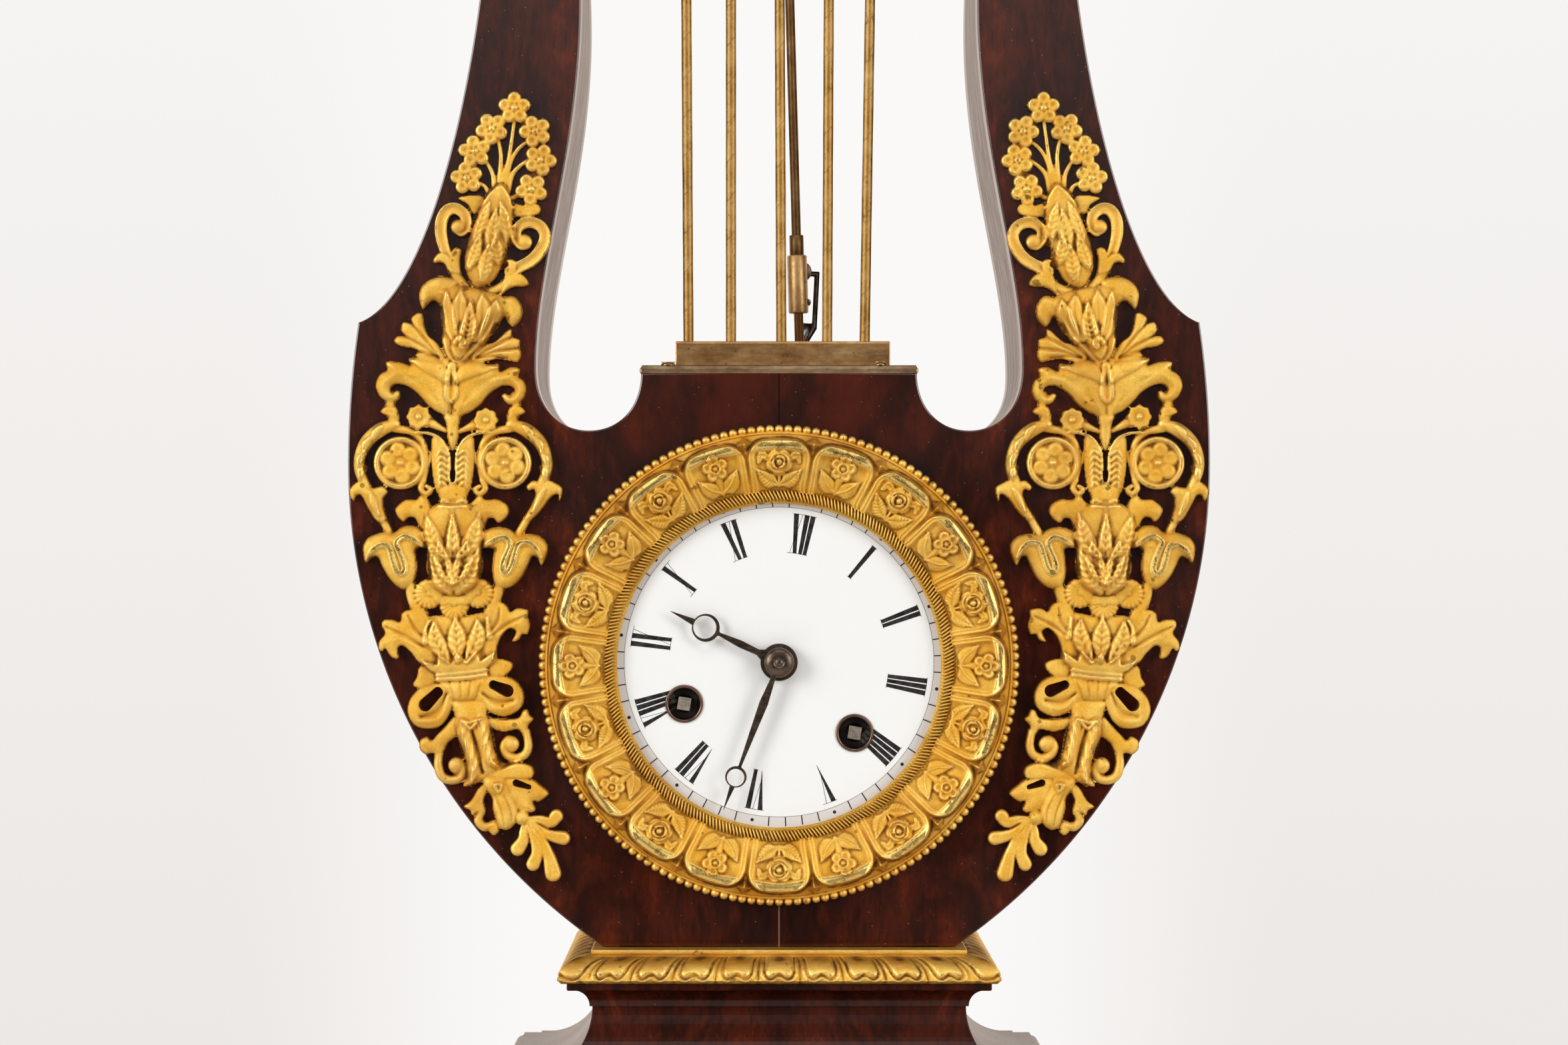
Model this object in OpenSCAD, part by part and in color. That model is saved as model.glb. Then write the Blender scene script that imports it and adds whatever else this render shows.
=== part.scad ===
// Mahogany lyre clock with gilt bronze mounts, standing on a moulded base.
// Millimetres. X runs to the right, Y to the back, Z up. The dial faces -Y.
// The origin is on the ground under the middle of the base.

/* [Base] */
// Width of the plinth
plinth_w = 172; // [160:1:220]
// Depth of the plinth
plinth_d = 150; // [146:1:190]
// Height of the plinth block above the feet
plinth_h = 39; // [25:1:60]
// Height of the bun feet
foot_h = 13; // [8:1:20]
// Radius of the bun feet
foot_r = 14; // [9:0.5:18]
// Radius of the hollow flare of the pedestal
flare_r = 23; // [15:1:24]
// Height of the small hollow moulding
cavetto_h = 5.2; // [4:0.1:8]
// Height of the flat fillet over the hollow moulding
fillet_h = 2.3; // [1.5:0.1:4]
// Height of the gilt leaf frame under the lyre
frame_h = 9.2; // [7:0.1:12]
// How far the gilt frame stands out in front of the lyre
frame_step = 8.4; // [6:0.1:10]
// Leaves along the front of the gilt frame
front_leaves = 9; // [5:2:13]
// Leaves along each side of the gilt frame
side_leaves = 7; // [5:2:11]

/* [Lyre] */
// Depth of the lyre from front to back
lyre_d = 78; // [74:1:90]
// Thickness of the front and back boards
board_t = 10; // [8:0.5:11]
// Half width of the flat foot of the lyre
foot_half = 52.7; // [50:0.1:54]
// Half width of the bowl at its widest
bowl_half = 129.4; // [126:0.1:136]
// Height of the widest place above the foot of the lyre
bowl_rise = 145; // [143:0.5:160]
// Radius of the upper bowl curve
shoulder_r = 290; // [250:1:400]
// Height of the shoulder corner above the widest place
shoulder_rise = 42.4; // [39:0.2:45]
// Wall of the hollow bowl
bowl_wall = 12; // [8:0.5:14]
// Radius of the scrolled arm ends
scroll_r = 17; // [16.5:0.1:18]
// Radius of the round openings for the works
works_hole_r = 60; // [58.5:0.1:61]

/* [Strings] */
// Radius of a string
string_r = 1.55; // [1:0.05:2]
// Length of the brass string block
block_w = 64.6; // [60:0.2:70]
// Height of the brass string block
block_h = 7.5; // [6:0.1:10]
// Depth of the brass string block
block_d = 18; // [12:1:20]
// Thickness of the neck cover
cover_t = 2.4; // [1.5:0.1:4]

/* [Bezel and dial] */
// Outer radius of the bezel
bezel_r = 72.2; // [71:0.1:76]
// Radius of the enamel left in view
sight_r = 48.4; // [47:0.1:49]
// Highest part of the bezel in front of the lyre
bezel_h = 9.6; // [9:0.1:12]
// Thickness of the dial plate
dial_t = 1.6; // [1:0.1:1.7]
// Turn of the movement in its case, clockwise from the front
movement_turn = 9.7; // [0:0.1:12]
// Sideways place of the winding holes from the dial middle
winding_x = 25.9; // [25.7:0.1:26.1]
// Drop of the winding holes below the dial middle
winding_drop = 17.1; // [16.9:0.1:17.3]
// Outer radius of the winding hole eyelets
eyelet_r = 5.7; // [5.3:0.1:6.2]
// Direction of the hour hand on the dial, clockwise from twelve
hour_angle = 285.5; // [0:0.5:360]
// Direction of the minute hand on the dial, clockwise from twelve
minute_angle = 191; // [0:0.5:360]
// Length of the hour hand
hour_l = 35.9; // [30:0.1:40]
// Length of the minute hand
minute_l = 47; // [42:0.1:48]
// Thickness of the hands
hand_t = 0.8; // [0.5:0.1:1]

/* [Movement] */
// Distance between the plates
plate_gap = 30; // [29:0.5:31]
// Thickness of the plates
plate_t = 2.2; // [1.6:0.1:2.4]
// Radius of the back plate
back_plate_r = 47; // [46:0.5:50]
// Tooth size of the train
tooth = 0.5; // [0.49:0.005:0.5]
// Radius of the bell
bell_r = 34; // [28:0.5:35]
// Radial running clearance of the arbors
shaft_gap = 0.05; // [0.03:0.01:0.08]

/* [Pendulum] */
// Height of the pendulum pivot above the widest place of the bowl
pivot_rise = 278.3; // [276.5:0.1:280.5]
// Lean of the pendulum as it is drawn, degrees
lean = 1.6; // [0:0.1:1.7]
// Radius of the rod
rod_r = 1.45; // [1.2:0.05:1.6]
// Radius of the brass sleeve
sleeve_r = 3.1; // [2.6:0.1:3.2]
// Length of the brass sleeve
sleeve_l = 18.2; // [16:0.1:20]
// Radius of the bob
bob_r = 18; // [14:0.5:18]

/* [Mounts] */
// Thickness of the thinnest stems of the mounts
stem_t = 1.6; // [1.2:0.1:2]
// Thickness of the leaves of the mounts
leaf_t = 2.4; // [2:0.1:3]
// Thickness of the fullest parts of the mounts
full_t = 3.2; // [2.6:0.1:4]

/* [Hidden] */
$fn = 64;
// Clearance of glued and let-in pieces
fit = 0.05;
// Heights up the base
z_plinth = foot_h;
z_pedestal = foot_h + plinth_h;
z_cavetto = z_pedestal + flare_r;
z_fillet = z_cavetto + cavetto_h;
z_frame = z_fillet + fillet_h;
z_lyre = z_frame + frame_h;
// Half sizes of the gilt frame at its upper fillet
frame_x = foot_half + 3.3;
frame_y = lyre_d / 2 + frame_step;
frame_out = 9.5;
// Heights on the lyre, most of them from its widest place
y_face = -lyre_d / 2;
z_wide = z_lyre + bowl_rise;
z_shoulder = z_wide + shoulder_rise;
z_bezel = z_lyre + 84.6;
z_dial = z_bezel + 1;
z_valley = z_wide + 10;
z_neck = z_wide + 27.2;
z_yoke = z_wide + 260;
pivot_z = z_wide + pivot_rise;
neck_half = 41.4;
yoke_half = bowl_half - 43.4;
yoke_h = 9;
string_y = -25;
// Where the strings leave the block and where they enter the yoke, from left to right
string_foot_x = [-27.4, -14.5, 0.8, 14.7, 26.1];
string_head_x = [-28.8, -14.5, -0.3, 15.8, 29.6];
// Radius of the lower bowl curve, upright at the widest place and meeting the foot
bowl_step = bowl_half - foot_half;
bowl_r = (bowl_step * bowl_step + bowl_rise * bowl_rise) / (2 * bowl_step);
// Levels from front to back, on the axis of the works
y_dial = y_face - 0.8;
y_plate = y_face + 9;
y_back = y_plate + plate_t + plate_gap;
y_behind = y_back + plate_t;
y_minute = y_face - 5.8;
y_hour = y_face - 4.2;
// The pendulum and its crutch
rod_y = y_behind + 7.6;
z_pin = pivot_z - 226.7;
pin_side = 3;
anchor_up = 31;
crutch_y = rod_y + 4.2;
crutch_t = 1.6;
bob_z = 128;
bob_dish = 60;
// Places of the arbors on the plates
going_at = [winding_x, -winding_drop];
strike_at = [-winding_x, -winding_drop];
middle_at = [15.75, -2.83];
third_at = [11.46, 11.87];
escape_at = [0, 18];
pin_wheel_at = [-19.9, -0.65];
fly_at = [-21.98, 11.17];
minute_stud_at = [-7.2, 12.47];
pillar_angles = [65, 115, 250, 290];
pillar_ring = 42;

// Colours
gilt = [0.84, 0.62, 0.22];
brass = [0.72, 0.56, 0.28];
wood = [0.30, 0.12, 0.08];
steel = [0.36, 0.35, 0.36];
white = [0.95, 0.94, 0.90];

// Points on a circle from angle a to angle b
function toward_angle(a) = [cos(a), sin(a)];
function arc(c, r, a, b, n = 12) = [for (i = [0:n]) c + r * toward_angle(a + (b - a) * i / n)];
// A point on a curve with four control points
function bezier(p, t) = pow(1 - t, 3) * p[0] + 3 * t * pow(1 - t, 2) * p[1]
    + 3 * t * t * (1 - t) * p[2] + pow(t, 3) * p[3];
function curve(p, n = 12) = [for (i = [0:n]) bezier(p, i / n)];
function unit(v) = v / norm(v);
function left_of(v) = [-v[1], v[0]];
function backwards(p) = [for (i = [len(p) - 1:-1:0]) p[i]];

// $side is -1 while the mirrored half of a symmetric piece is drawn
$side = 1;
module side(s) {
    $side = s;
    children();
}
module both() {
    side(1) children();
    side(-1) children();
}
// A closed shape, always drawn counter-clockwise
function turning(p) = [for (i = [0:len(p) - 1]) cross(p[i], p[(i + 1) % len(p)])] * [for (q = p) 1];
function sided(p) = [for (q = p) [$side * q[0], q[1]]];
module shape(p) polygon(turning(sided(p)) > 0 ? sided(p) : backwards(sided(p)));

// Makes a flat shape into a plate from y0 back to y0 + t
module plate(y0, t) translate([0, y0 + t, 0]) rotate([90, 0, 0]) linear_extrude(t) children();
// A round bar along Y at x and z
module pin_y(at, y0, l, r) translate([at[0], y0 + l, at[1]]) rotate([90, 0, 0]) cylinder(r = r, h = l);
// The frame of the works: middle of the dial, turned in the case
module works() translate([0, 0, z_dial]) rotate([0, movement_turn, 0]) children();
module mirrored(side) mirror([side < 0 ? 1 : 0, 0, 0]) children();

// Base: a section drawn in half width and height, mitred round a rectangle
module mitred(half_x, half_y, h) {
    intersection() {
        translate([0, half_y + 30, 0]) rotate([90, 0, 0]) linear_extrude(2 * half_y + 60) {
            translate([half_x, 0]) children();
            translate([-half_x, 0]) mirror([1, 0]) children();
            translate([-half_x, 0]) square([2 * half_x, h]);
        }
        translate([-half_x - 30, 0, 0]) rotate([90, 0, 90]) linear_extrude(2 * half_x + 60) {
            translate([half_y, 0]) children();
            translate([-half_y, 0]) mirror([1, 0]) children();
            translate([-half_y, 0]) square([2 * half_y, h]);
        }
    }
}

module foot(sx, sy) color(wood)
    translate([sx * (plinth_w / 2 - foot_r - 3), sy * (plinth_d / 2 - foot_r - 3), 0])
        rotate_extrude() intersection() {
            square([foot_r, foot_h]);
            translate([foot_r - foot_h, foot_h * 0.45]) circle(foot_h);
        }
module foot_front_left() foot(-1, -1);
module foot_front_right() foot(1, -1);
module foot_back_left() foot(-1, 1);
module foot_back_right() foot(1, 1);

module plinth() color(wood) translate([0, 0, z_plinth])
    mitred(plinth_w / 2 - 3, plinth_d / 2 - 3, plinth_h) {
        square([3, plinth_h - 4]);
        translate([0, plinth_h - 4]) circle(3);
    }

module pedestal() color(wood) translate([0, 0, z_pedestal])
    mitred(frame_x - 1.3, frame_y - 1.3, flare_r) difference() {
        square([flare_r, flare_r]);
        translate([flare_r, flare_r]) circle(flare_r - 1);
        translate([flare_r - 0.5, 1]) square([2, flare_r]);
    }

module cavetto() color(wood) {
    translate([0, 0, z_cavetto]) mitred(frame_x + 0.5, frame_y + 0.5, cavetto_h + fillet_h) {
        difference() {
            square([cavetto_h, cavetto_h]);
            translate([cavetto_h, 0]) circle(cavetto_h);
        }
        translate([0, cavetto_h]) square([cavetto_h + 1.3, fillet_h]);
    }
    translate([-foot_half, y_face, z_frame]) cube([2 * foot_half, lyre_d, frame_h]);
}

module leaf_frame() color(gilt) difference() {
    translate([0, 0, z_frame]) mitred(frame_x, frame_y, frame_h) intersection() {
        square([frame_out, frame_h - 2]);
        circle(frame_out);
    }
    translate([-foot_half - fit, y_face - fit, z_frame - 1])
        cube([2 * foot_half + 2 * fit, lyre_d + 2 * fit, 12]);
    for (i = [0:front_leaves], s = [-1, 1])
        translate([(i / front_leaves - 0.5) * 2 * (frame_x - 3), s * (frame_y + frame_out), z_frame - 0.2])
            rotate([90, 0, 0]) cylinder(r = 1.3, h = 8, center = true);
    for (i = [0:side_leaves], s = [-1, 1])
        translate([s * (frame_x + frame_out), (i / side_leaves - 0.5) * 2 * (frame_y - 3), z_frame - 0.2])
            rotate([0, 90, 0]) cylinder(r = 1.3, h = 8, center = true);
}

// Lyre: the right half outline, from the foot up the outside of the arm and down the inside to the neck
scroll_at = [bowl_half - 24.9, z_wide + 280];
function bowl_arc(inset) = arc([bowl_half - bowl_r, z_wide], bowl_r - inset,
    -asin((bowl_rise - inset) / (bowl_r - inset)), 0, 20);
function shoulder_arc(inset, top) = arc([bowl_half - shoulder_r, z_wide], shoulder_r - inset, 0,
    asin((top - z_wide) / (shoulder_r - inset)), 6);
corner = [bowl_half - shoulder_r + sqrt(pow(shoulder_r, 2) - pow(z_shoulder - z_wide, 2)), z_shoulder];
waist_out = [bowl_half - 39.5, z_wide + 139.2];
waist_in = [bowl_half - 69.9, z_wide + 139.2];
valley_side = [bowl_half - 56.4, z_wide + 29];
valley_low = [neck_half + 15.6, z_valley];
outer_arm = concat(
    curve([corner, [bowl_half - 19.9, z_wide + 48], [bowl_half - 33.4, z_wide + 93], waist_out], 14),
    curve([waist_out, [bowl_half - 45.2, z_wide + 177], [bowl_half - 46.4, z_wide + 225],
        scroll_at + [12, -12]], 14));
inner_arm = concat(
    curve([scroll_at + [-12.4, 11.6], [bowl_half - 59.4, z_wide + 233],
        waist_in + [0, 43.8], waist_in], 14),
    curve([waist_in, waist_in - [0, 44.2], valley_side + [0, 31], valley_side], 10));
valley = concat(
    curve([valley_side, valley_side - [0, 13], valley_low + [8.5, 0], valley_low], 8),
    curve([valley_low, valley_low - [10, 0], [neck_half, z_neck - 9.2], [neck_half, z_neck]], 8));
half_outline = concat([[0, z_lyre]], bowl_arc(0), shoulder_arc(0, z_shoulder), outer_arm, inner_arm, valley,
    [[0, z_neck]]);
hollow_outline = concat([[0, z_lyre + bowl_wall]], bowl_arc(bowl_wall),
    shoulder_arc(bowl_wall, z_wide + 2),
    [valley_side - [1, 27], valley_low - [1, 11], [0, z_wide - 1]]);

module half_lyre() {
    polygon(half_outline);
    translate(scroll_at) circle(scroll_r);
}
module front_board(side) color(wood) mirrored(side) plate(y_face, board_t) difference() {
    half_lyre();
    translate([0, z_bezel]) circle(works_hole_r);
}
module front_left() front_board(-1);
module front_right() front_board(1);

// The way through the neck for the pendulum and the crutch
module neck_way(clear) translate([-17 - clear, rod_y - 5.5, z_wide - 10])
    cube([34 + 2 * clear, 14, z_neck - z_wide + 20]);

module core(side) color(wood) difference() {
    mirrored(side) plate(y_face + board_t, lyre_d - 2 * board_t) difference() {
        half_lyre();
        polygon(hollow_outline);
    }
    neck_way(0);
    yoke_bar(fit);
    hanging_bar(fit);
}
module core_left() core(-1);
module core_right() core(1);

module back_board() color(wood) plate(lyre_d / 2 - board_t, board_t) difference() {
    union() {
        half_lyre();
        mirror([1, 0]) half_lyre();
    }
    translate([0, z_bezel]) circle(works_hole_r + 2);
}

module rosette(side) color(gilt) mirrored(side) translate([scroll_at[0], y_face, scroll_at[1]])
    rotate([90, 0, 0]) rotate_extrude() {
        square([11, 1.5]);
        translate([8.6, 1.7]) circle(1.6);
        intersection() {
            square([6.5, 6]);
            translate([0, -2.5]) circle(8);
        }
    }
module rosette_left() rosette(-1);
module rosette_right() rosette(1);

// Strings: a straight line from the block to the yoke
function string_lean(i) = atan((string_head_x[i] - string_foot_x[i]) / (z_yoke - z_block_top));
z_block_top = z_neck + cover_t + block_h;
module on_string(i) translate([string_foot_x[i], string_y, z_block_top])
    rotate([0, string_lean(i), 0]) children();
module string_shape(i, r, low, high) on_string(i)
    translate([0, 0, -low]) cylinder(r = r, h = z_yoke - z_block_top + low + high);
module string(i) color(brass) string_shape(i, string_r, 4, 4);
module string_1() string(0);
module string_2() string(1);
module string_3() string(2);
module string_4() string(3);
module string_5() string(4);

module neck_cover() color(brass) difference() {
    translate([-neck_half - 0.4, y_face - 0.3, z_neck])
        cube([2 * neck_half + 0.8, lyre_d + 0.6, cover_t]);
    neck_way(0);
}
module string_block() color(brass) difference() {
    translate([1.2 - block_w / 2, string_y - block_d / 2, z_neck + cover_t])
        cube([block_w, block_d, block_h]);
    for (i = [0:4]) string_shape(i, string_r + fit, 4.05, 0);
}

// The yoke is a flat bar with a turned swelling, let into both arms
module yoke_bar(clear) translate([-yoke_half - clear, string_y - 3.5 - clear, z_yoke - clear])
    cube([2 * yoke_half + 2 * clear, 7 + 2 * clear, yoke_h + 2 * clear]);
module yoke() color(gilt) difference() {
    union() {
        yoke_bar(0);
        for (s = [-1, 1]) translate([s * 48, string_y, z_yoke + yoke_h / 2]) rotate([0, 90, 0])
            cylinder(r = 6.4, h = 8, center = true);
        translate([0, string_y, z_yoke + yoke_h]) rotate([90, 0, 0])
            cylinder(r = 10, h = 7, center = true);
    }
    for (i = [0:4]) string_shape(i, string_r + fit, 0, 4.05);
}

// The pendulum hangs from a bar behind the yoke
module hanging_bar(clear) translate([-yoke_half - 5 - clear, rod_y - 3 - clear, pivot_z + 4 - clear])
    cube([2 * yoke_half + 10 + 2 * clear, 6 + 2 * clear, 7 + 2 * clear]);
module suspension_bar() color(brass) {
    hanging_bar(0);
    difference() {
        for (s = [-1, 1]) translate([-4, rod_y + s * 5 - 1.5, pivot_z - 4]) cube([8, 3, 15]);
        translate([0, rod_y, pivot_z]) rotate([90, 0, 0])
            cylinder(r = 1 + shaft_gap, h = 20, center = true);
    }
    translate([-4, rod_y - 6.5, pivot_z + 8]) cube([8, 13, 3]);
}

// Bezel: a turned section, distance out from the axis and height in front of the lyre
bezel_section = [[sight_r, 2.6], [sight_r, 4.5], [49.5, 6], [52, 6.2], [53, 5.6], [58, bezel_h - 1],
    [63, bezel_h], [66.5, bezel_h - 2.2], [68.6, 3.4], [bezel_r, 3], [bezel_r, 0], [works_hole_r - 0.4, 0],
    [works_hole_r - 0.4, -9], [51.4, -9], [51.4, 2.6]];
module bezel() color(gilt) translate([0, y_face, z_bezel]) rotate([90, 0, 0]) rotate_extrude($fn = 120)
    polygon(bezel_section);

module dial() color(white) works() difference() {
    pin_y([0, 0], y_dial - dial_t, dial_t, 50);
    pin_y([0, 0], y_dial - 5, 10, 3);
    for (s = [-1, 1]) pin_y([s * winding_x, -winding_drop], y_dial - 5, 10, eyelet_r - 0.4 + fit);
}
module eyelet(at) color(brass) works() difference() {
    union() {
        pin_y(at, y_dial - dial_t - 0.5, 0.5, eyelet_r);
        pin_y(at, y_dial - dial_t, dial_t, eyelet_r - 0.4);
    }
    pin_y(at, y_dial - 5, 10, eyelet_r - 1);
}
module eyelet_left() eyelet(strike_at);
module eyelet_right() eyelet(going_at);

// Hands: a hub, a leaf that tapers to a round eye, and a point beyond it
module hand_shape(l, hub, eye_at, eye_r, eye_w) union() {
    circle(hub);
    shape([[-1, 0], [-1.5, eye_at * 0.35], [-0.5, eye_at - eye_r + 0.3], [0.5, eye_at - eye_r + 0.3],
        [1.5, eye_at * 0.35], [1, 0]]);
    translate([0, eye_at]) difference() {
        circle(eye_r);
        translate([0, (eye_r - eye_w) * 0.12]) circle(eye_r - eye_w);
    }
    shape([[-0.7, eye_at + eye_r - 0.2], [0, l], [0.7, eye_at + eye_r - 0.2]]);
}
module hour_hand() color(steel) works() rotate([0, hour_angle, 0])
    plate(y_hour - hand_t, hand_t) difference() {
        hand_shape(hour_l, 5.6, 24.2, 4.2, 0.8);
        circle(2.5 + fit / 2);
    }
module minute_hand() color(steel) works() rotate([0, minute_angle, 0])
    plate(y_minute - hand_t, hand_t) difference() {
        hand_shape(minute_l, 4, 36.5, 3.2, 0.6);
        circle(1.6);
    }
module collet() color(steel) works() translate([0, y_minute - hand_t, 0])
    rotate([90, 0, 0]) rotate_extrude() difference() {
        intersection() {
            square([4.5, 2.4]);
            translate([0, -3]) circle(5.4);
        }
        translate([0, -1]) square([1.6 + fit, 6]);
    }

// Toothed wheels: straight-sided teeth on a pitch circle, a tooth on the first axis
function tooth_points(n, m, thick) = let (r = n * m / 2, pitch = 360 / n, w = pitch * thick)
    [for (i = [0:n - 1], k = [[-0.62, -1.15], [-0.3, 0.75], [0.3, 0.75], [0.62, -1.15]])
        (r + k[1] * m) * [cos(i * pitch + k[0] * w), sin(i * pitch + k[0] * w)]];
module gear(n, m, bore, thick = 0.42) difference() {
    polygon(tooth_points(n, m, thick));
    circle(bore);
}
// A spoked wheel blank inside the teeth
module crossings(r_in, r_out) for (a = [0:90:270]) rotate(a + 45) difference() {
    intersection() {
        difference() {
            circle(r_out);
            circle(r_in);
        }
        square([r_out, r_out]);
    }
    translate([-1, -1]) square([r_out + 1, 1.8]);
    translate([-1, -1]) square([1.8, r_out + 1]);
}
function toward(a, b) = atan2(b[1] - a[1], b[0] - a[0]);
// A wheel at a place, one tooth (or one gap) facing another place
module wheel_at(at, y0, t, n, other, gap, bore, spoked = true) translate([at[0], 0, at[1]]) plate(y0, t)
    rotate(toward(at, other) + (gap ? 180 / n : 0)) difference() {
        gear(n, tooth, bore);
        if (spoked) crossings(3.4, n * tooth / 2 - 2);
    }
module arbor(at, r, pivot = 0.6) {
    pin_y(at, y_plate + plate_t + 0.3, plate_gap - 0.6, r);
    pin_y(at, y_plate + plate_t - 1.2, plate_gap + 2.4, pivot);
}
y_in = y_plate + plate_t;

module pillars(r) for (a = pillar_angles) pin_y(pillar_ring * [cos(a), sin(a)], y_in, plate_gap, r);
module pivot_hole(at, y0, r) pin_y(at, y0, plate_t + 2, r + shaft_gap);
train_arbors = [middle_at, third_at, escape_at, pin_wheel_at, fly_at];

module front_plate() color(brass) works() difference() {
    union() {
        pin_y([0, 0], y_plate, plate_t, 55.5);
        pin_y(minute_stud_at, y_plate - 7, 7, 1);
        pillars(2.5);
    }
    pivot_hole([0, 0], y_plate - 1, 0.9);
    for (at = [going_at, strike_at]) pivot_hole(at, y_plate - 1, 2.9);
    for (at = concat(train_arbors, [[0, anchor_up]])) pivot_hole(at, y_plate + plate_t - 1.4, 0.6);
}
module back_plate() color(brass) works() difference() {
    pin_y([0, 0], y_back, plate_t, back_plate_r);
    pivot_hole([0, 0], y_back - 1, 0.9);
    pivot_hole([0, anchor_up], y_back - 1, 1.2);
    for (at = [going_at, strike_at]) pivot_hole(at, y_back - 1, 1.5);
    for (at = train_arbors) pin_y(at, y_back - 1, 2.6, 0.6 + shaft_gap);
    pin_y(hammer_at, y_back - 1, 5, 1.2);
    pin_y(pin_wheel_at, y_back, 5, 1.2);
}

module barrel(at, next) difference() {
    union() {
        wheel_at(at, y_in + 3.5, 2, 60, next, false, 1, false);
        pin_y(at, y_in + 4.5, 17, 14);
    }
    pin_y(at, y_in + 6.5, 16, 13);
    pin_y(at, y_in, 30, 2.2 + shaft_gap);
}
module going_barrel() color(brass) works() barrel(going_at, middle_at);
module strike_barrel() color(brass) works() barrel(strike_at, pin_wheel_at);
module winding_arbor(at) {
    pin_y(at, y_in + 0.3, plate_gap - 0.6, 2.2);
    pin_y(at, y_in - plate_t - 1, plate_t + 1.4, 2.9);
    pin_y(at, y_back - 0.4, plate_t + 0.4, 1.5);
    translate([at[0] - 1.9, y_dial - dial_t - 0.2, at[1] - 1.9])
        cube([3.8, y_plate - y_dial + dial_t, 3.8]);
}
module going_arbor() color(steel) works() winding_arbor(going_at);
module strike_arbor() color(steel) works() winding_arbor(strike_at);

module middle_wheel() color(brass) works() {
    arbor(middle_at, 1);
    wheel_at(middle_at, y_in + 3, 3, 10, going_at, true, 0.5, false);
    wheel_at(middle_at, y_in + 23.5, 1.2, 52, [0, 0], false, 0.5);
}
module centre_wheel() color(brass) works() {
    pin_y([0, 0], y_minute - 2.8, y_behind - y_minute + 2, 0.9);
    pin_y([0, 0], y_in + 0.3, plate_gap - 0.6, 1.6);
    wheel_at([0, 0], y_in + 22.5, 3, 12, middle_at, true, 0.5, false);
    wheel_at([0, 0], y_in + 14.5, 1.2, 56, third_at, false, 0.5);
}
module third_wheel() color(brass) works() {
    arbor(third_at, 1);
    wheel_at(third_at, y_in + 13.5, 3, 10, [0, 0], true, 0.5, false);
    wheel_at(third_at, y_in + 7.5, 1.2, 44, escape_at, false, 0.5);
}
// The escape wheel has thirty pointed teeth
module escape_wheel() color(brass) works() {
    arbor(escape_at, 1);
    wheel_at(escape_at, y_in + 6.5, 3, 8, third_at, true, 0.5, false);
    translate([escape_at[0], 0, escape_at[1]]) plate(y_in + 26, 1.2) difference() {
        polygon([for (i = [0:29], k = [[0, 7.6], [4, 9], [5.5, 7.6]]) k[1] * toward_angle(12 * i + k[0])]);
        circle(0.5);
        crossings(2.6, 6.4);
    }
}
// Anchor: two arms that reach down on each side of the escape wheel
module anchor() color(steel) works() {
    pin_y([0, anchor_up], y_in + 0.3, plate_gap - 0.6, 1.2);
    pin_y([0, anchor_up], y_in - 1.2, 2, 0.6);
    pin_y([0, anchor_up], y_back - 0.5, crutch_y + crutch_t + 1.2 - y_back, 1.2);
    translate([0, 0, anchor_up]) plate(y_in + 25.8, 1.6) {
        circle(2.6);
        for (s = [-1, 1]) polygon([[0, 1.6], [s * 10, -4.4], [s * 8.7, -7.05], [s * 8.2, -5], [0, -1.2]]);
    }
}
module back_cock() color(brass) works() difference() {
    union() {
        translate([0, 0, anchor_up]) plate(y_behind + 2, 1.8) {
            circle(4.5);
            translate([-15, -3]) square([30, 6]);
        }
        for (s = [-1, 1]) pin_y([s * 12.5, anchor_up], y_behind, 2, 2.5);
    }
    pin_y([0, anchor_up], y_behind, 10, 1.2 + shaft_gap);
}

// Pendulum: drawn about its pivot and then leaned over
module hung() translate([0, rod_y, pivot_z]) rotate([0, -lean, 0]) children();
module bar_z(r, top, bottom) translate([0, 0, bottom]) cylinder(r = r, h = top - bottom);
stirrup_top = -(pivot_z - z_dial) + anchor_up + 12;
stirrup_low = stirrup_top - 26;
stirrup_half = 21;
sleeve_top = -212;
module pendulum_rod() color(brass) hung() {
    rotate([90, 0, 0]) cylinder(r = 1, h = 13, center = true);
    translate([-0.2, -3, -14]) cube([0.4, 6, 14]);
    bar_z(2.2, -12, -18);
    bar_z(rod_r, -17, stirrup_top);
    bar_z(2.2, sleeve_top + 6.3, sleeve_top - 1);
    bar_z(sleeve_r, sleeve_top, sleeve_top - sleeve_l);
    translate([1.4, 4.1, sleeve_top - 5]) rotate([90, 0, 0]) cylinder(r = 3.1, h = 3);
    translate([pin_side, 6.5, z_pin - pivot_z]) rotate([90, 0, 0]) cylinder(r = 1, h = 6.5);
    translate([0, -1.2, z_pin - pivot_z - 1]) cube([pin_side, 2.4, 2]);
    translate([-stirrup_half, -1.5, stirrup_low]) difference() {
        cube([2 * stirrup_half, 3, 26]);
        translate([2.5, -1, 2.5]) cube([2 * stirrup_half - 5, 5, 21]);
    }
    bar_z(rod_r, stirrup_low + 1, bob_z - pivot_z - bob_r - 6);
}
module bob() color(brass) hung() translate([0, 0, bob_z - pivot_z]) difference() {
    intersection() {
        rotate([90, 0, 0]) cylinder(r = bob_r, h = 10, center = true);
        translate([0, bob_dish - 4, 0]) sphere(bob_dish, $fn = 200);
        translate([0, 4 - bob_dish, 0]) sphere(bob_dish, $fn = 200);
    }
    bar_z(rod_r + shaft_gap, bob_r + 5, -bob_r - 5);
}
module rating_nut() color(brass) hung() translate([0, 0, bob_z - pivot_z - bob_r]) difference() {
    bar_z(3.6, 0, -3);
    bar_z(rod_r + shaft_gap, 5, -5);
}

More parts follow.
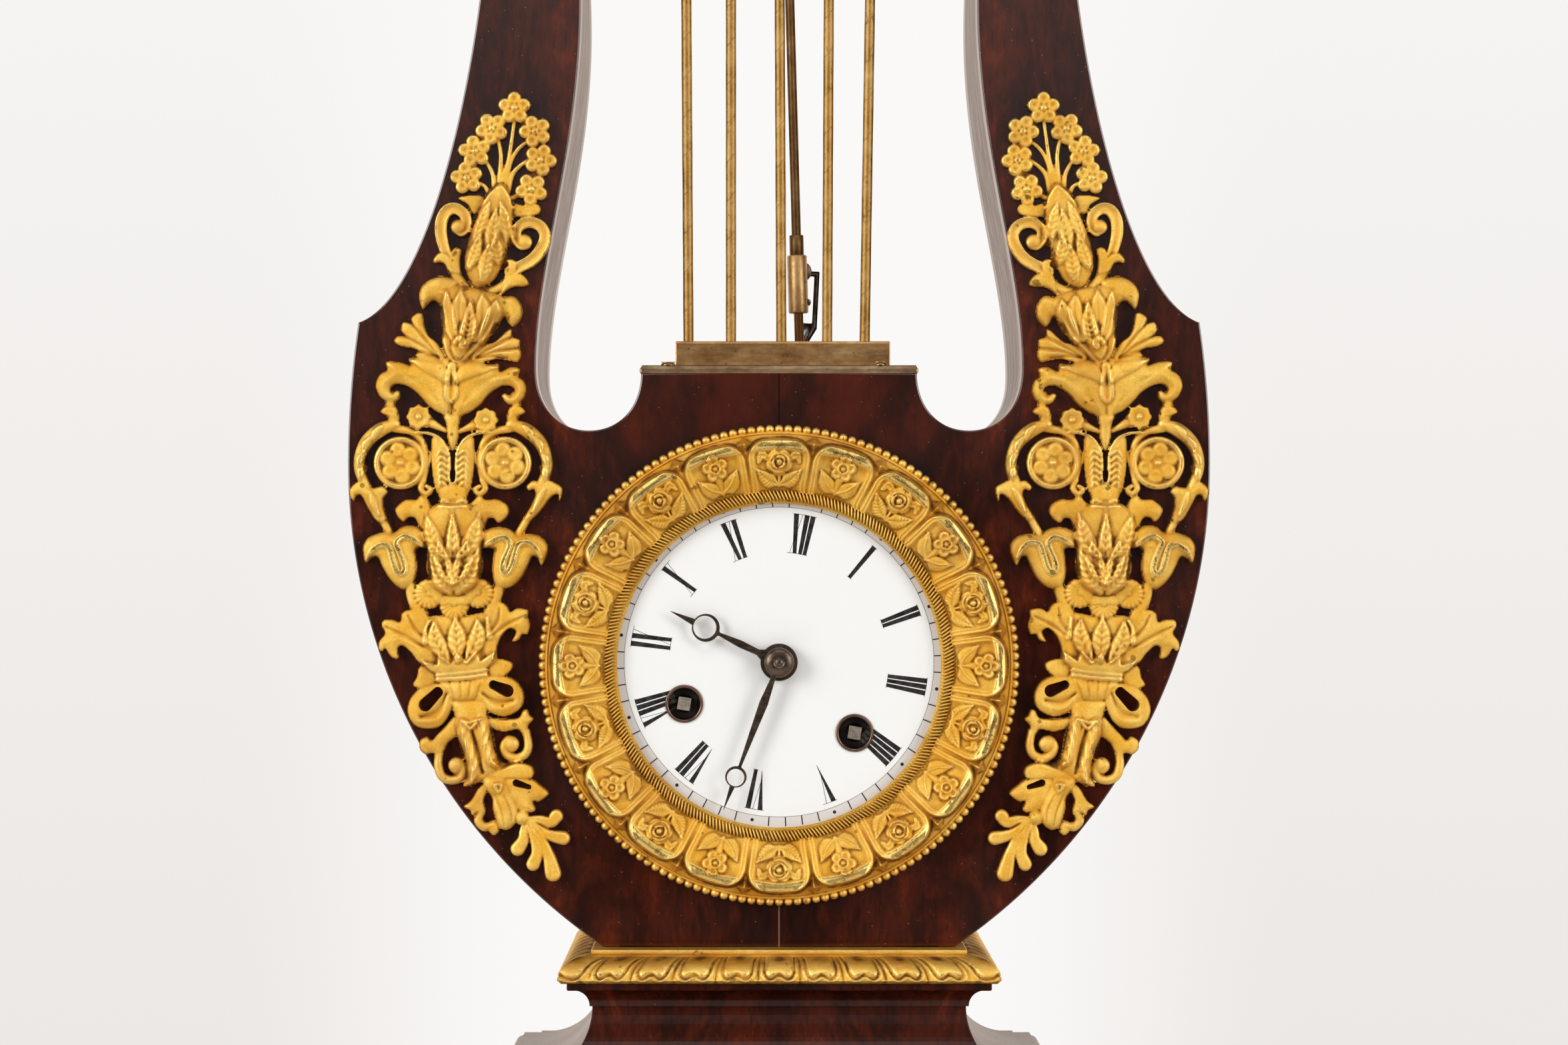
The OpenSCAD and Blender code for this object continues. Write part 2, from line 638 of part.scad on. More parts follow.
// Crutch: a stem from the anchor arbor up to an upright loop round the pin of the pendulum
anchor_world = [anchor_up * sin(movement_turn), z_dial + anchor_up * cos(movement_turn)];
pin_world = [pin_side * cos(lean) - (z_pin - pivot_z) * sin(lean),
    pivot_z + pin_side * sin(lean) + (z_pin - pivot_z) * cos(lean)];
crutch_l = norm(pin_world - anchor_world);
crutch_lean = atan2(pin_world[0] - anchor_world[0], pin_world[1] - anchor_world[1]);
module crutch() color(steel) translate([anchor_world[0], 0, anchor_world[1]]) rotate([0, crutch_lean, 0])
    plate(crutch_y, crutch_t) difference() {
        union() {
            circle(3);
            translate([-1.1, 0]) square([2.2, crutch_l - 8]);
            translate([0, crutch_l - 8]) polygon([[-1.1, -4], [1.1, -4], [3.3, 0], [-3.3, 0]]);
            translate([-3.3, crutch_l - 8]) square([6.6, 18]);
        }
        translate([-1.7, crutch_l - 6.4]) square([3.4, 14.8]);
        circle(1.2 + fit / 2);
    }

// Motion work between the dial and the front plate
module cannon_pinion() color(steel) works() difference() {
    union() {
        pin_y([0, 0], y_minute - hand_t - 2, y_plate - 1.2 - y_minute + hand_t + 2, 1.6);
        plate(y_plate - 3.6, 2.4) gear(12, 0.6, 0.5, 0.4);
    }
    pin_y([0, 0], y_minute - 9, 40, 0.9 + shaft_gap);
}
stud_angle = toward([0, 0], minute_stud_at);
module minute_wheel() color(brass) works() translate([minute_stud_at[0], 0, minute_stud_at[1]])
    difference() {
    union() {
        plate(y_plate - 3.4, 1.2) rotate(stud_angle + 180 + 5) gear(36, 0.6, 0.5, 0.4);
        plate(y_plate - 6.4, 3.1) rotate(stud_angle + 180 + 18) gear(10, 0.576, 0.5, 0.4);
    }
    pin_y([0, 0], y_plate - 9, 12, 1 + shaft_gap);
}
module hour_wheel() color(brass) works() difference() {
    union() {
        plate(y_plate - 6.2, 1.2) rotate(stud_angle) gear(40, 0.576, 1, 0.4);
        pin_y([0, 0], y_hour - hand_t, y_plate - 5 - y_hour + hand_t, 2.5);
    }
    pin_y([0, 0], y_hour - 9, 40, 1.6 + shaft_gap);
}

// Strike work
hammer_at = [-36, -20];
module pin_wheel() color(brass) works() {
    arbor(pin_wheel_at, 1);
    pin_y(pin_wheel_at, y_back, plate_t + 2.4, 1.2 - shaft_gap);
    wheel_at(pin_wheel_at, y_in + 3, 3, 10, strike_at, true, 0.5, false);
    wheel_at(pin_wheel_at, y_in + 23.5, 1.2, 40, fly_at, false, 0.5);
    for (a = [0:45:315]) pin_y(pin_wheel_at + 7.6 * [cos(a), sin(a)], y_in + 24.5, 3, 0.5);
}
module fly() color(brass) works() {
    arbor(fly_at, 0.9);
    wheel_at(fly_at, y_in + 22.5, 3, 8, pin_wheel_at, true, 0.5, false);
    translate([fly_at[0] - 7, y_in + 8, fly_at[1] - 0.4]) cube([14, 10, 0.8]);
}
strike_notches = [0, 12, 28, 48, 72, 100, 132, 168, 208, 252, 300];
module count_wheel() color(brass) works() translate([pin_wheel_at[0], 0, pin_wheel_at[1]])
    plate(y_behind + 0.5, 1.2) difference() {
        circle(13);
        circle(1.2);
        for (a = strike_notches) rotate(a) translate([11.6, -0.7]) square([3, 1.4]);
        crossings(3.4, 9.6);
    }
bell_y = y_behind + 15.6;
module bell() color(brass) works() translate([0, bell_y, 0]) rotate([-90, 0, 0])
    rotate_extrude() difference() {
    intersection() {
        square([bell_r, 16]);
        translate([0, -29]) circle(45);
    }
    translate([0, -31]) circle(45);
    translate([0, 8]) square([2 + fit, 20]);
}
module bell_stand() color(steel) works() {
    pin_y([41, -6], y_behind, bell_y + 18 - y_behind, 2);
    plate(bell_y + 16.2, 1.8) {
        circle(4);
        polygon([[0, -2.4], [41, -8.4], [41, -3.6], [0, 2.4]]);
    }
    pin_y([0, 0], bell_y + 12.6, 4, 2);
    pin_y([0, 0], bell_y + 12.2, 1.5, 3.4);
}
head_at = [-38.2, 8];
module hammer() color(steel) works() {
    pin_y(hammer_at, y_back + 0.2, bell_y + 3 - y_back, 1.2 - shaft_gap);
    translate([hammer_at[0], 0, hammer_at[1]]) plate(bell_y + 1, 1.6) {
        circle(2.4);
        rotate(toward(hammer_at, head_at)) translate([0, -0.8]) square([norm(head_at - hammer_at), 1.6]);
    }
    pin_y(head_at, bell_y - 1.5, 6, 3.2);
}

// Back of the case: a brass ring in the opening and a hinged door
hinge_x = 68;
module rear_ring() color(brass) {
    translate([0, lyre_d / 2, z_bezel]) rotate([-90, 0, 0]) rotate_extrude() {
        translate([58, 0]) square([8, 2]);
        translate([58, -8]) square([works_hole_r + 1.6 - 58, 8]);
    }
    for (s = [-1, 1]) translate([hinge_x, lyre_d / 2 + 3.6, z_bezel + s * 8 - 2.5]) difference() {
        union() {
            cylinder(r = 2.4, h = 5);
            translate([-6, -3.6, 0]) cube([6, 2, 5]);
            translate([-2.4, -3.6, 0]) cube([4.8, 3.6, 5]);
        }
        translate([0, 0, -1]) cylinder(r = 1 + fit / 2, h = 7);
    }
}
module door() color(brass) {
    translate([0, lyre_d / 2 + 2.2, z_bezel]) rotate([-90, 0, 0]) rotate_extrude() {
        translate([50, 0]) square([14, 2.2]);
        translate([0, 0.6]) square([51, 1]);
        translate([61, 2]) circle(1.6);
    }
    translate([hinge_x, lyre_d / 2 + 3.6, z_bezel]) {
        translate([0, 0, -11]) cylinder(r = 1 - shaft_gap, h = 22);
        translate([0, 0, -5]) cylinder(r = 2.4, h = 10);
        translate([-8, -1.2, -5]) cube([8, 2, 10]);
    }
}

// Mounts: flat gilt shapes laid on the lyre, drawn on a middle line that runs down the right half
// Puts a piece at a place, turned by an angle
module put(p, a = 0) translate([$side * p[0], p[1]]) rotate($side * a) children();
// A pointed leaf from the origin upwards
module leaf(l, w) translate([0, l / 2]) intersection() {
    translate([w / 2 - (l * l + w * w) / (4 * w), 0]) circle((l * l + w * w) / (4 * w));
    translate([(l * l + w * w) / (4 * w) - w / 2, 0]) circle((l * l + w * w) / (4 * w));
}
// A stem along a curve, from width a to width b
function stem_side(p, a, b, s, n) = [for (i = [0:n]) let (
    t = i / n,
    d = unit(bezier(p, min(1, t + 0.01)) - bezier(p, max(0, t - 0.01))))
    bezier(p, t) + left_of(d) * s * (a + (b - a) * t) / 2];
module stem(p, a, b, n = 8)
    shape(concat(stem_side(p, a, b, 1, n), backwards(stem_side(p, a, b, -1, n))));
// A scroll: a curl that tightens round a place and ends in an eye
function curl_at(r, w, a, b, t, s) = (r - (r - w) * 0.8 * t + s * w / 2) * toward_angle(a + (b - a) * t);
module scroll(at, r, w, a, b, n = 14) {
    shape(concat([for (i = [0:n]) at + curl_at(r, w, a, b, i / n, 1)],
        [for (i = [n:-1:0]) at + curl_at(r, w, a, b, i / n, -1)]));
    put(at + curl_at(r, w, a, b, 1, 0)) circle(w * 0.75);
}
// A piece of the mount is drawn in every layer up to its own
module raised(k) if ($layer <= k) children();
stems = 1;
leaves = 2;
fullest = 3;

// The middle between the two rosette rings; all groups of the mount are placed from it
mount_at = [bezel_r + 25.5, z_bezel + 60.6];
flowers = [[-24.5, 99.2], [-26.1, 90.4], [-23.5, 82], [-18.5, 106.4], [-11.5, 100], [-6.3, 93.4],
    [-4.1, 85]];
flower_root = [-14.1, 79.8];
flower_links = [[0, 1], [1, 2], [0, 3], [3, 4], [4, 5], [5, 6]];
module flower() {
    raised(leaves) for (i = [0:4]) rotate(72 * i + 90) translate([2.4, 0]) circle(1.85);
    raised(fullest) circle(1.1);
}
module bouquet() {
    for (p = flowers) put(p) flower();
    raised(stems) {
        for (p = flowers)
            stem([flower_root, flower_root + [0, 9], p + (flower_root + [0, 13] - p) * 0.4, p], 1.6, 1);
        for (k = flower_links) let (p = flowers[k[0]], q = flowers[k[1]])
            stem([p, p + (q - p) / 3, p + (q - p) * 2 / 3, q], 3, 3, 2);
    }
}
// Husk: a full bud with a pointed top and leafy sides
module husk(l, w) {
    raised(fullest) put([0, -1]) leaf(l + 1, w);
    raised(leaves) both() put([w * 0.1, l * 0.1], -9) leaf(l * 0.75, w * 0.55);
}
module upper_scrolls() raised(leaves) both() {
    scroll([11, 18.6], 6, 2.6, -35, 250);
    stem([[1, 0], [6, 5], [13, 8], [16, 15.5]], 2.4, 2.6);
    put([6.4, 4.2], -28) leaf(7, 3.2);
    put([6.6, 5], -78) leaf(6, 2.6);
    put([2, 24], -48) leaf(10, 5);
}
// Bellflower with two curled lips and a small tulip on each side
module bellflower() {
    raised(fullest) {
        shape([[-3.4, -3], [3.4, -3], [6, 12], [8.2, 22], [3, 26.4], [-3, 26.4], [-8.2, 22], [-6, 12]]);
    }
    raised(leaves) both() {
        scroll([8.6, 17], 4.4, 4.4, 140, -40);
        stem([[1, -1], [8, 1], [11, 4], [16, 8]], 3, 3.6);
        put([13, 5], -30) leaf(9, 4.6);
        put([13, 5], -62) leaf(9, 4.2);
        put([12, 4], -95) leaf(8, 3.2);
    }
}
// Lily with wide curled lips
module lily() {
    raised(fullest) shape(concat(
        curve([[0, -2], [6, 3], [11, 8], [17, 11]], 6), curve([[17, 11], [13, 15], [8, 18], [2, 15]], 6),
        curve([[-2, 15], [-8, 18], [-13, 15], [-17, 11]], 6),
        curve([[-17, 11], [-11, 8], [-6, 3], [0, -2]], 6)));
    raised(leaves) both() {
        stem([[13, 12.6], [18, 16], [23.6, 14.5], [23.5, 7]], 4.4, 3);
        scroll([21, 6.6], 2.6, 1.8, 20, -200);
        stem([[22.4, 4.6], [20, 1], [21.5, -2], [24.4, -5.6]], 3, 3);
    }
}
// Two rosette rings with curved stems round them and a chevroned husk between
module rings() {
    raised(leaves) both() {
        put([15.7, 0]) difference() {
            circle(8);
            circle(6.2);
        }
        stem([[23.6, 8.6], [29, 7.6], [30.4, -4], [27, -12]], 3.2, 3);
        stem([[1, 6], [9, 10], [16, 11.5], [24.4, 8.4]], 2.4, 2.4);
        put([27.4, -9.6], 168) leaf(12, 5);
        put([27, -11], -126) leaf(5, 2.6);
        put([27.4, -11], 130) leaf(6, 2.6);
        scroll([6.8, -9.6], 1.9, 1.4, 190, -60);
        stem([[4, 7], [7, 9], [9, 11], [10.4, 13.4]], 2.6, 3.4);
        put([10.8, 13.8]) circle(3.6);
    }
    raised(stems) both() put([15.7, 0]) circle(6.4);
    raised(leaves) both() put([15.7, 0])
        for (i = [0:4]) rotate(72 * i + 18) translate([2.9, 0]) circle(2);
    raised(fullest) both() put([15.7, 0]) circle(1.2);
    raised(fullest) shape([[-2, 14], [2, 14], [2.4, 8], [8.4, 5], [8.4, -2], [5, -14],
        [-5, -14], [-8.4, -2], [-8.4, 5], [-2.4, 8]]);
}
// Leafy husk between two wavy tulips
module tulips() {
    raised(fullest) shape([[-6.5, 14], [0, 15], [6.5, 14], [8.6, 5], [7.6, -6], [7.6, -14],
        [-7.6, -14], [-7.6, -6], [-8.6, 5]]);
    raised(leaves) both() {
        put([5, 10.5], -64) leaf(13, 6.4);
        put([15, 13], 190) leaf(6.4, 4.6);
        stem([[6.4, 1.6], [10, 5], [13, 6], [16.2, 2.6]], 3.6, 3.6);
        shape([[12.3, 3.2], [19.1, 2.8], [20, -2.4], [17.6, -8.8], [14.2, -9.6], [12, -5.4]]);
        stem([[17, 0], [20, 8], [26, 6.4], [26.4, -1.6]], 4.4, 2.4);
        stem([[19, 4], [21, 7], [23.4, 11], [25.6, 16]], 2.6, 3);
        stem([[15.6, -8.4], [14, -11], [12.4, -14], [11, -18]], 3.4, 3.8);
    }
}
// Scalloped leaf crown
module crown() {
    raised(fullest) {
        for (x = [-6.8, 0, 6.8]) translate([x, x == 0 ? 16.6 : 18.4]) circle(4.4);
        shape([[-12, 17], [12, 17], [12.5, 8], [8, 0], [6, -6], [-6, -6], [-8, 0], [-12.5, 8]]);
    }
    raised(leaves) both() {
        put([7, 2], -32) leaf(17, 8);
        put([9, 2.5], -62) leaf(16, 7);
        stem([[14, 9], [18, 13], [23, 13], [23.4, 6.4]], 4.4, 3.2);
        put([22.8, 5.4]) circle(2.2);
        put([21, 12], -24) leaf(5, 3.8);
        stem([[6, -2], [10, -3], [12.4, -5], [14, -4]], 4, 3);
    }
}
// Ribbon bow
module bow() {
    raised(fullest) shape([[-7, 6], [7, 6], [6, -3], [4, -8], [0, -6], [-4, -8], [-6, -3]]);
    raised(leaves) both() {
        stem([[5, 1], [11, 6], [18, 3], [17, -3.5]], 4, 3.4);
        stem([[17, -3], [16, -10], [9, -10.4], [3, -3]], 3.4, 4.4);
        put([10, 3], -50) leaf(5.4, 3);
    }
}
// Twisted stem with small scrolls
module twist() {
    raised(fullest) for (i = [0:5]) translate([0, 11 - 4 * i]) circle(4.6 - 0.3 * i);
    raised(leaves) both() {
        stem([[2, 10], [6, 6], [8, 7], [12, 9]], 3.6, 3.6);
        put([11.6, 8], -20) leaf(6, 4);
        stem([[12, 9], [15, 2], [14, -4.4], [8.6, -5]], 3, 2.6);
        scroll([9, -1.6], 3.4, 2.2, -100, 160);
        stem([[1, -8], [5, -10], [7, -6.5], [9.4, -5]], 2.8, 2.8);
    }
}
module lower_leaves() {
    raised(fullest) put([0, -10]) leaf(22, 11.6);
    raised(leaves) both() {
        put([1, 5], -68) leaf(12, 4.6);
        put([2, -2], -98) leaf(11, 4.8);
        put([2, -6], -125) leaf(9, 4.6);
    }
}
// Five club-shaped lobes
fan_tips = [[-10.4, 0.6], [-12.8, -6], [-9.8, -17.4], [-3.2, -14.2], [1.4, -9.4]];
module fan() {
    raised(leaves) for (p = fan_tips) {
        stem([[0, 0], p * 0.33, p * 0.67, p], 1.8, 3.4);
        put(p) circle(2.3);
    }
    raised(fullest) circle(3.2);
}

module mount_shapes() {
    bouquet();
    put([-6.8, 52.5], 13.4) {
        husk(31, 13);
        upper_scrolls();
    }
    put([-0.5, 27.3], 11) bellflower();
    put([1.2, 12.3], 1) lily();
    rings();
    put([-0.2, -25.6], 1.5) tulips();
    put([-0.7, -58.7], -4) crown();
    put([-3.5, -69.8], -7) bow();
    put([-7.5, -84.7], -14) twist();
    put([-14.5, -99.6], -38) lower_leaves();
    put([-21.2, -106.2]) fan();
}
module mount_layer(n, low, high) translate([0, 0, low]) linear_extrude(high - low) {
    $layer = n;
    mount_shapes();
}
module mount(side) color(gilt) mirrored(side) translate([mount_at[0], y_face, mount_at[1]])
    rotate([90, 0, 0]) {
    mount_layer(stems, 0, stem_t);
    mount_layer(leaves, stem_t, leaf_t);
    mount_layer(fullest, leaf_t, full_t);
}
module mount_left() mount(-1);
module mount_right() mount(1);

foot_front_left();
foot_front_right();
foot_back_left();
foot_back_right();
plinth();
pedestal();
cavetto();
leaf_frame();
front_left();
front_right();
core_left();
core_right();
back_board();
mount_left();
mount_right();
rosette_left();
rosette_right();
neck_cover();
string_block();
string_1();
string_2();
string_3();
string_4();
string_5();
yoke();
suspension_bar();
bezel();
dial();
eyelet_left();
eyelet_right();
hour_hand();
minute_hand();
collet();
front_plate();
back_plate();
going_barrel();
strike_barrel();
going_arbor();
strike_arbor();
middle_wheel();
centre_wheel();
third_wheel();
escape_wheel();
anchor();
back_cock();
crutch();
cannon_pinion();
minute_wheel();
hour_wheel();
pin_wheel();
fly();
count_wheel();
bell();
bell_stand();
hammer();
rear_ring();
door();
pendulum_rod();
bob();
rating_nut();
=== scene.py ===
"""Looks of the lyre clock, drawn round the built part. Sizes are in millimetres, meshes in metres."""
import math

import bmesh
import bpy
import numpy as np
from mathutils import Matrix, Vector
from mathutils.geometry import tessellate_polygon


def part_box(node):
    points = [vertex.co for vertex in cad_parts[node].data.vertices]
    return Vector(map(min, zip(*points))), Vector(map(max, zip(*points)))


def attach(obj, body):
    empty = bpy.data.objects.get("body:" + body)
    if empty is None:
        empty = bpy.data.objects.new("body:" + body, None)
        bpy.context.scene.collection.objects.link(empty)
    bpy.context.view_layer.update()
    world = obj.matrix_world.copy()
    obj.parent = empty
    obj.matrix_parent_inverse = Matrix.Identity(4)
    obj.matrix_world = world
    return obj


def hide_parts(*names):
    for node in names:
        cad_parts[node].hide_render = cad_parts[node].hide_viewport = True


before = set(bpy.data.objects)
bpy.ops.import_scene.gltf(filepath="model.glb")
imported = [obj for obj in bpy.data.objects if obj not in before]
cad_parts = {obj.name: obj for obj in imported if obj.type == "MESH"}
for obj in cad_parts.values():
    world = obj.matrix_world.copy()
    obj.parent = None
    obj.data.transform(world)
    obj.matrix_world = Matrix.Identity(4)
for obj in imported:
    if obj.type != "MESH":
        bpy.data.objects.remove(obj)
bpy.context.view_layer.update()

MM = 0.001
# Places read from the built part, and its sizes
Z_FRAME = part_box("leaf_frame")[0].z / MM
Z_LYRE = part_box("front_right")[0].z / MM
Y_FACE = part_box("front_right")[0].y / MM
BOARD = 10.0
HALF_DEPTH = 39.0
BOWL_RISE = 145.0
Z_WIDE = Z_LYRE + BOWL_RISE
Z_BEZEL = Z_LYRE + 84.6
Z_DIAL = Z_BEZEL + 1.0
Z_NECK = Z_WIDE + 27.2
BOWL_HALF = 129.4
FOOT_HALF = 52.7
NECK_HALF = 41.4
TURN = 9.7
SCROLL = np.array([BOWL_HALF - 24.9, Z_WIDE + 280.0])
SCROLL_R = 17.0
MOUNT_AT = np.array([97.7, Z_BEZEL + 60.6])
STRING_FOOT = (-27.4, -14.5, 0.8, 14.7, 26.1)
STRING_HEAD = (-28.8, -14.5, -0.3, 15.8, 29.6)
STRING_Y = -25.0
STRING_R = 1.55
Z_BLOCK_TOP = Z_NECK + 9.9
Z_YOKE = Z_WIDE + 260.0


# Meshes
def make_mesh(name, verts, faces, attributes=None):
    """Plain mesh from points in millimetres and one or more arrays of faces."""
    verts = np.asarray(verts, float)
    groups = [np.asarray(f, np.int32) for f in faces if len(f)]
    mesh = bpy.data.meshes.new(name)
    mesh.vertices.add(len(verts))
    mesh.vertices.foreach_set("co", (verts * MM).ravel())
    loops = np.concatenate([g.ravel() for g in groups])
    sizes = np.concatenate([np.full(len(g), g.shape[1]) for g in groups])
    mesh.loops.add(len(loops))
    mesh.loops.foreach_set("vertex_index", loops)
    mesh.polygons.add(len(sizes))
    mesh.polygons.foreach_set("loop_start", np.concatenate([[0], np.cumsum(sizes)[:-1]]))
    for key, values in (attributes or {}).items():
        layer = mesh.attributes.new(key, "FLOAT", "POINT")
        layer.data.foreach_set("value", np.asarray(values, np.float32))
    mesh.update(calc_edges=True)
    mesh.validate()
    return mesh


def show(name, shape, finish, body="case", hides=None, smooth=True):
    """Adds a mesh or a pile to the scene as a piece that rides a body and may stand for a built node."""
    mesh = shape.mesh(name) if isinstance(shape, Pile) else shape
    mesh.name = name
    mesh.materials.clear()
    mesh.materials.append(finish)
    mesh.polygons.foreach_set("use_smooth", np.full(len(mesh.polygons), smooth))
    obj = bpy.data.objects.new(name, mesh)
    bpy.context.scene.collection.objects.link(obj)
    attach(obj, body)
    if hides:
        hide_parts(hides)


def finished(holder):
    """Plain mesh of an object as its modifiers or its curve leave it; the object goes."""
    bpy.context.scene.collection.objects.link(holder)
    bpy.context.view_layer.update()
    mesh = bpy.data.meshes.new_from_object(holder.evaluated_get(bpy.context.evaluated_depsgraph_get()))
    holder.modifiers.clear()
    bpy.data.objects.remove(holder)
    return mesh


def sheet_faces(rows, cols, close_rows=False, close_cols=False):
    """Quads of a grid of points that is stored row by row."""
    i = np.arange(rows if close_rows else rows - 1)
    j = np.arange(cols if close_cols else cols - 1)
    i, j = np.meshgrid(i, j, indexing="ij")
    i2 = (i + 1) % rows
    j2 = (j + 1) % cols
    return np.stack([i * cols + j, i * cols + j2, i2 * cols + j2, i2 * cols + j], -1).reshape(-1, 4)


class Pile:
    """Several simple meshes gathered into one."""
    def __init__(self):
        self.verts = []
        self.quads = []
        self.tris = []
        self.count = 0

    def add(self, verts, quads=(), tris=()):
        verts = np.asarray(verts, float).reshape(-1, 3)
        if len(quads):
            self.quads.append(np.asarray(quads, int) + self.count)
        if len(tris):
            self.tris.append(np.asarray(tris, int) + self.count)
        self.verts.append(verts)
        self.count += len(verts)

    def mesh(self, name):
        faces = []
        if self.quads:
            faces.append(np.concatenate(self.quads))
        if self.tris:
            faces.append(np.concatenate(self.tris))
        return make_mesh(name, np.concatenate(self.verts), faces)


def signed_area(p):
    return 0.5 * np.sum(p[:, 0] * np.roll(p[:, 1], -1) - np.roll(p[:, 0], -1) * p[:, 1])


def inset(p, d):
    """Moves a closed counter-clockwise outline inwards by a small distance."""
    a = p - np.roll(p, 1, axis=0)
    b = np.roll(p, -1, axis=0) - p
    a /= np.linalg.norm(a, axis=1)[:, None] + 1e-9
    b /= np.linalg.norm(b, axis=1)[:, None] + 1e-9
    n = np.stack([-(a + b)[:, 1], (a + b)[:, 0]], 1)
    n /= np.linalg.norm(n, axis=1)[:, None] + 1e-9
    lean = np.clip(np.sum(n * np.stack([-a[:, 1], a[:, 0]], 1), axis=1), 0.4, 1)
    return p + n * (d / lean)[:, None]


def flat_caps(*loops):
    """Triangles that fill flat closed outlines, all turned counter-clockwise."""
    flat = np.concatenate(loops)
    caps = np.array(tessellate_polygon([[Vector((x, y, 0)) for x, y in loop] for loop in loops]))
    a, b, c = flat[caps[:, 0]], flat[caps[:, 1]], flat[caps[:, 2]]
    turn = (b - a)[:, 0] * (c - a)[:, 1] - (b - a)[:, 1] * (c - a)[:, 0]
    caps[turn < 0] = caps[turn < 0][:, ::-1]
    return caps


def slab(pile, outline, low, high, lift, ease_low=0.0, ease_high=0.0, square=None):
    """A plate with eased edges. lift turns the outline at a level into points in space.
    Points that square picks keep their place, so an edge between two of them stays sharp."""
    p = np.asarray(outline, float)
    if signed_area(p) < 0:
        p = p[::-1]
    levels = []
    for d, z in ((ease_low, low), (ease_low * 0.3, low + ease_low * 0.3), (0, low + ease_low),
            (0, high - ease_high), (ease_high * 0.3, high - ease_high * 0.3), (ease_high, high)):
        q = inset(p, d) if d else p
        if d and square is not None:
            q = np.where(square(p)[:, None], p, q)
        if not levels or abs(levels[-1][1] - z) > 1e-9:
            levels.append((q, z))
    rings = [lift(q, z) for q, z in levels]
    caps = flat_caps(levels[-1][0])
    pile.add(np.concatenate(rings), sheet_faces(len(rings), len(p), close_cols=True))
    pile.add(rings[-1], tris=caps)
    pile.add(rings[0], tris=caps[:, ::-1])


def facing_front(q, z):
    """Lift for outlines in X and Z, with the level running to the front."""
    return np.column_stack([q[:, 0], np.full(len(q), -z), q[:, 1]])


def flat_up(q, z):
    """Lift for outlines in X and Y, with the level running up."""
    return np.column_stack([q[:, 0], q[:, 1], np.full(len(q), z)])


def turned(pile, section, middle, axis="y", count=96):
    """A turned piece: section points are (radius, distance along the axis)."""
    s = np.asarray(section, float)
    a = np.linspace(0, 2 * math.pi, count, endpoint=False)
    ring_a = s[:, 0][None, :] * np.cos(a)[:, None]
    ring_b = s[:, 0][None, :] * np.sin(a)[:, None]
    run = np.broadcast_to(s[:, 1], ring_a.shape)
    if axis == "y":
        p = np.stack([ring_a, run, ring_b], -1)
    else:
        p = np.stack([ring_a, ring_b, run], -1)
    flip = -1 if axis == "y" else 1
    faces = sheet_faces(count, len(s), close_rows=True)[:, ::-flip]
    pile.add(p.reshape(-1, 3) + np.asarray(middle, float), faces)


def box_outline(half_x, half_y, r=0.0, steps=4, middle=(0, 0)):
    """A rectangle with rounded corners."""
    out = []
    for k, (sx, sy) in enumerate(((1, -1), (1, 1), (-1, 1), (-1, -1))):
        a = np.radians(-90 + 90 * k + np.linspace(0, 90, steps + 1)) if r else np.radians([0.0])
        c = np.array([sx * (half_x - r), sy * (half_y - r)])
        out.append(c + r * np.column_stack([np.cos(a), np.sin(a)]))
    return np.concatenate(out) + np.asarray(middle, float)


def arc(middle, r, a, b, count):
    t = np.radians(np.linspace(a, b, count))
    return np.asarray(middle, float) + r * np.column_stack([np.cos(t), np.sin(t)])


def bezier(points, count=24):
    a, b, c, d = (np.asarray(p, float) for p in points)
    t = np.linspace(0, 1, count)[:, None]
    return a * (1 - t) ** 3 + 3 * b * t * (1 - t) ** 2 + 3 * c * t * t * (1 - t) + d * t ** 3


def works(points):
    """Points on the dial, X and Z from its middle, turned as the movement sits in the case."""
    a = math.radians(TURN)
    p = np.atleast_2d(np.asarray(points, float))
    x = p[:, 0] * math.cos(a) + p[:, 1] * math.sin(a)
    z = Z_DIAL - p[:, 0] * math.sin(a) + p[:, 1] * math.cos(a)
    return np.column_stack([x, z])


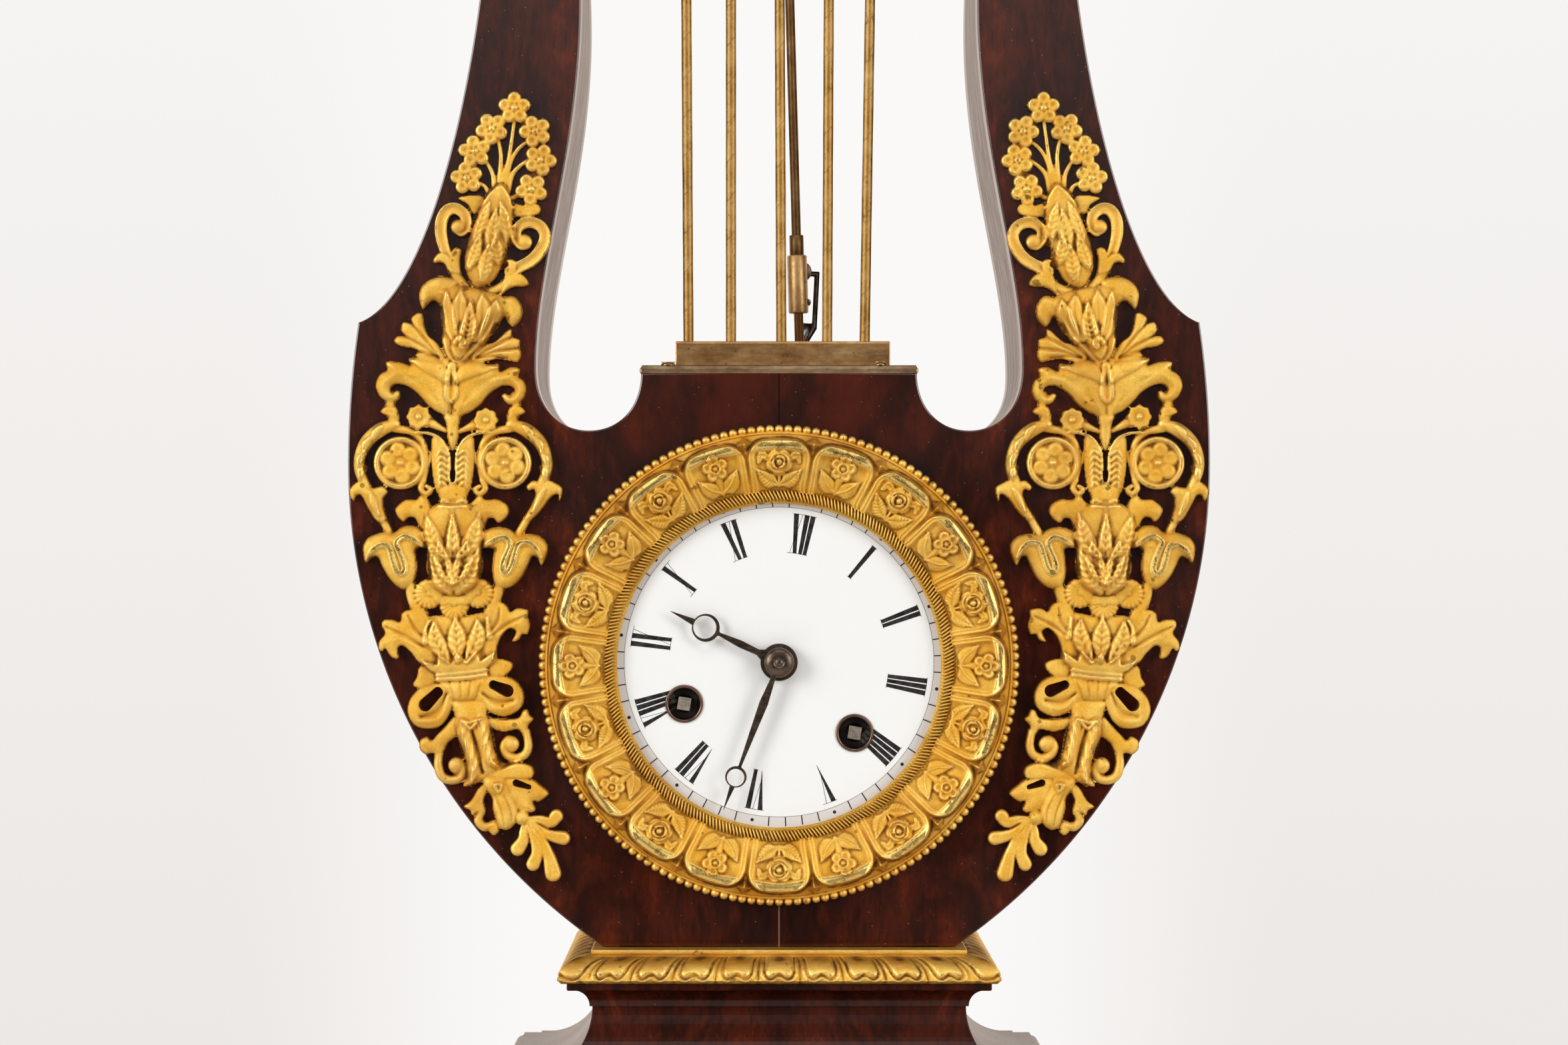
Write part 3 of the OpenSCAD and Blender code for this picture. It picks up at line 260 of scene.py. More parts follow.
# Materials
class Nodes:
    """Short way to write node trees: every call adds a node and gives back its output."""
    def __init__(self, tree):
        self.tree = tree

    def add(self, kind, output=0, inputs=None, **settings):
        node = self.tree.nodes.new(kind)
        for key, value in settings.items():
            setattr(node, key, value)
        for key, value in (inputs or {}).items():
            self.feed(node.inputs[key], value)
        return node.outputs[output]

    def feed(self, socket, value):
        if isinstance(value, bpy.types.NodeSocket):
            self.tree.links.new(value, socket)
        else:
            socket.default_value = value

    def math(self, op, a, b=0.0, clamp=False):
        return self.add("ShaderNodeMath", operation=op, use_clamp=clamp, inputs={0: a, 1: b})

    def times(self, a, b, clamp=False):
        return self.math("MULTIPLY", a, b, clamp)

    def xyz(self, vector):
        node = self.tree.nodes.new("ShaderNodeSeparateXYZ")
        self.feed(node.inputs[0], vector)
        return node.outputs

    def noise(self, where, scale, detail=3.0, rough=0.55, warp=0.0):
        return self.add("ShaderNodeTexNoise", inputs={"Vector": where, "Scale": scale, "Detail": detail,
            "Roughness": rough, "Distortion": warp})

    def between(self, value, low, high, to_low=0.0, to_high=1.0):
        return self.add("ShaderNodeMapRange", interpolation_type="SMOOTHSTEP",
            inputs={0: value, 1: low, 2: high, 3: to_low, 4: to_high})

    def mix(self, f, a, b, blend="MIX"):
        return self.add("ShaderNodeMix", 2, {0: f, 6: a, 7: b}, data_type="RGBA", blend_type=blend)

    def ramp(self, value, stops):
        node = self.tree.nodes.new("ShaderNodeValToRGB")
        ramp = node.color_ramp
        while len(ramp.elements) < len(stops):
            ramp.elements.new(0.5)
        for element, (place, colour) in zip(ramp.elements, stops):
            element.position = place
            element.color = colour
        self.feed(node.inputs[0], value)
        return node.outputs[0]

    def stretch(self, where, scale, turn=(0, 0, 0)):
        return self.add("ShaderNodeMapping", inputs={"Vector": where, "Scale": scale, "Rotation": turn})

    def attribute(self, name):
        return self.add("ShaderNodeAttribute", 2, attribute_name=name)


def srgb(r, g, b):
    """Screen colour, 0 to 255, as a linear colour."""
    def lin(c):
        c /= 255
        return c / 12.92 if c <= 0.04045 else ((c + 0.055) / 1.055) ** 2.4
    return (lin(r), lin(g), lin(b), 1.0)


def node_group(name, inputs, outputs, build):
    """A shared shader group; build gets the nodes, a dict of inputs, and returns a dict of outputs."""
    tree = bpy.data.node_groups.new(name, "ShaderNodeTree")
    for key, kind, value in inputs:
        socket = tree.interface.new_socket(key, in_out="INPUT", socket_type=kind)
        if value is not None:
            socket.default_value = value
    for key, kind in outputs:
        tree.interface.new_socket(key, in_out="OUTPUT", socket_type=kind)
    n = Nodes(tree)
    start = tree.nodes.new("NodeGroupInput")
    end = tree.nodes.new("NodeGroupOutput")
    result = build(n, {key: start.outputs[key] for key, kind, value in inputs})
    for key, socket in result.items():
        tree.links.new(socket, end.inputs[key])
    return tree


def group_use(n, tree, **values):
    """Adds a shared group with its inputs set, and gives back its outputs."""
    node = n.tree.nodes.new("ShaderNodeGroup")
    node.node_tree = tree
    for key, value in values.items():
        n.feed(node.inputs[key.replace("_", " ")], value)
    return node.outputs


def material(name, build, **constants):
    """A material from a Principled shader. build returns what to link into it by socket name."""
    mat = bpy.data.materials.new(name)
    mat.use_nodes = True
    tree = mat.node_tree
    shader = tree.nodes["Principled BSDF"]
    n = Nodes(tree)
    for key, value in constants.items():
        shader.inputs[key.replace("_", " ")].default_value = value
    result = build(n)
    height = result.pop("Height", None)
    if height is not None:
        bump = tree.nodes.new("ShaderNodeBump")
        bump.inputs["Distance"].default_value = result.pop("Depth")
        bump.inputs["Strength"].default_value = 1.0
        tree.links.new(height, bump.inputs["Height"])
        tree.links.new(bump.outputs[0], shader.inputs["Normal"])
    for key, socket in result.items():
        n.feed(shader.inputs[key], socket)
    return mat


def object_coords(n):
    return n.add("ShaderNodeTexCoord", 3)


def specks_build(n, i):
    """Small scattered spots: 1 in a spot, 0 elsewhere."""
    cells = n.tree.nodes.new("ShaderNodeTexVoronoi")
    n.feed(cells.inputs["Vector"], i["Vector"])
    n.feed(cells.inputs["Scale"], i["Scale"])
    size = n.times(n.add("ShaderNodeSeparateColor", 0, inputs={0: cells.outputs["Color"]}), i["Size"])
    spot = n.math("LESS_THAN", cells.outputs["Distance"], size)
    chosen = n.math("LESS_THAN", n.add("ShaderNodeSeparateColor", 1, inputs={0: cells.outputs["Color"]}),
        i["Share"])
    return {"Mask": n.times(spot, chosen)}


SPECKS = node_group("specks", [("Vector", "NodeSocketVector", None), ("Scale", "NodeSocketFloat", 300.0),
    ("Size", "NodeSocketFloat", 0.2), ("Share", "NodeSocketFloat", 0.2)],
    [("Mask", "NodeSocketFloat")], specks_build)


def flame_build(n, i):
    """Figured mahogany: bands that sway up the board, fine pores along the grain."""
    x, y, z = n.xyz(i["Vector"])
    matched = n.add("ShaderNodeCombineXYZ", inputs={0: n.math("ABSOLUTE", x), 1: y, 2: z})
    wide = n.noise(n.stretch(matched, (9.0, 9.0, 3.2)), 1.0, 4.0, 0.55, 0.6)
    stripe = n.noise(n.stretch(matched, (70.0, 70.0, 3.0)), 1.0, 3.0, 0.6, 0.4)
    flame = n.noise(n.stretch(matched, (44.0, 44.0, 22.0), (0.0, 0.8, 0.0)), 1.0, 5.0, 0.6, 1.6)
    grain = n.noise(n.stretch(matched, (620.0, 620.0, 150.0)), 1.0, 3.0, 0.65)
    pores = n.noise(n.stretch(matched, (1100.0, 1100.0, 160.0)), 1.0, 2.0, 0.5)
    broad = n.math("ADD", n.times(wide, 0.34), n.times(flame, 0.46))
    tone = n.math("ADD", broad, n.math("ADD", n.times(stripe, 0.04), n.times(grain, 0.16)))
    return {"Tone": n.between(tone, 0.34, 0.66), "Pores": n.between(pores, 0.58, 0.74)}


FLAME = node_group("flame", [("Vector", "NodeSocketVector", None)], [("Tone", "NodeSocketFloat"),
    ("Pores", "NodeSocketFloat")], flame_build)


def mahogany_build(n):
    where = object_coords(n)
    wood = group_use(n, FLAME, Vector=where)
    colour = n.ramp(wood["Tone"], [(0.0, srgb(24, 8, 5)), (0.45, srgb(46, 16, 8)),
        (0.8, srgb(70, 25, 11)), (1.0, srgb(98, 38, 16))])
    colour = n.mix(n.times(wood["Pores"], 0.55), colour, srgb(14, 6, 5))
    # Pale dusty specks on the wood; here they carry no painted sheen.
    dust_and_sheen = group_use(n, SPECKS, Vector=where, Scale=1000.0, Size=0.2, Share=0.03)["Mask"]
    fine = n.noise(where, 60.0, 5.0, 0.6)
    colour = n.mix(n.times(dust_and_sheen, 0.4), colour, srgb(140, 112, 100))
    smear = n.noise(n.stretch(where, (14.0, 14.0, 9.0)), 1.0, 3.0)
    rough = n.math("ADD", n.between(smear, 0.3, 0.7, 0.16, 0.27), n.math("ADD", n.times(dust_and_sheen, 0.3),
        n.times(wood["Pores"], 0.06)))
    height = n.math("SUBTRACT", n.times(fine, 0.25), n.times(wood["Pores"], 0.5))
    return {"Base Color": colour, "Roughness": rough, "Height": height, "Depth": 0.02 * MM}


def front_build(n):
    """The same wood, redder on the neck, with the joint of the halves: dark above, dusty at the foot."""
    result = mahogany_build(n)
    where = object_coords(n)
    x, _, z = n.xyz(where)
    from_middle = n.math("ABSOLUTE", x)
    joint = n.math("LESS_THAN", from_middle, 0.16 * MM)
    tone = n.mix(n.between(z, 120 * MM, 200 * MM), srgb(168, 138, 112), srgb(10, 5, 4))
    above = n.between(z, (Z_DIAL + 50.0) * MM, (Z_DIAL + 76.0) * MM)
    neck = n.times(above, n.between(from_middle, 34 * MM, 56 * MM, 1.0, 0.0))
    figure = n.noise(n.stretch(where, (60.0, 60.0, 26.0), (0.0, 0.7, 0.0)), 1.0, 5.0, 0.65)
    warmth = n.times(neck, n.between(figure, 0.38, 0.66, 0.02, 0.42))
    colour = n.mix(warmth, result["Base Color"], srgb(98, 34, 13))
    result["Base Color"] = n.mix(n.times(joint, 0.9), colour, tone)
    return result


MAHOGANY = material("mahogany", front_build, IOR=1.5, Coat_Weight=0.35, Coat_Roughness=0.1)


def side_build(n):
    """The sides of the arms: the same wood with the grain standing open along them, and pale warm streaks in
    it, part dusty grain, part painted sheen.
    """
    result = mahogany_build(n)
    streak = n.noise(n.stretch(object_coords(n), (500.0, 600.0, 22.0)), 1.0, 5.0, 0.75)
    # Pale warm colour in the grain streaks: partly dusty grain, partly a painted warm sheen of the grazing
    # light on these walls.
    dust_and_sheen = n.between(streak, 0.4, 0.7, 0.05, 0.22)
    result["Base Color"] = n.mix(dust_and_sheen, result["Base Color"], srgb(176, 118, 90))
    result["Roughness"] = n.between(streak, 0.35, 0.65, 0.21, 0.38)
    result["Height"] = streak
    return result


SIDE_WOOD = material("side_wood", side_build, IOR=1.5)
FOOT_WOOD = material("foot_wood", mahogany_build, IOR=1.5, Specular_IOR_Level=0.25)


def gilt_build(n):
    """Mercury gilding: matt and grainy, burnished on the raised edges with a painted highlight and painted
    dark reflections; painted deep orange shade with some grime in the hollows.
    """
    where = object_coords(n)
    cavity = n.attribute("cavity")
    shine = n.attribute("shine")
    grain = n.noise(where, 2600.0, 4.0, 0.8)
    cloud = n.noise(where, 95.0, 4.0, 0.6)
    # A random lighter and darker tone of the gilding; no shading here.
    wear_and_shading = n.between(cloud, 0.38, 0.66)
    colour = n.mix(wear_and_shading, srgb(238, 184, 68), srgb(252, 212, 104))
    patina = n.between(n.noise(where, 40.0, 5.0, 0.65), 0.46, 0.68, 0.0, 0.55)
    colour = n.mix(patina, colour, srgb(198, 142, 62))
    colour = n.mix(n.between(grain, 0.34, 0.6, 0.45, 0.0), colour, srgb(190, 126, 30))
    # Painted highlight: the burnished raised parts are painted paler; the burnish itself is the lower
    # roughness further down.
    colour = n.mix(n.times(shine, 0.6), colour, srgb(252, 222, 142))
    # Painted shade in the hollows: deep orange as gold lights its own hollows, dark brown where deepest,
    # with some grime mixed in.
    hollow_shade_and_dirt = n.times(cavity, n.between(n.noise(where, 210.0, 3.0), 0.25, 0.6, 0.5, 1.0), True)
    colour = n.mix(hollow_shade_and_dirt, colour, srgb(170, 108, 26))
    colour = n.mix(n.between(hollow_shade_and_dirt, 0.55, 1.0, 0.0, 0.8), colour, srgb(92, 66, 38))
    # Painted dark reflections on the burnished parts, with some wear in them.
    wear_and_dark_reflection = n.times(n.between(shine, 0.55, 0.9), n.between(n.noise(where, 420.0, 4.0, 0.7), 0.52, 0.66))
    colour = n.mix(n.times(wear_and_dark_reflection, 0.7), colour, srgb(128, 90, 46))
    spots = group_use(n, SPECKS, Vector=where, Scale=330.0, Size=0.3, Share=0.06)["Mask"]
    blot = n.times(n.between(n.noise(where, 150.0, 3.0, 0.7), 0.66, 0.72), 0.7)
    colour = n.mix(n.math("MAXIMUM", n.times(spots, 0.6), blot), colour, srgb(96, 62, 22))
    rough = n.math("SUBTRACT", n.between(grain, 0.2, 0.8, 0.4, 0.6), n.times(shine, 0.22))
    metal = n.math("SUBTRACT", 1.0, n.times(hollow_shade_and_dirt, 0.2))
    height = n.math("ADD", n.times(grain, n.math("SUBTRACT", 1.0, n.times(shine, 0.7))),
        n.times(cloud, 0.8))
    return {"Base Color": colour, "Roughness": rough, "Metallic": metal, "Height": height, "Depth": 0.2 * MM}


GILT = material("gilt_bronze", gilt_build)


def three_tones(n, value, tones, low=0.28):
    """Colours for the low, middle and high parts of a cloud."""
    return n.ramp(value, [(place, srgb(*tone)) for place, tone in zip((low, 0.5, 0.72), tones)])


def brass(name, rough, *tones, metal=1.0):
    """Old brass, cloudy and finely scratched, with small stains."""
    def build(n):
        where = object_coords(n)
        cloud = n.noise(where, 120.0, 5.0, 0.65)
        scratch = n.noise(n.stretch(where, (240.0, 300.0, 900.0)), 1.0, 4.0, 0.7)
        stain = group_use(n, SPECKS, Vector=where, Scale=700.0, Size=0.34, Share=0.12)["Mask"]
        colour = n.mix(n.times(stain, 0.45), three_tones(n, cloud, tones), srgb(62, 44, 28))
        return {"Base Color": colour, "Roughness": n.between(scratch, 0.3, 0.7, *rough),
            "Height": n.math("ADD", n.times(scratch, 0.6), cloud), "Depth": 0.03 * MM}
    return material(name, build, Metallic=metal)


OLD_BRASS = brass("old_brass", (0.3, 0.46), (104, 76, 46), (146, 112, 70), (182, 146, 96))
BROWN_BRASS = brass("brown_brass", (0.3, 0.46), (128, 100, 74), (178, 148, 114), (210, 182, 146))
MOVEMENT_BRASS = brass("movement_brass", (0.24, 0.36), (168, 130, 70), (190, 150, 84), (206, 170, 104))
EYELET_BRASS = brass("eyelet_brass", (0.3, 0.42), (84, 62, 50), (118, 94, 80), (150, 124, 108))
# Near-black: painted shade for the deep inside of the winding holes.
SHADED_WELL_BRASS = brass("shaded_well_brass", (0.5, 0.7), (10, 8, 7), (18, 14, 11), (30, 23, 18), metal=0.4)
BLOCK_BRASS = brass("block_brass", (0.38, 0.52), (140, 100, 60), (178, 136, 88), (208, 170, 118))
ROD_BRASS = brass("rod_brass", (0.42, 0.56), (104, 74, 44), (140, 106, 66), (176, 142, 94))
SLEEVE_BRASS = brass("sleeve_brass", (0.4, 0.54), (176, 136, 84), (218, 180, 124), (238, 208, 158))
BELL_METAL = brass("bell_metal", (0.16, 0.28), (150, 116, 66), (176, 142, 88), (196, 166, 112))


def string_build(n):
    """Brass wound wire: the winding is a fine helix in the height, its groove darkened with painted shade,
    with dark marks in it.
    """
    where = object_coords(n)
    across = n.attribute("turn")
    up = n.attribute("run")
    wind = n.math("FRACT", n.math("ADD", n.times(up, 0.085), across))
    seam = n.between(n.math("ABSOLUTE", n.math("SUBTRACT", wind, 0.5)), 0.455, 0.5)
    cloud = n.noise(where, 130.0, 4.0, 0.7)
    pits = n.noise(where, 1300.0, 4.0, 0.75)
    colour = n.ramp(cloud, [(0.3, srgb(146, 108, 54)), (0.52, srgb(182, 144, 84)),
        (0.75, srgb(210, 176, 116))])
    marks = n.between(n.noise(n.stretch(where, (900.0, 900.0, 420.0)), 1.0, 3.0, 0.7), 0.6, 0.7)
    colour = n.mix(n.times(marks, 0.6), colour, srgb(84, 58, 32))
    # Painted shade in the groove between the turns of the winding.
    colour = n.mix(n.times(seam, 0.3), colour, srgb(92, 64, 36))
    return {"Base Color": colour, "Roughness": n.between(cloud, 0.3, 0.7, 0.46, 0.6),
        "Height": n.math("SUBTRACT", pits, n.times(seam, 0.3)), "Depth": 0.1 * MM}


STRING_BRASS = material("string_brass", string_build, Metallic=1.0)


def enamel_build(n):
    where = object_coords(n)
    cloud = n.noise(where, 22.0, 3.0)
    colour = n.mix(cloud, srgb(240, 242, 242), srgb(245, 247, 247))
    x, _, z = n.xyz(where)
    rise = n.math("SUBTRACT", z, Z_DIAL * MM)
    radius = n.math("SQRT", n.math("ADD", n.math("POWER", x, 2.0), n.math("POWER", rise, 2.0)))
    # Painted shade of the bezel on the band outside the minute track.
    colour = n.mix(n.between(radius, 46.3 * MM, 46.5 * MM), colour, srgb(224, 221, 219))
    rust = group_use(n, SPECKS, Vector=where, Scale=62.0, Size=0.13, Share=0.16)["Mask"]
    stain = n.between(n.noise(where, 300.0, 3.0), 0.45, 0.7)
    colour = n.mix(n.times(rust, n.times(stain, 0.5)), colour, srgb(205, 160, 120))
    return {"Base Color": colour, "Roughness": n.between(cloud, 0.3, 0.7, 0.16, 0.24), "Height": cloud,
        "Depth": 0.1 * MM}


ENAMEL = material("enamel", enamel_build, Coat_Weight=0.3, Coat_Roughness=0.08)


def ink_build(n):
    where = object_coords(n)
    fade = n.between(n.noise(where, 900.0, 3.0, 0.7), 0.35, 0.8)
    return {"Base Color": n.mix(fade, srgb(22, 21, 21), srgb(62, 58, 54)),
        "Roughness": n.between(fade, 0, 1, 0.3, 0.5)}


INK = material("dial_ink", ink_build)


def steel(name, rough, *tones):
    """Old steel, cloudy and drawn along X."""
    def build(n):
        where = object_coords(n)
        cloud = n.noise(where, 260.0, 5.0, 0.65)
        line = n.noise(n.stretch(where, (300.0, 2000.0, 2000.0)), 1.0, 2.0)
        return {"Base Color": three_tones(n, cloud, tones, 0.3),
            "Roughness": n.between(line, 0.3, 0.7, rough, rough + 0.16),
            "Height": n.math("ADD", cloud, line), "Depth": 0.03 * MM}
    return material(name, build, Metallic=1.0)


HAND_STEEL = steel("hand_steel", 0.3, (74, 62, 54), (98, 84, 74), (122, 106, 94))
SQUARE_STEEL = steel("square_steel", 0.4, (120, 110, 100), (172, 160, 146), (208, 196, 182))
CRUTCH_STEEL = steel("crutch_steel", 0.26, (66, 60, 56), (96, 88, 82), (128, 120, 112))


def plain_gilt_build(n):
    where = object_coords(n)
    grain = n.noise(where, 1800.0, 2.0, 0.7)
    cloud = n.noise(where, 60.0, 4.0, 0.6)
    colour = n.ramp(cloud, [(0.3, srgb(196, 142, 58)), (0.5, srgb(232, 178, 82)),
        (0.75, srgb(246, 204, 118))])
    return {"Base Color": colour, "Roughness": n.between(cloud, 0.3, 0.7, 0.22, 0.36), "Height": grain,
        "Depth": 0.02 * MM}


PLAIN_GILT = material("plain_gilt", plain_gilt_build, Metallic=1.0)


def paint(node, finish):
    """Gives a built node that stays in view its material."""
    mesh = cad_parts[node].data
    mesh.materials.clear()
    mesh.materials.append(finish)


# Relief
def step_up(value, low, high):
    """Rises softly from 0 at low to 1 at high."""
    t = np.clip((value - low) / (high - low), 0, 1)
    return t * t * (3 - 2 * t)


def hump(value, place, width):
    """1 at a place, falling softly to 0 on both sides of it."""
    return np.exp(-((value - place) / width) ** 2)


def bend(a, b, c, d, t):
    """A soft curve from b to c, with a before them and d after them."""
    curve = 2 * a - 5 * b + 4 * c - d
    twist = 3 * b - a - 3 * c + d
    return 0.5 * (2 * b + (c - a) * t + curve * t ** 2 + twist * t ** 3)


def through(points):
    """A smooth line through the given points."""
    p = np.array(points, float)
    if len(p) == 2:
        return p[0] + (p[1] - p[0]) * np.linspace(0, 1, 5)[:, None]
    ends = np.vstack([2 * p[0] - p[1], p, 2 * p[-1] - p[-2]])
    spans = len(p) - 1
    s = np.linspace(0, spans, 40)
    i = np.minimum(s.astype(int), spans - 1)
    t = (s - i)[:, None]
    return bend(ends[i], ends[i + 1], ends[i + 2], ends[i + 3], t)


def around(points):
    """A smooth closed line through the given points."""
    a, b, c, d = (np.roll(points, k, axis=0)[:, None] for k in (1, 0, -1, -2))
    t = np.linspace(0, 1, 4, endpoint=False)[None, :, None]
    return bend(a, b, c, d, t).reshape(-1, 2)


def within(line, x, y):
    """Tells which points lie inside a closed line."""
    inside = np.zeros(x.shape, bool)
    for (ax, ay), (bx, by) in zip(line[:-1], line[1:]):
        crosses = (ay > y) != (by > y)
        inside ^= crosses & (x < ax + (bx - ax) * (y - ay) / (by - ay + 1e-12))
    return inside


def along(values, t):
    """Reads a short list of sizes at t from 0 to 1, with soft bends."""
    values = np.atleast_1d(np.array(values, float))
    if len(values) == 1:
        return np.full(np.shape(t), values[0])
    s = np.clip(t, 0, 1) * (len(values) - 1)
    i = np.minimum(s.astype(int), len(values) - 2)
    f = s - i
    p = np.concatenate([values[:1], values, values[-1:]])
    a, b, c, d = p[i], p[i + 1], p[i + 2], p[i + 3]
    return np.clip(bend(a, b, c, d, f), np.minimum(b, c), np.maximum(b, c))


class Relief:
    """Raised ornament over a field of points: height, distance inside the edge, and polish, which the gilt
    shows as burnish and a painted highlight.
    """
    MARGIN = 0.6

    def __init__(self, x, y):
        self.x = x
        self.y = y
        self.height = np.zeros(x.shape)
        self.rim = np.zeros(x.shape)
        self.edge = np.full(x.shape, -9.0)
        self.shine = np.zeros(x.shape)
        self.flip = 1

    def put(self, points):
        """Points as they are drawn: mirrored left to right where flip is -1."""
        return np.array(points, float) * [self.flip, 1]

    def near(self, points, reach):
        low = points.min(axis=0) - reach
        high = points.max(axis=0) + reach
        return np.nonzero((self.x > low[0]) & (self.x < high[0]) & (self.y > low[1]) & (self.y < high[1]))

    def trace(self, points, reach):
        """Distance to a line, place along it and side of it, for the field points near it."""
        cells = self.near(points, reach)
        x = self.x[cells]
        y = self.y[cells]
        best = np.full(x.shape, 1e9)
        t = np.zeros(x.shape)
        side = np.ones(x.shape)
        steps = len(points) - 1
        for i in range(steps):
            a = points[i]
            d = points[i + 1] - a
            s = np.clip(((x - a[0]) * d[0] + (y - a[1]) * d[1]) / (d @ d + 1e-12), 0, 1)
            gap_x = x - a[0] - s * d[0]
            gap_y = y - a[1] - s * d[1]
            gap = gap_x ** 2 + gap_y ** 2
            closer = gap < best
            best[closer] = gap[closer]
            t[closer] = (i + s[closer]) / steps
            side[closer] = np.sign(d[0] * gap_y - d[1] * gap_x)[closer]
        return cells, np.sqrt(best), t, side * self.flip

    def lay(self, cells, edge, z, shine=0.0):
        """Keeps the highest of what was there and the new piece."""
        inside = edge > 0
        higher = inside & (z > self.height[cells])
        index = tuple(c[higher] for c in cells)
        self.height[index] = z[higher]
        self.shine[index] = shine[higher] if np.ndim(shine) else shine
        close = edge > -self.MARGIN
        index = tuple(c[close] for c in cells)
        self.rim[index] = np.maximum(self.rim[index], z[close])
        self.edge[cells] = np.maximum(self.edge[cells], edge)

    def stroke(self, points, width, low=1.2, rise=1.2, kind="round", shine=0.0, ribs=0, smooth=True,
            over=False):
        """A stem, leaf or ribbon along a line. low is its edge height, rise what its middle adds."""
        line = self.put(points)
        if smooth:
            line = through(line)
        half = np.max(np.atleast_1d(width)) / 2
        cells, gap, t, side = self.trace(line, half + self.MARGIN)
        w = np.maximum(along(width, t) / 2, 0.02)
        u = np.clip(gap / w, 0, 1)
        dome = np.sqrt(1 - u ** 2)
        shape = dome
        if kind == "leaf":
            shape = dome * 0.85 + 0.25 * u * dome - 0.3 * hump(u, 0, 0.16)
        elif kind == "cup":
            shape = (0.35 + 0.9 * u ** 2) * np.clip((1 - u) / 0.22, 0, 1) ** 0.6
        elif kind == "flat":
            shape = np.clip((1 - u) / 0.3, 0, 1) ** 0.5
        elif kind == "fold":
            shape = 1 - u
        if ribs:
            slant = t * ribs - 0.9 * u * (1 if kind == "leaf" else side)
            shape = shape + 0.16 * np.cos(2 * math.pi * slant) * dome
        z = along(low, t) + along(rise, t) * shape
        if over:
            z = z + self.height[cells]
        self.lay(cells, w - gap, z, shine)

    def shape(self, points, low=1.4, rise=1.6, soft=2.0, rim=0.0, over=False, shine=0.0, smooth=True):
        """A filled outline with round shoulders. over lays it on what is already there."""
        line = self.put(points)
        if smooth:
            line = around(line)
        line = np.vstack([line, line[:1]])
        cells, gap = self.trace(line, self.MARGIN)[:2]
        inside = within(line, self.x[cells], self.y[cells])
        s = np.clip(gap / soft, 0, 1)
        z = low + rise * np.sqrt(1 - (1 - s) ** 2) + rim * hump(gap, 0.4, 0.36)
        if over:
            z = z + self.height[cells]
        self.lay(cells, np.where(inside, gap, -gap), z, shine)

    def dome(self, center, r, low=1.2, rise=1.2, shine=0.0):
        c = self.put(center)
        cells = self.near(c[None, :], r + self.MARGIN)
        gap = np.hypot(self.x[cells] - c[0], self.y[cells] - c[1])
        z = low + rise * np.sqrt(np.clip(1 - (gap / r) ** 2, 0, 1))
        self.lay(cells, r - gap, z, shine)

    def flower(self, center, r, petals=5, low=1.0, rise=1.1, bead=0.24, turn=90, dish=0.5):
        """Open flower of round dished petals with a bead."""
        for k in range(petals):
            a = math.radians(turn + 360 * k / petals)
            reach = r * math.sin(math.pi / petals) / (1 + math.sin(math.pi / petals)) * 1.12
            c = self.put(np.array(center) + (r - reach) * np.array((math.cos(a), math.sin(a))))
            cells = self.near(c[None, :], reach + self.MARGIN)
            u = np.hypot(self.x[cells] - c[0], self.y[cells] - c[1]) / reach
            round_off = np.sqrt(np.clip(1 - np.clip((u - 0.55) / 0.45, 0, 1) ** 2, 0, 1))
            z = low + rise * round_off * (1 - dish + dish * np.clip(u, 0, 0.7) / 0.7)
            self.lay(cells, (1 - u) * reach, z)
        self.dome(center, 0.5 * r, low, 0.5 * rise)
        self.dome(center, bead * r, low + 0.4 * rise, 0.9 * rise, 0.6)

    def carve(self, points, width, depth):
        """A groove with soft sides."""
        line = through(self.put(points))
        cells, gap, t = self.trace(line, np.max(np.atleast_1d(width)))[:3]
        w = np.maximum(along(width, t) / 2, 0.05)
        self.height[cells] -= depth * np.exp(-(gap / w) ** 2 * 1.4) * (self.edge[cells] > 0)

    def hole(self, points, width):
        """Cuts right through along a line."""
        line = through(self.put(points))
        cells, gap, t = self.trace(line, np.max(np.atleast_1d(width)) + 2)[:3]
        self.edge[cells] = np.minimum(self.edge[cells], gap - along(width, t) / 2)


# Gilt mounts, drawn from the middle of their rosette rings
FLOWERS = [(-18.4, 106.4), (-24.6, 99.4), (-26.2, 90.8), (-23.5, 82), (-11.6, 100.2), (-6.5, 93.4),
    (-4.1, 85.4)]
FLOWER_TURNS = (90, 70, 40, 60, 60, 80, 80)
WEBS = ((0, 1), (1, 2), (2, 3), (0, 4), (4, 5), (5, 6))


def bouquet(r):
    """Seven flowers on thin stems."""
    for a, b in WEBS:
        r.stroke([FLOWERS[a], FLOWERS[b]], 3.4, 0.9, 0.3)
    stems = [[(-14, 82), (-15.4, 87), (-16.8, 92), (-18.4, 103)], [(-15.4, 82), (-16.9, 89.4),
        (-19.4, 94), (-23, 97)], [(-16.2, 80), (-17.8, 86.6), (-21.8, 90.4), (-24, 91)],
        [(-16.8, 79), (-19.6, 80.4), (-23, 81.4)], [(-13.7, 82), (-14.3, 92), (-13.2, 98)],
        [(-12.4, 81), (-12, 86), (-10.2, 89.8), (-8, 91.6)], [(-11, 80), (-9.4, 83), (-6, 84.6)]]
    for stem in stems:
        r.stroke(stem, [1.9, 1.3, 1.2], 0.9, 0.9)
    for place, turn in zip(FLOWERS, FLOWER_TURNS):
        r.flower(place, 5.0, 5, 1.3, 1.5, 0.22, turn)


def volute(r, line, width, knob, size):
    """A dished ribbon that curls round a knob."""
    r.stroke(line, width, 1.7, 1.5, "cup", 0.25)
    r.dome(knob, size, 1.6, 1.9)


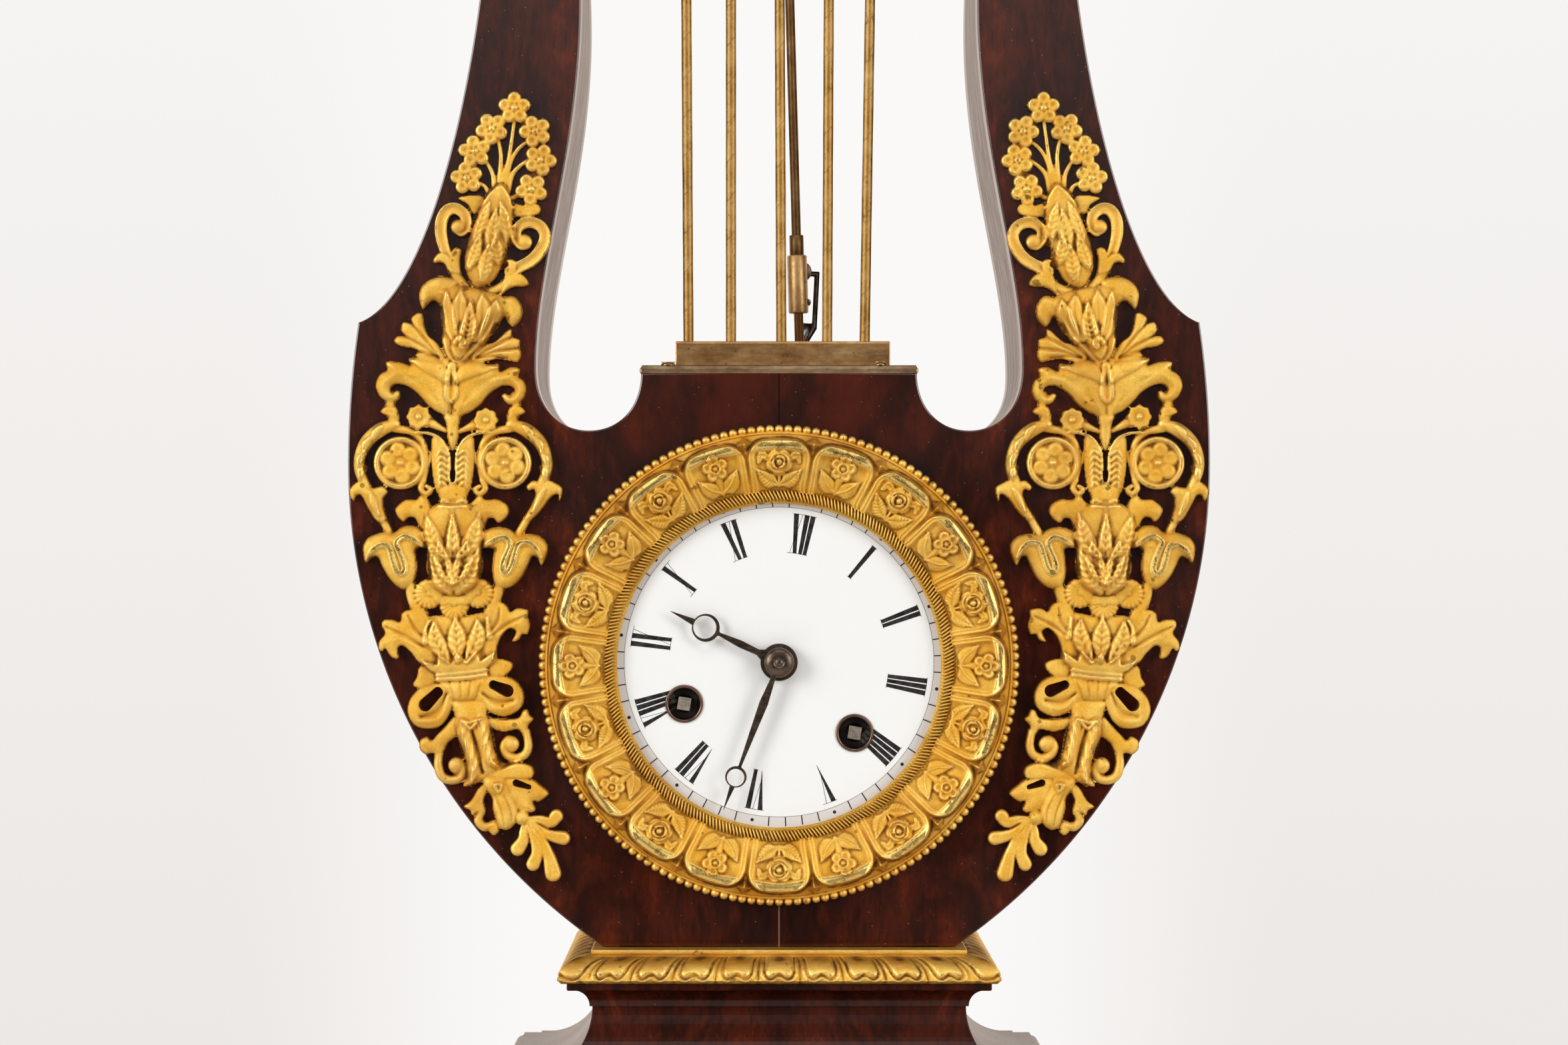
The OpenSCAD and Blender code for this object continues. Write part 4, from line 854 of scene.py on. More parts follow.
def husk(r):
    """Pointed husk with scales, between two volutes that end in small cups."""
    r.shape([(-17, 74), (-18.2, 77.6), (-21, 77.2), (-22, 78), (-25.6, 77.4), (-26, 75.2),
        (-23.4, 73.9)], 1.3, 1, 1.6, 0.3)
    r.shape([(-9.6, 76), (-9.2, 79.6), (-5.6, 80.2), (-1.6, 79.4), (-4.4, 77.4), (-6.2, 74.6)], 1.3, 1,
        1.6, 0.3)
    volute(r, [(-17, 57.4), (-23.4, 60.6), (-26.6, 64.4), (-27.6, 68), (-26, 71.1), (-22.4, 72.1),
        (-19.4, 70.4), (-18.9, 67.4), (-20.6, 65.2), (-22.4, 66)], [3.4, 3.8, 3.8, 3.6, 3.6, 3.5,
        3.4, 3.2, 3, 2.6], (-21.4, 66.2), 2.4)
    volute(r, [(1.4, 61), (3.3, 67), (3.5, 72), (1.8, 75.5), (-1, 76.2), (-3.6, 74.2), (-4.2, 71.2),
        (-2.6, 69.4), (-0.8, 70.4)], [3, 3.6, 3.8, 3.8, 3.6, 3.4, 3.2, 3.2, 2.6], (-1.6, 70.7), 2.3)
    r.stroke([(-16.6, 54.6), (-13, 52), (-9, 51.2)], [2.6, 3, 3.4], 1.4, 1.3)
    r.stroke([(0, 58), (-2, 54.6), (-4, 52.4)], [3.4, 3.4, 3.6], 1.4, 1.4)
    r.shape([(-18.8, 60.4), (-16, 60.9), (-16.6, 58), (-14.6, 54), (-16.4, 53.6), (-18.6, 57)], 1.8, 1.3,
        1.2, 0.3)
    r.shape([(-22.5, 53.3), (-21.6, 55.8), (-18.8, 56.9), (-16, 55.6), (-14.4, 50.6), (-17.4, 52.6)],
        1.8, 1.4, 1.6, 0.2)
    r.shape([(-2.6, 64), (-0.4, 64.4), (0.9, 61.6), (0.2, 57), (-2.4, 56.6), (-2.2, 60.4)], 1.8, 1.4,
        1.4, 0.3)
    r.shape([(0.8, 61.8), (4, 63), (6, 60.2), (3, 60), (1, 57), (-0.8, 57.6)], 1.8, 1.4, 1.2, 0.3)
    r.shape([(-14.4, 83.6), (-10.2, 80.2), (-8.4, 76.6), (-5.8, 70), (-4.4, 65.6), (-3.5, 60.6),
        (-4, 57), (-6.4, 52.8), (-9.6, 52.8), (-12.8, 55.4), (-14.8, 59.6), (-16.4, 64.6),
        (-17.8, 70.4), (-18, 75.6), (-17.2, 79.8)], 2, 3.4, 5)
    r.stroke([(-18, 76.4), (-17.1, 80), (-14.4, 83.2), (-10.4, 79.8), (-8.8, 77)],
        [0.7, 1.2, 1.3, 1.2, 0.7], 0.1, 0.7, "round", 0.8, over=True)
    scales = [[(-15.2, 59), (-13.6, 63), (-13.2, 68.4)], [(-4.8, 58.6), (-6.6, 63), (-8.6, 68)],
        [(-9.4, 54.6), (-10.2, 60), (-11, 65.4)], [(-17, 66), (-16.2, 72), (-14.6, 78)],
        [(-6.8, 67), (-8.8, 73), (-11.2, 78.4)], [(-11.2, 64.6), (-12.4, 70), (-13.2, 76)]]
    for leaf in scales:
        r.stroke(leaf, [2.4, 4.6, 3.6, 0.4], 0.2, 1.0, "leaf", 0.15, 6, over=True)


def spray(r, outline, root, notches):
    """A fan of round lobes with a groove down to each notch."""
    r.shape(outline, 1.7, 1.7, 2.4, 0.3)
    for notch in notches:
        middle = (np.array(root) + np.array(notch)) / 2 + (0, 0.4)
        r.carve([root, middle, notch], [0.5, 1.2, 0.8], 0.8)


def lobed_sprays(r):
    """Two sprays of rounded leaves beside the bellflower."""
    spray(r, [(2, 31), (4.6, 35.9), (7.4, 38.2), (8.7, 41.5), (9.2, 44.6), (10.7, 44.9), (12.5, 43.4),
        (12.4, 41.8), (14.8, 42.2), (15.6, 39.8), (14.6, 38.2), (17, 37.8), (17.4, 36), (15.2, 34.9),
        (12.4, 34.5), (10.6, 33.5), (11.2, 31.8), (9.2, 30.2), (5, 29.4)], (4, 31.4),
        [(12.2, 41.6), (14.4, 38), (10.6, 33.4)])
    spray(r, [(-5, 31), (-6.5, 33.6), (-9.7, 35.5), (-12, 36), (-13.9, 37.4), (-15.7, 39.2),
        (-17.5, 40.1), (-17.8, 37.8), (-20, 36.9), (-19.9, 34.6), (-20.4, 32.7), (-19.4, 30.3),
        (-16.6, 30.7), (-12.9, 31.2), (-9, 30)], (-7, 31.6), [(-17.4, 37.6), (-19.6, 34.4),
        (-16.4, 31.4)])


def bellflower(r):
    """Bell with two rolled lips, a veined leaf and a shield on its front."""
    r.shape([(-12, 48), (-17.6, 50.1), (-20.2, 48), (-20.8, 45), (-19.8, 42.4), (-17.8, 40.8),
        (-16.5, 42), (-15.4, 43.6), (-13, 41.6)], 1.7, 2.2, 2.6)
    r.shape([(-1.6, 53.6), (1, 55.5), (5, 55.7), (8.6, 53.8), (10.2, 50.4), (9.2, 46.2), (7.6, 47.6),
        (5.4, 48.6), (2, 46)], 1.7, 2.2, 2.6)
    r.shape([(-15.4, 49.6), (-12, 51), (-9, 52), (-4, 53), (0.6, 53.6), (4.4, 53), (5.4, 50.6),
        (3.8, 48), (2.8, 43), (3.2, 36), (1.6, 31.8), (-1.2, 29.6), (-4, 30.8), (-9.4, 35.4),
        (-11.4, 38.6), (-13.4, 42.4), (-16.4, 46.4)], 2, 3, 5)
    petals = [[(-8.6, 36.6), (-12, 43), (-13.4, 49.4)], [(-1, 36), (1.4, 43), (1.8, 51.6)],
        [(-6.8, 37), (-9.2, 44), (-9, 51.4)], [(-2.4, 37), (-2.2, 45), (-2.6, 52.4)]]
    for petal in petals:
        r.stroke(petal, [2, 4.4, 4.6, 0.5], 0.2, 1.1, "leaf", 0.2, over=True)
    r.stroke([(-3.4, 35), (-5, 41), (-5.6, 49)], [3, 5, 3.6, 0.4], 0.5, 1.2, "leaf", 0.2, 8, over=True)
    r.stroke([(-9.6, 37), (-6, 34), (-3, 30.6), (-0.6, 30.2), (1.4, 32.4), (2.8, 37)],
        [0.8, 1.1, 1, 1.1, 0.8], 0.1, 0.6, "round", 0.5, over=True)
    r.shape([(-2.3, 38.4), (-4.4, 36.2), (-4, 33), (-1.6, 30.8), (0.2, 33.4), (0, 36.2)], 0.4, 1, 1.6,
        0.3, True)
    r.dome((-7.4, 53), 1.0, 2.2, 0.9)
    r.dome((-3.4, 52.8), 1.1, 2.2, 0.9, 0.6)


def lily(r):
    """Wide lily whose two petals curl over at the ends; a slot with a raised lip runs down its middle."""
    left = [(0, 30.4), (-5, 31.4), (-10.4, 29.6), (-13.6, 29.8), (-14.2, 27.5), (-17.4, 28.8),
        (-20, 28.2), (-19.6, 26), (-21.2, 24.6), (-21.9, 22), (-21, 19.2), (-18.6, 17.4),
        (-16, 17.9), (-14.7, 20), (-15.6, 20.9), (-17.3, 20.1), (-18.4, 21.6), (-17.4, 22.9),
        (-14.6, 23), (-11, 20.8), (-7.6, 17), (-3.6, 14.6), (0.4, 14.4)]
    right = [(0, 30.4), (4, 31.4), (9, 31.9), (13.2, 31.4), (12.8, 29.4), (16, 30.3), (20, 30.3),
        (19.8, 28), (22, 26.4), (23.2, 23.2), (22, 20), (19.4, 18.3), (16.8, 18.7), (15.8, 20.6),
        (16.6, 21.8), (18, 21), (18.8, 22.2), (17.2, 23.6), (14, 23.1), (10.6, 20.8), (7, 16.8),
        (3.6, 14.8), (0.4, 14.4)]
    r.shape(left, 1.7, 2.6, 4.4, 0.2)
    r.shape(right, 1.7, 2.6, 4.4, 0.2)
    r.stroke([(-0.4, 24), (-4.6, 27.6), (-9, 28.6), (-13.4, 28.6)], [2, 5, 4, 0.5], 0.1, 0.7, "round",
        0.1, over=True)
    r.stroke([(1, 24), (4.6, 28), (9, 30), (12.8, 30.6)], [2, 5, 4, 0.5], 0.1, 0.7, "round", 0.1, over=True)
    r.carve([(-3.4, 18), (-7.4, 22.4), (-13, 26)], [0.8, 4, 1], 0.4)
    r.carve([(4.4, 18.4), (8.4, 22.8), (14, 26.4)], [0.8, 4, 1], 0.4)
    r.stroke([(-0.5, 29), (-1, 22.6), (-0.9, 19.6), (0.4, 18.1), (1.7, 19.6), (1.7, 22.6), (0.9, 29)],
        1.1, 0.2, 0.8, "round", 0.7, over=True)
    r.stroke([(0.2, 29), (0.4, 19.4)], [2.6, 3.2], 3.6, 0.8, "flat")
    r.carve([(0.3, 28), (0.4, 19.2)], [0.5, 1.1], 0.4)
    r.shape([(-2, 14.6), (2.7, 14.4), (2, 11.6), (1.6, 7), (0, 3.6), (-1.6, 7), (-1.8, 11)], 1.8, 1.8, 1.6)


def trumpets(r):
    """Two small trumpet flowers over the rings."""
    for disc, root in (((-9.9, 12.8), (-2.2, 9.6)), ((10.2, 13.8), (2.4, 9.8))):
        disc, root = np.array(disc), np.array(root)
        r.stroke([root, root + (disc - root) * 0.5, disc], [1.6, 3, 5.4], 1.5, 1.2)
        ruffle = [disc + 3.5 * (1 + 0.07 * (-1) ** k) * np.array((math.cos(a), math.sin(a)))
            for k, a in enumerate(np.linspace(0, 2 * math.pi, 16, endpoint=False))]
        r.shape(ruffle, 2.4, 0.9, 1.2, 0.4)
        r.carve([disc, disc + (0.01, 0)], 3.6, 0.8)
        r.dome(disc, 0.9, 2.9, 0.9, 0.7)


def rings(r):
    """Two rings with six-petalled flowers inside leafy arches, and a ribbed stem between them."""
    for s, x in ((-1, -15.6), (1, 15.8)):
        r.stroke([(s * 18.6, 20), (s * 18.8, 16.6), (s * 17.8, 13.6)], [3, 3, 3.6], 1.5, 1.4)
        r.shape([(s * 21.6, 15.2), (s * 20, 17), (s * 17, 16.6), (s * 16.6, 13.6), (s * 18.6, 13.8)],
            1.9, 1.2, 1.2, 0.2)
        r.stroke([(s * 17.4, 11.6), (s * 22, 9.8), (s * 26, 6.2), (s * 28, 1.4), (s * 27.8, -3),
            (s * 26, -7)], [3.4, 4.4, 4, 3.4, 3.2, 2.8], 1.6, 1.7, "round", 0.1)
        for px, py in ((23, 9.2), (26, 5.6), (27.8, 1), (27.6, -3)):
            r.stroke([(s * (px - 1.4), py + 1.8), (s * px, py), (s * (px + 0.6), py - 2.4)],
                [1.4, 2.6, 0.6], 0.2, 0.7, "leaf", 0.3, over=True)
        r.stroke([(s * 17.6, 10.4), (s * 12, 9.2), (s * 8.8, 5.6), (s * 7.8, 0), (s * 8.8, -5)],
            [2.6, 2.4, 2, 1.8, 1.8], 1.4, 1.2)
        r.dome((x, 0), 7.4, 2.0, 0.2)
        hoop = [(x + 7.1 * math.cos(a), 7.1 * math.sin(a)) for a in np.linspace(0, 2 * math.pi, 41)]
        r.stroke(hoop, 1.9, 1.7, 1.5, "round", 0.3, 0, False)
        r.flower((x, 0), 6.3, 6, 2.1, 1.0, 0.15, 80, 0.3)
        r.stroke([(s * 8.8, -5), (s * 9.6, -7.6), (s * 8, -9.2), (s * 6.6, -8), (s * 7.8, -7)],
            [2, 2, 1.9, 1.7, 1.4], 1.5, 1.2)
        r.stroke([(s * 0.9, -2), (s * 1.4, 3), (s * 3.6, 7), (s * 7, 8.8), (s * 11, 9.2)],
            [1, 1.1, 1.2, 1.1, 0.8], 2.4, 1, "round", 0.7)
        r.shape([(s * 1, 3), (s * 3, 6.6), (s * 6, 8), (s * 6.6, 2), (s * 6, -4), (s * 4.6, -9),
            (s * 1.2, -6.4)], 1.8, 1.7, 2.4)
        for k in range(6):
            rib = [(s * 1.4, 2.2 - 1.9 * k), (s * 3.4, 3.6 - 1.9 * k), (s * 4.8 - s * 0.12 * k, 2 - 1.9 * k)]
            r.stroke(rib, [0.7, 1.3, 0.5], 0.05, 0.7, "round", 0.3, over=True)
    r.shape([(-4.4, -7), (0, -6), (4.4, -7), (4, -10.6), (3.4, -12), (-3.8, -12), (-4.2, -10.6)], 2, 1.7,
        2.2)
    r.stroke([(-1.1, 3), (-1.1, -4.6), (0, -6.2), (1.1, -4.6), (1.1, 3)], 0.9, 2.8, 0.9, "round", 0.8)
    r.carve([(0, 2.6), (0, -5)], [0.5, 1.1], 1.2)
    r.stroke([(-3.9, -11.4), (0, -12.2), (3.6, -11.4)], 1.3, 0.1, 0.7, "round", 0.5, over=True)


def outer_cups(r):
    """Cups that hang from the ends of the arches."""
    r.shape([(-32.8, -7.6), (-30.4, -5.8), (-28.4, -5), (-26.4, -5.8), (-24, -5.2), (-22, -7),
        (-22.6, -8.2), (-24.2, -8), (-24.6, -9.8), (-23.2, -13), (-21.4, -16.4), (-23.2, -17),
        (-26, -14.6), (-29, -10.6), (-31.4, -9.3), (-31.9, -11.4)], 1.6, 1.8, 2, 0.3)
    r.stroke([(-27.6, -7.6), (-25.8, -10.6), (-24.2, -14.4)], [0.8, 2.4, 1], 0.1, 0.7, "round", 0.3,
        over=True)
    r.stroke([(-22.6, -16.2), (-20.6, -19.6), (-19, -23)], [2.4, 2.5, 3], 1.4, 1.4)
    r.shape([(19.6, -8.6), (21, -7), (23.6, -7.4), (26, -6.8), (28, -5.4), (30.4, -7), (31.1, -9),
        (29.8, -11.4), (29, -9.8), (27.4, -9.8), (25.6, -13.2), (23.4, -16.8), (21, -18.2),
        (20, -16.6), (20.8, -13.4), (20.9, -10.6)], 1.6, 1.8, 2, 0.3)
    r.stroke([(24.6, -8.6), (23.8, -11.6), (22.2, -15.4)], [0.8, 2.4, 1], 0.1, 0.7, "round", 0.3, over=True)
    r.stroke([(21.2, -17), (19.6, -20), (18.2, -23.4)], [2.4, 2.5, 3], 1.4, 1.4)


def folded_lilies(r):
    """Side lilies with a folded lip, joined to the middle bell."""
    left = [(-8.8, -25.2), (-8.8, -21), (-11, -19.6), (-14, -19.1), (-17, -19.8), (-19.4, -21.5),
        (-22.4, -21.2), (-25.4, -21.6), (-27.6, -23.2), (-28.5, -25.6), (-27.8, -28.4),
        (-26.5, -30.6), (-25.3, -28.6), (-23.8, -28.1), (-22.4, -30.8), (-20.6, -34.2), (-18, -36.8),
        (-15.4, -37.6), (-12.8, -36.8), (-11.7, -32.6), (-12, -28), (-12.2, -26), (-10.6, -25.4)]
    right = [(8, -25.2), (8.6, -21), (10.5, -19.2), (13, -18.6), (15.6, -19.2), (17.6, -20.8),
        (20.4, -20.6), (23, -21.2), (25.6, -22.5), (27, -25), (26.8, -28), (26, -29.8),
        (24.6, -28.6), (22.6, -28.3), (21.2, -31), (19.4, -34.2), (17, -36.8), (14.6, -37.8),
        (12, -36), (10.8, -32.4), (10.9, -28.4), (11.2, -26.2), (10, -25.3)]
    folds = [[(-26.3, -28.4), (-25, -25.5), (-22.8, -23.8), (-20, -24.2), (-18.8, -27), (-17.8, -30.5),
        (-16.5, -32.8), (-15.2, -32.4), (-15.1, -30), (-16.3, -27), (-17.3, -24.2), (-15.6, -22.2),
        (-13, -22.8), (-10, -24.6)], [(25.8, -28.6), (23.8, -25.8), (21, -24.4), (18.9, -25.2),
        (17.8, -29), (16.8, -32.2), (15.5, -33.2), (14.3, -32.3), (14.6, -29.6), (16.1, -26),
        (16.8, -23.8), (14.8, -22), (12, -22.6), (9.4, -24.6)]]
    for outline, fold in zip((left, right), folds):
        r.shape(outline, 1.8, 2.4, 3)
        r.stroke(fold, [0.9, 1.7, 1.7, 1.7, 1.7, 1.7, 1.4], 0.1, 0.9, "cup", 1, over=True)
    r.stroke([(-14, -36.6), (-12.6, -40.6), (-10.8, -46)], [3.6, 3.8, 4.4], 1.5, 1.5)
    r.stroke([(12.8, -36.8), (11.8, -41), (9.6, -45.4)], [3.6, 3.8, 4.4], 1.5, 1.5)


def bell(r):
    """Middle bell under the rings, clothed in leaves, with a scalloped collar."""
    r.shape([(-4.6, -14), (-6.2, -11.2), (-8, -9.7), (-10, -11), (-13.2, -10.8), (-16.2, -12.6),
        (-16.7, -15), (-15, -17.2), (-13.4, -17.9), (-12.2, -16.6), (-10.4, -16.8), (-8.6, -20)],
        1.7, 1.7, 2.4, 0.2)
    r.shape([(4.8, -14.4), (6.4, -13), (7.6, -10.8), (9.6, -9.7), (11.2, -11), (14.2, -11),
        (17.1, -13.4), (16.8, -15.6), (15, -17.6), (13.4, -16.4), (11.4, -16.6), (9, -20)], 1.7, 1.7,
        2.4, 0.2)
    for place, facing in (((-7.6, -39), 220), ((7.1, -39.2), 320), ((-0.4, -42.4), 270)):
        ring = [np.array(place) + 4.5 * np.array((math.cos(a), math.sin(a)))
            for a in np.linspace(0, 2 * math.pi, 12, endpoint=False)]
        r.shape(ring, 2, 1.5, 1.6, 0.2)
        for k in range(9):
            a = math.radians(facing + 21 * (k - 4))
            ray = np.array((math.cos(a), math.sin(a)))
            r.carve([np.array(place) + 0.8 * ray, np.array(place) + 4.6 * ray], [0.5, 0.8], 0.45)
    r.shape([(-3.6, -11.8), (-8, -15), (-9, -20), (-8.6, -26), (-8.2, -32), (-7.2, -36.6), (-4.4, -39.4),
        (-0.4, -40.3), (3.6, -39.4), (6, -37), (6.8, -32), (7.6, -26), (8.8, -20), (8, -15),
        (3.8, -11.8)], 2.2, 3, 5)
    leaves = [[(-1.6, -38.6), (-5.8, -33), (-8, -25.4)], [(0.8, -38.6), (5, -33), (7.2, -25.4)],
        [(-2, -28), (-6.4, -22.6), (-8, -15)], [(1.8, -28), (6.2, -22.6), (7.8, -15)],
        [(-0.6, -36), (-3.4, -30), (-4.4, -23)], [(0.2, -36), (2.8, -30), (3.8, -23)]]
    for leaf in leaves:
        r.stroke(leaf, [2, 5.4, 5, 0.5], 0.2, 1.1, "leaf", 0.3, 7, over=True)
    r.stroke([(-0.3, -37), (-0.3, -26), (0, -14.4)], [2.4, 4.6, 3.8, 0.5], 0.6, 1.2, "leaf", 0.4, 10,
        over=True)
    r.stroke([(-4, -12.6), (0, -13.2), (4, -12.6)], 1.2, 0.1, 0.6, "round", 0.5, over=True)


def crown(r):
    """Acanthus crown with a notched edge over the ribbon."""
    r.shape([(-9, -46), (-11.2, -43.2), (-13.8, -41.6), (-16, -42.6), (-17.2, -44.6), (-19, -43.6),
        (-22.4, -44), (-22.5, -46.2), (-23.1, -48.6), (-22.4, -51.2), (-20.8, -51.3), (-19.6, -53),
        (-17.7, -53.4), (-18.9, -50.6), (-17, -49.5), (-14.8, -51.4), (-13.2, -55), (-12.8, -60),
        (-8, -58)], 1.6, 1.6, 2.6, 0.3)
    r.shape([(7, -46.4), (10, -44.6), (13, -43.9), (15.3, -45), (15.8, -47.5), (18, -47), (20.6, -46.9),
        (21.4, -48.6), (20.4, -51), (22, -53.3), (22.2, -55.6), (21.2, -56.4), (20.2, -55.7),
        (18.6, -58), (16.4, -58.5), (16.6, -55.6), (15, -54.7), (12.4, -57), (9.6, -60.2), (4, -62)],
        1.6, 1.6, 2.6, 0.3)
    for line in ([(-9, -52), (-13, -48), (-14, -43.4)], [(-10, -53), (-16, -48.6), (-21, -46)],
            [(6, -54), (11, -50), (13.4, -45.6)], [(7, -56), (14, -52), (20, -49)]):
        r.carve(line, [0.5, 1.4, 0.6], 0.7)
    r.shape([(-10, -45), (-4, -45.6), (3, -45.6), (8.2, -46.6), (9.4, -52), (8.6, -58), (5, -63),
        (-9, -62), (-12.4, -57), (-11.4, -50)], 1.9, 1.1, 2.6)
    for leaf, width in (([(-4.4, -59), (-7.4, -52), (-7.4, -46.4)], 5),
            ([(1.4, -59), (5, -53), (5.6, -47)], 5), ([(-1.6, -59), (-1.2, -52), (-0.8, -46)], 5.6)):
        r.stroke(leaf, [2, width, 0.8 * width, 0.5], 0.3, 1.3, "leaf", 0.2, 6, over=True)
    for line in ([(-10.2, -46), (-10.5, -49), (-11, -52)], [(6.9, -47), (8.2, -50), (8.3, -53.6)]):
        r.stroke(line, [0.8, 1, 2], 0.2, 1.0, "round", 0.5, over=True)
    r.shape([(-13, -55.8), (-8.4, -59.2), (-7.2, -55.6), (-4.2, -59.4), (-1.4, -56.2), (0.4, -59.8),
        (4.2, -57.2), (4.7, -60.4), (9.6, -59), (6, -63.4), (-9, -62.6), (-12.4, -59.4)], 0.7, 0.8,
        1.4, 0.3, True, 0.2, False)


def bow(r):
    """Ribbon tied round the stem, with two loops and two ends."""
    r.shape([(-9, -61), (-13.4, -58.6), (-17.8, -60), (-17, -62.6), (-14.4, -64.4), (-9, -64.6)], 1.6,
        1.2, 1.6, 0.3)
    r.shape([(4, -62), (9.6, -60.8), (10.8, -64), (11.9, -66.6), (9, -67.6), (4, -66)], 1.6, 1.2, 1.6, 0.3)
    r.shape([(-8, -64.4), (-13, -63.6), (-17.6, -64.4), (-20.4, -67), (-21.4, -70.4), (-20, -73.8),
        (-16, -75.8), (-11.6, -75), (-8, -72), (-5, -70)], 1.8, 2.2, 2.6, 0.3)
    r.shape([(0, -65.6), (5, -65.8), (10, -67.4), (13, -71), (13.5, -75), (11.6, -78.4), (8, -79.6),
        (4, -79), (1.4, -76), (-0.4, -71)], 1.8, 2.2, 2.6, 0.3)
    r.carve([(-9, -69), (-13, -71.6), (-18, -71)], [0.8, 2.4, 1.4], 0.9)
    r.carve([(1.8, -69), (4.6, -74.6), (9.6, -76)], [0.8, 2.4, 1.4], 0.9)
    r.hole([(-16.4, -68.2), (-12.2, -66.4)], [3.8, 2.8])
    r.hole([(4.4, -68.6), (8.2, -72.4)], [3.2, 4.0])
    r.shape([(-10, -64), (-4, -64.8), (4, -65.6), (1.6, -69.4), (-0.4, -71), (-4, -71.4), (-7.8, -70.4),
        (-9.6, -67.6)], 2.6, 2, 3)
    for k in range(4):
        r.carve([(-8.6 + 3.2 * k, -65.4), (-7 + 2.2 * k, -70.2)], [0.5, 1, 0.5], 0.5)
    for k in (0, 1):
        r.stroke([(-9.8, -62 - 1.5 * k), (-4, -62.8 - 1.5 * k), (4.4, -63.6 - 1.2 * k)], 1.5, 3.4, 1.0,
            "round", 0.6)


def side_scroll(r, leaf, line, knob):
    """Leaf that ends in a curled stem with a bud in it."""
    r.shape(leaf, 1.6, 1.6, 1.8, 0.2)
    r.stroke(line, [2.5, 2.7, 2.8, 2.8, 2.8, 2.7, 2.6, 2.4], 1.5, 1.6)
    r.dome(knob, 2.5, 1.7, 2)


def twist(r):
    """Twisted stem under the bow, with a scroll on each side."""
    side_scroll(r, [(-9, -76), (-14, -76.4), (-19.4, -76.4), (-20.8, -74.2), (-22.2, -73.9),
        (-23, -75.6), (-24.1, -76.8), (-22.6, -78.6), (-22.2, -81.2), (-20.6, -81), (-19.4, -79.8),
        (-15, -80.4), (-11, -79)], [(-22, -80.6), (-22.6, -84.6), (-21.6, -87.2), (-19, -88.4),
        (-16.2, -87.4), (-15.2, -85), (-16.4, -83), (-18, -83)], (-17.4, -84.2))
    side_scroll(r, [(-1, -75.6), (2, -78.4), (4.8, -81.4), (6.4, -83), (7.8, -82), (9.8, -83),
        (9.9, -85.6), (8.2, -87.2), (6, -86.9), (4.8, -88), (3, -86.8), (1.6, -84), (-1.6, -81)],
        [(4.2, -86.8), (4.4, -90.6), (3.3, -93.8), (0.8, -95), (-2, -94.4), (-3.2, -92),
        (-2.4, -89.8), (-0.6, -89.6)], (-1, -90.6))
    r.shape([(-9.4, -71), (0, -71), (-0.6, -76), (-1, -81), (-2.6, -85.4), (-4, -90), (-4.2, -94),
        (-3.2, -96.8), (-7, -96), (-10, -94.6), (-14, -91.4), (-12.4, -85), (-11.4, -80),
        (-10.6, -75.6)], 2, 2.2, 3.4)
    for strand in ([(-8.8, -76.6), (-10, -82), (-11.4, -88), (-14.6, -91.6)],
            [(-2.6, -77.6), (-3.8, -83), (-6, -90), (-5.8, -96)]):
        r.stroke(strand, [3.4, 4.2, 4, 2], 0.2, 1.5, "fold", 0.3, 5, over=True)
    r.carve([(-5.8, -80), (-7.2, -85), (-9, -93)], [0.8, 1.4, 1], 1.2)
    r.stroke([(-8.4, -76.4), (-5.2, -77.8), (-2.6, -76.6), (-5.4, -79.8), (-8.4, -76.4)], 0.9, 0.1, 0.8,
        "round", 0.6, 0, False, True)
    r.stroke([(-12.4, -89.8), (-16.4, -90.6), (-20, -89)], [2, 1.6, 0.8], 0.3, 0.8, "round", 0.3, over=True)
    r.shape([(-8.6, -92.4), (-13, -91.8), (-18.8, -89.8), (-22.6, -90.4), (-24.2, -92), (-23.4, -94.5),
        (-18, -94.7), (-10, -95)], 1.8, 1.5, 1.5, 0.3)


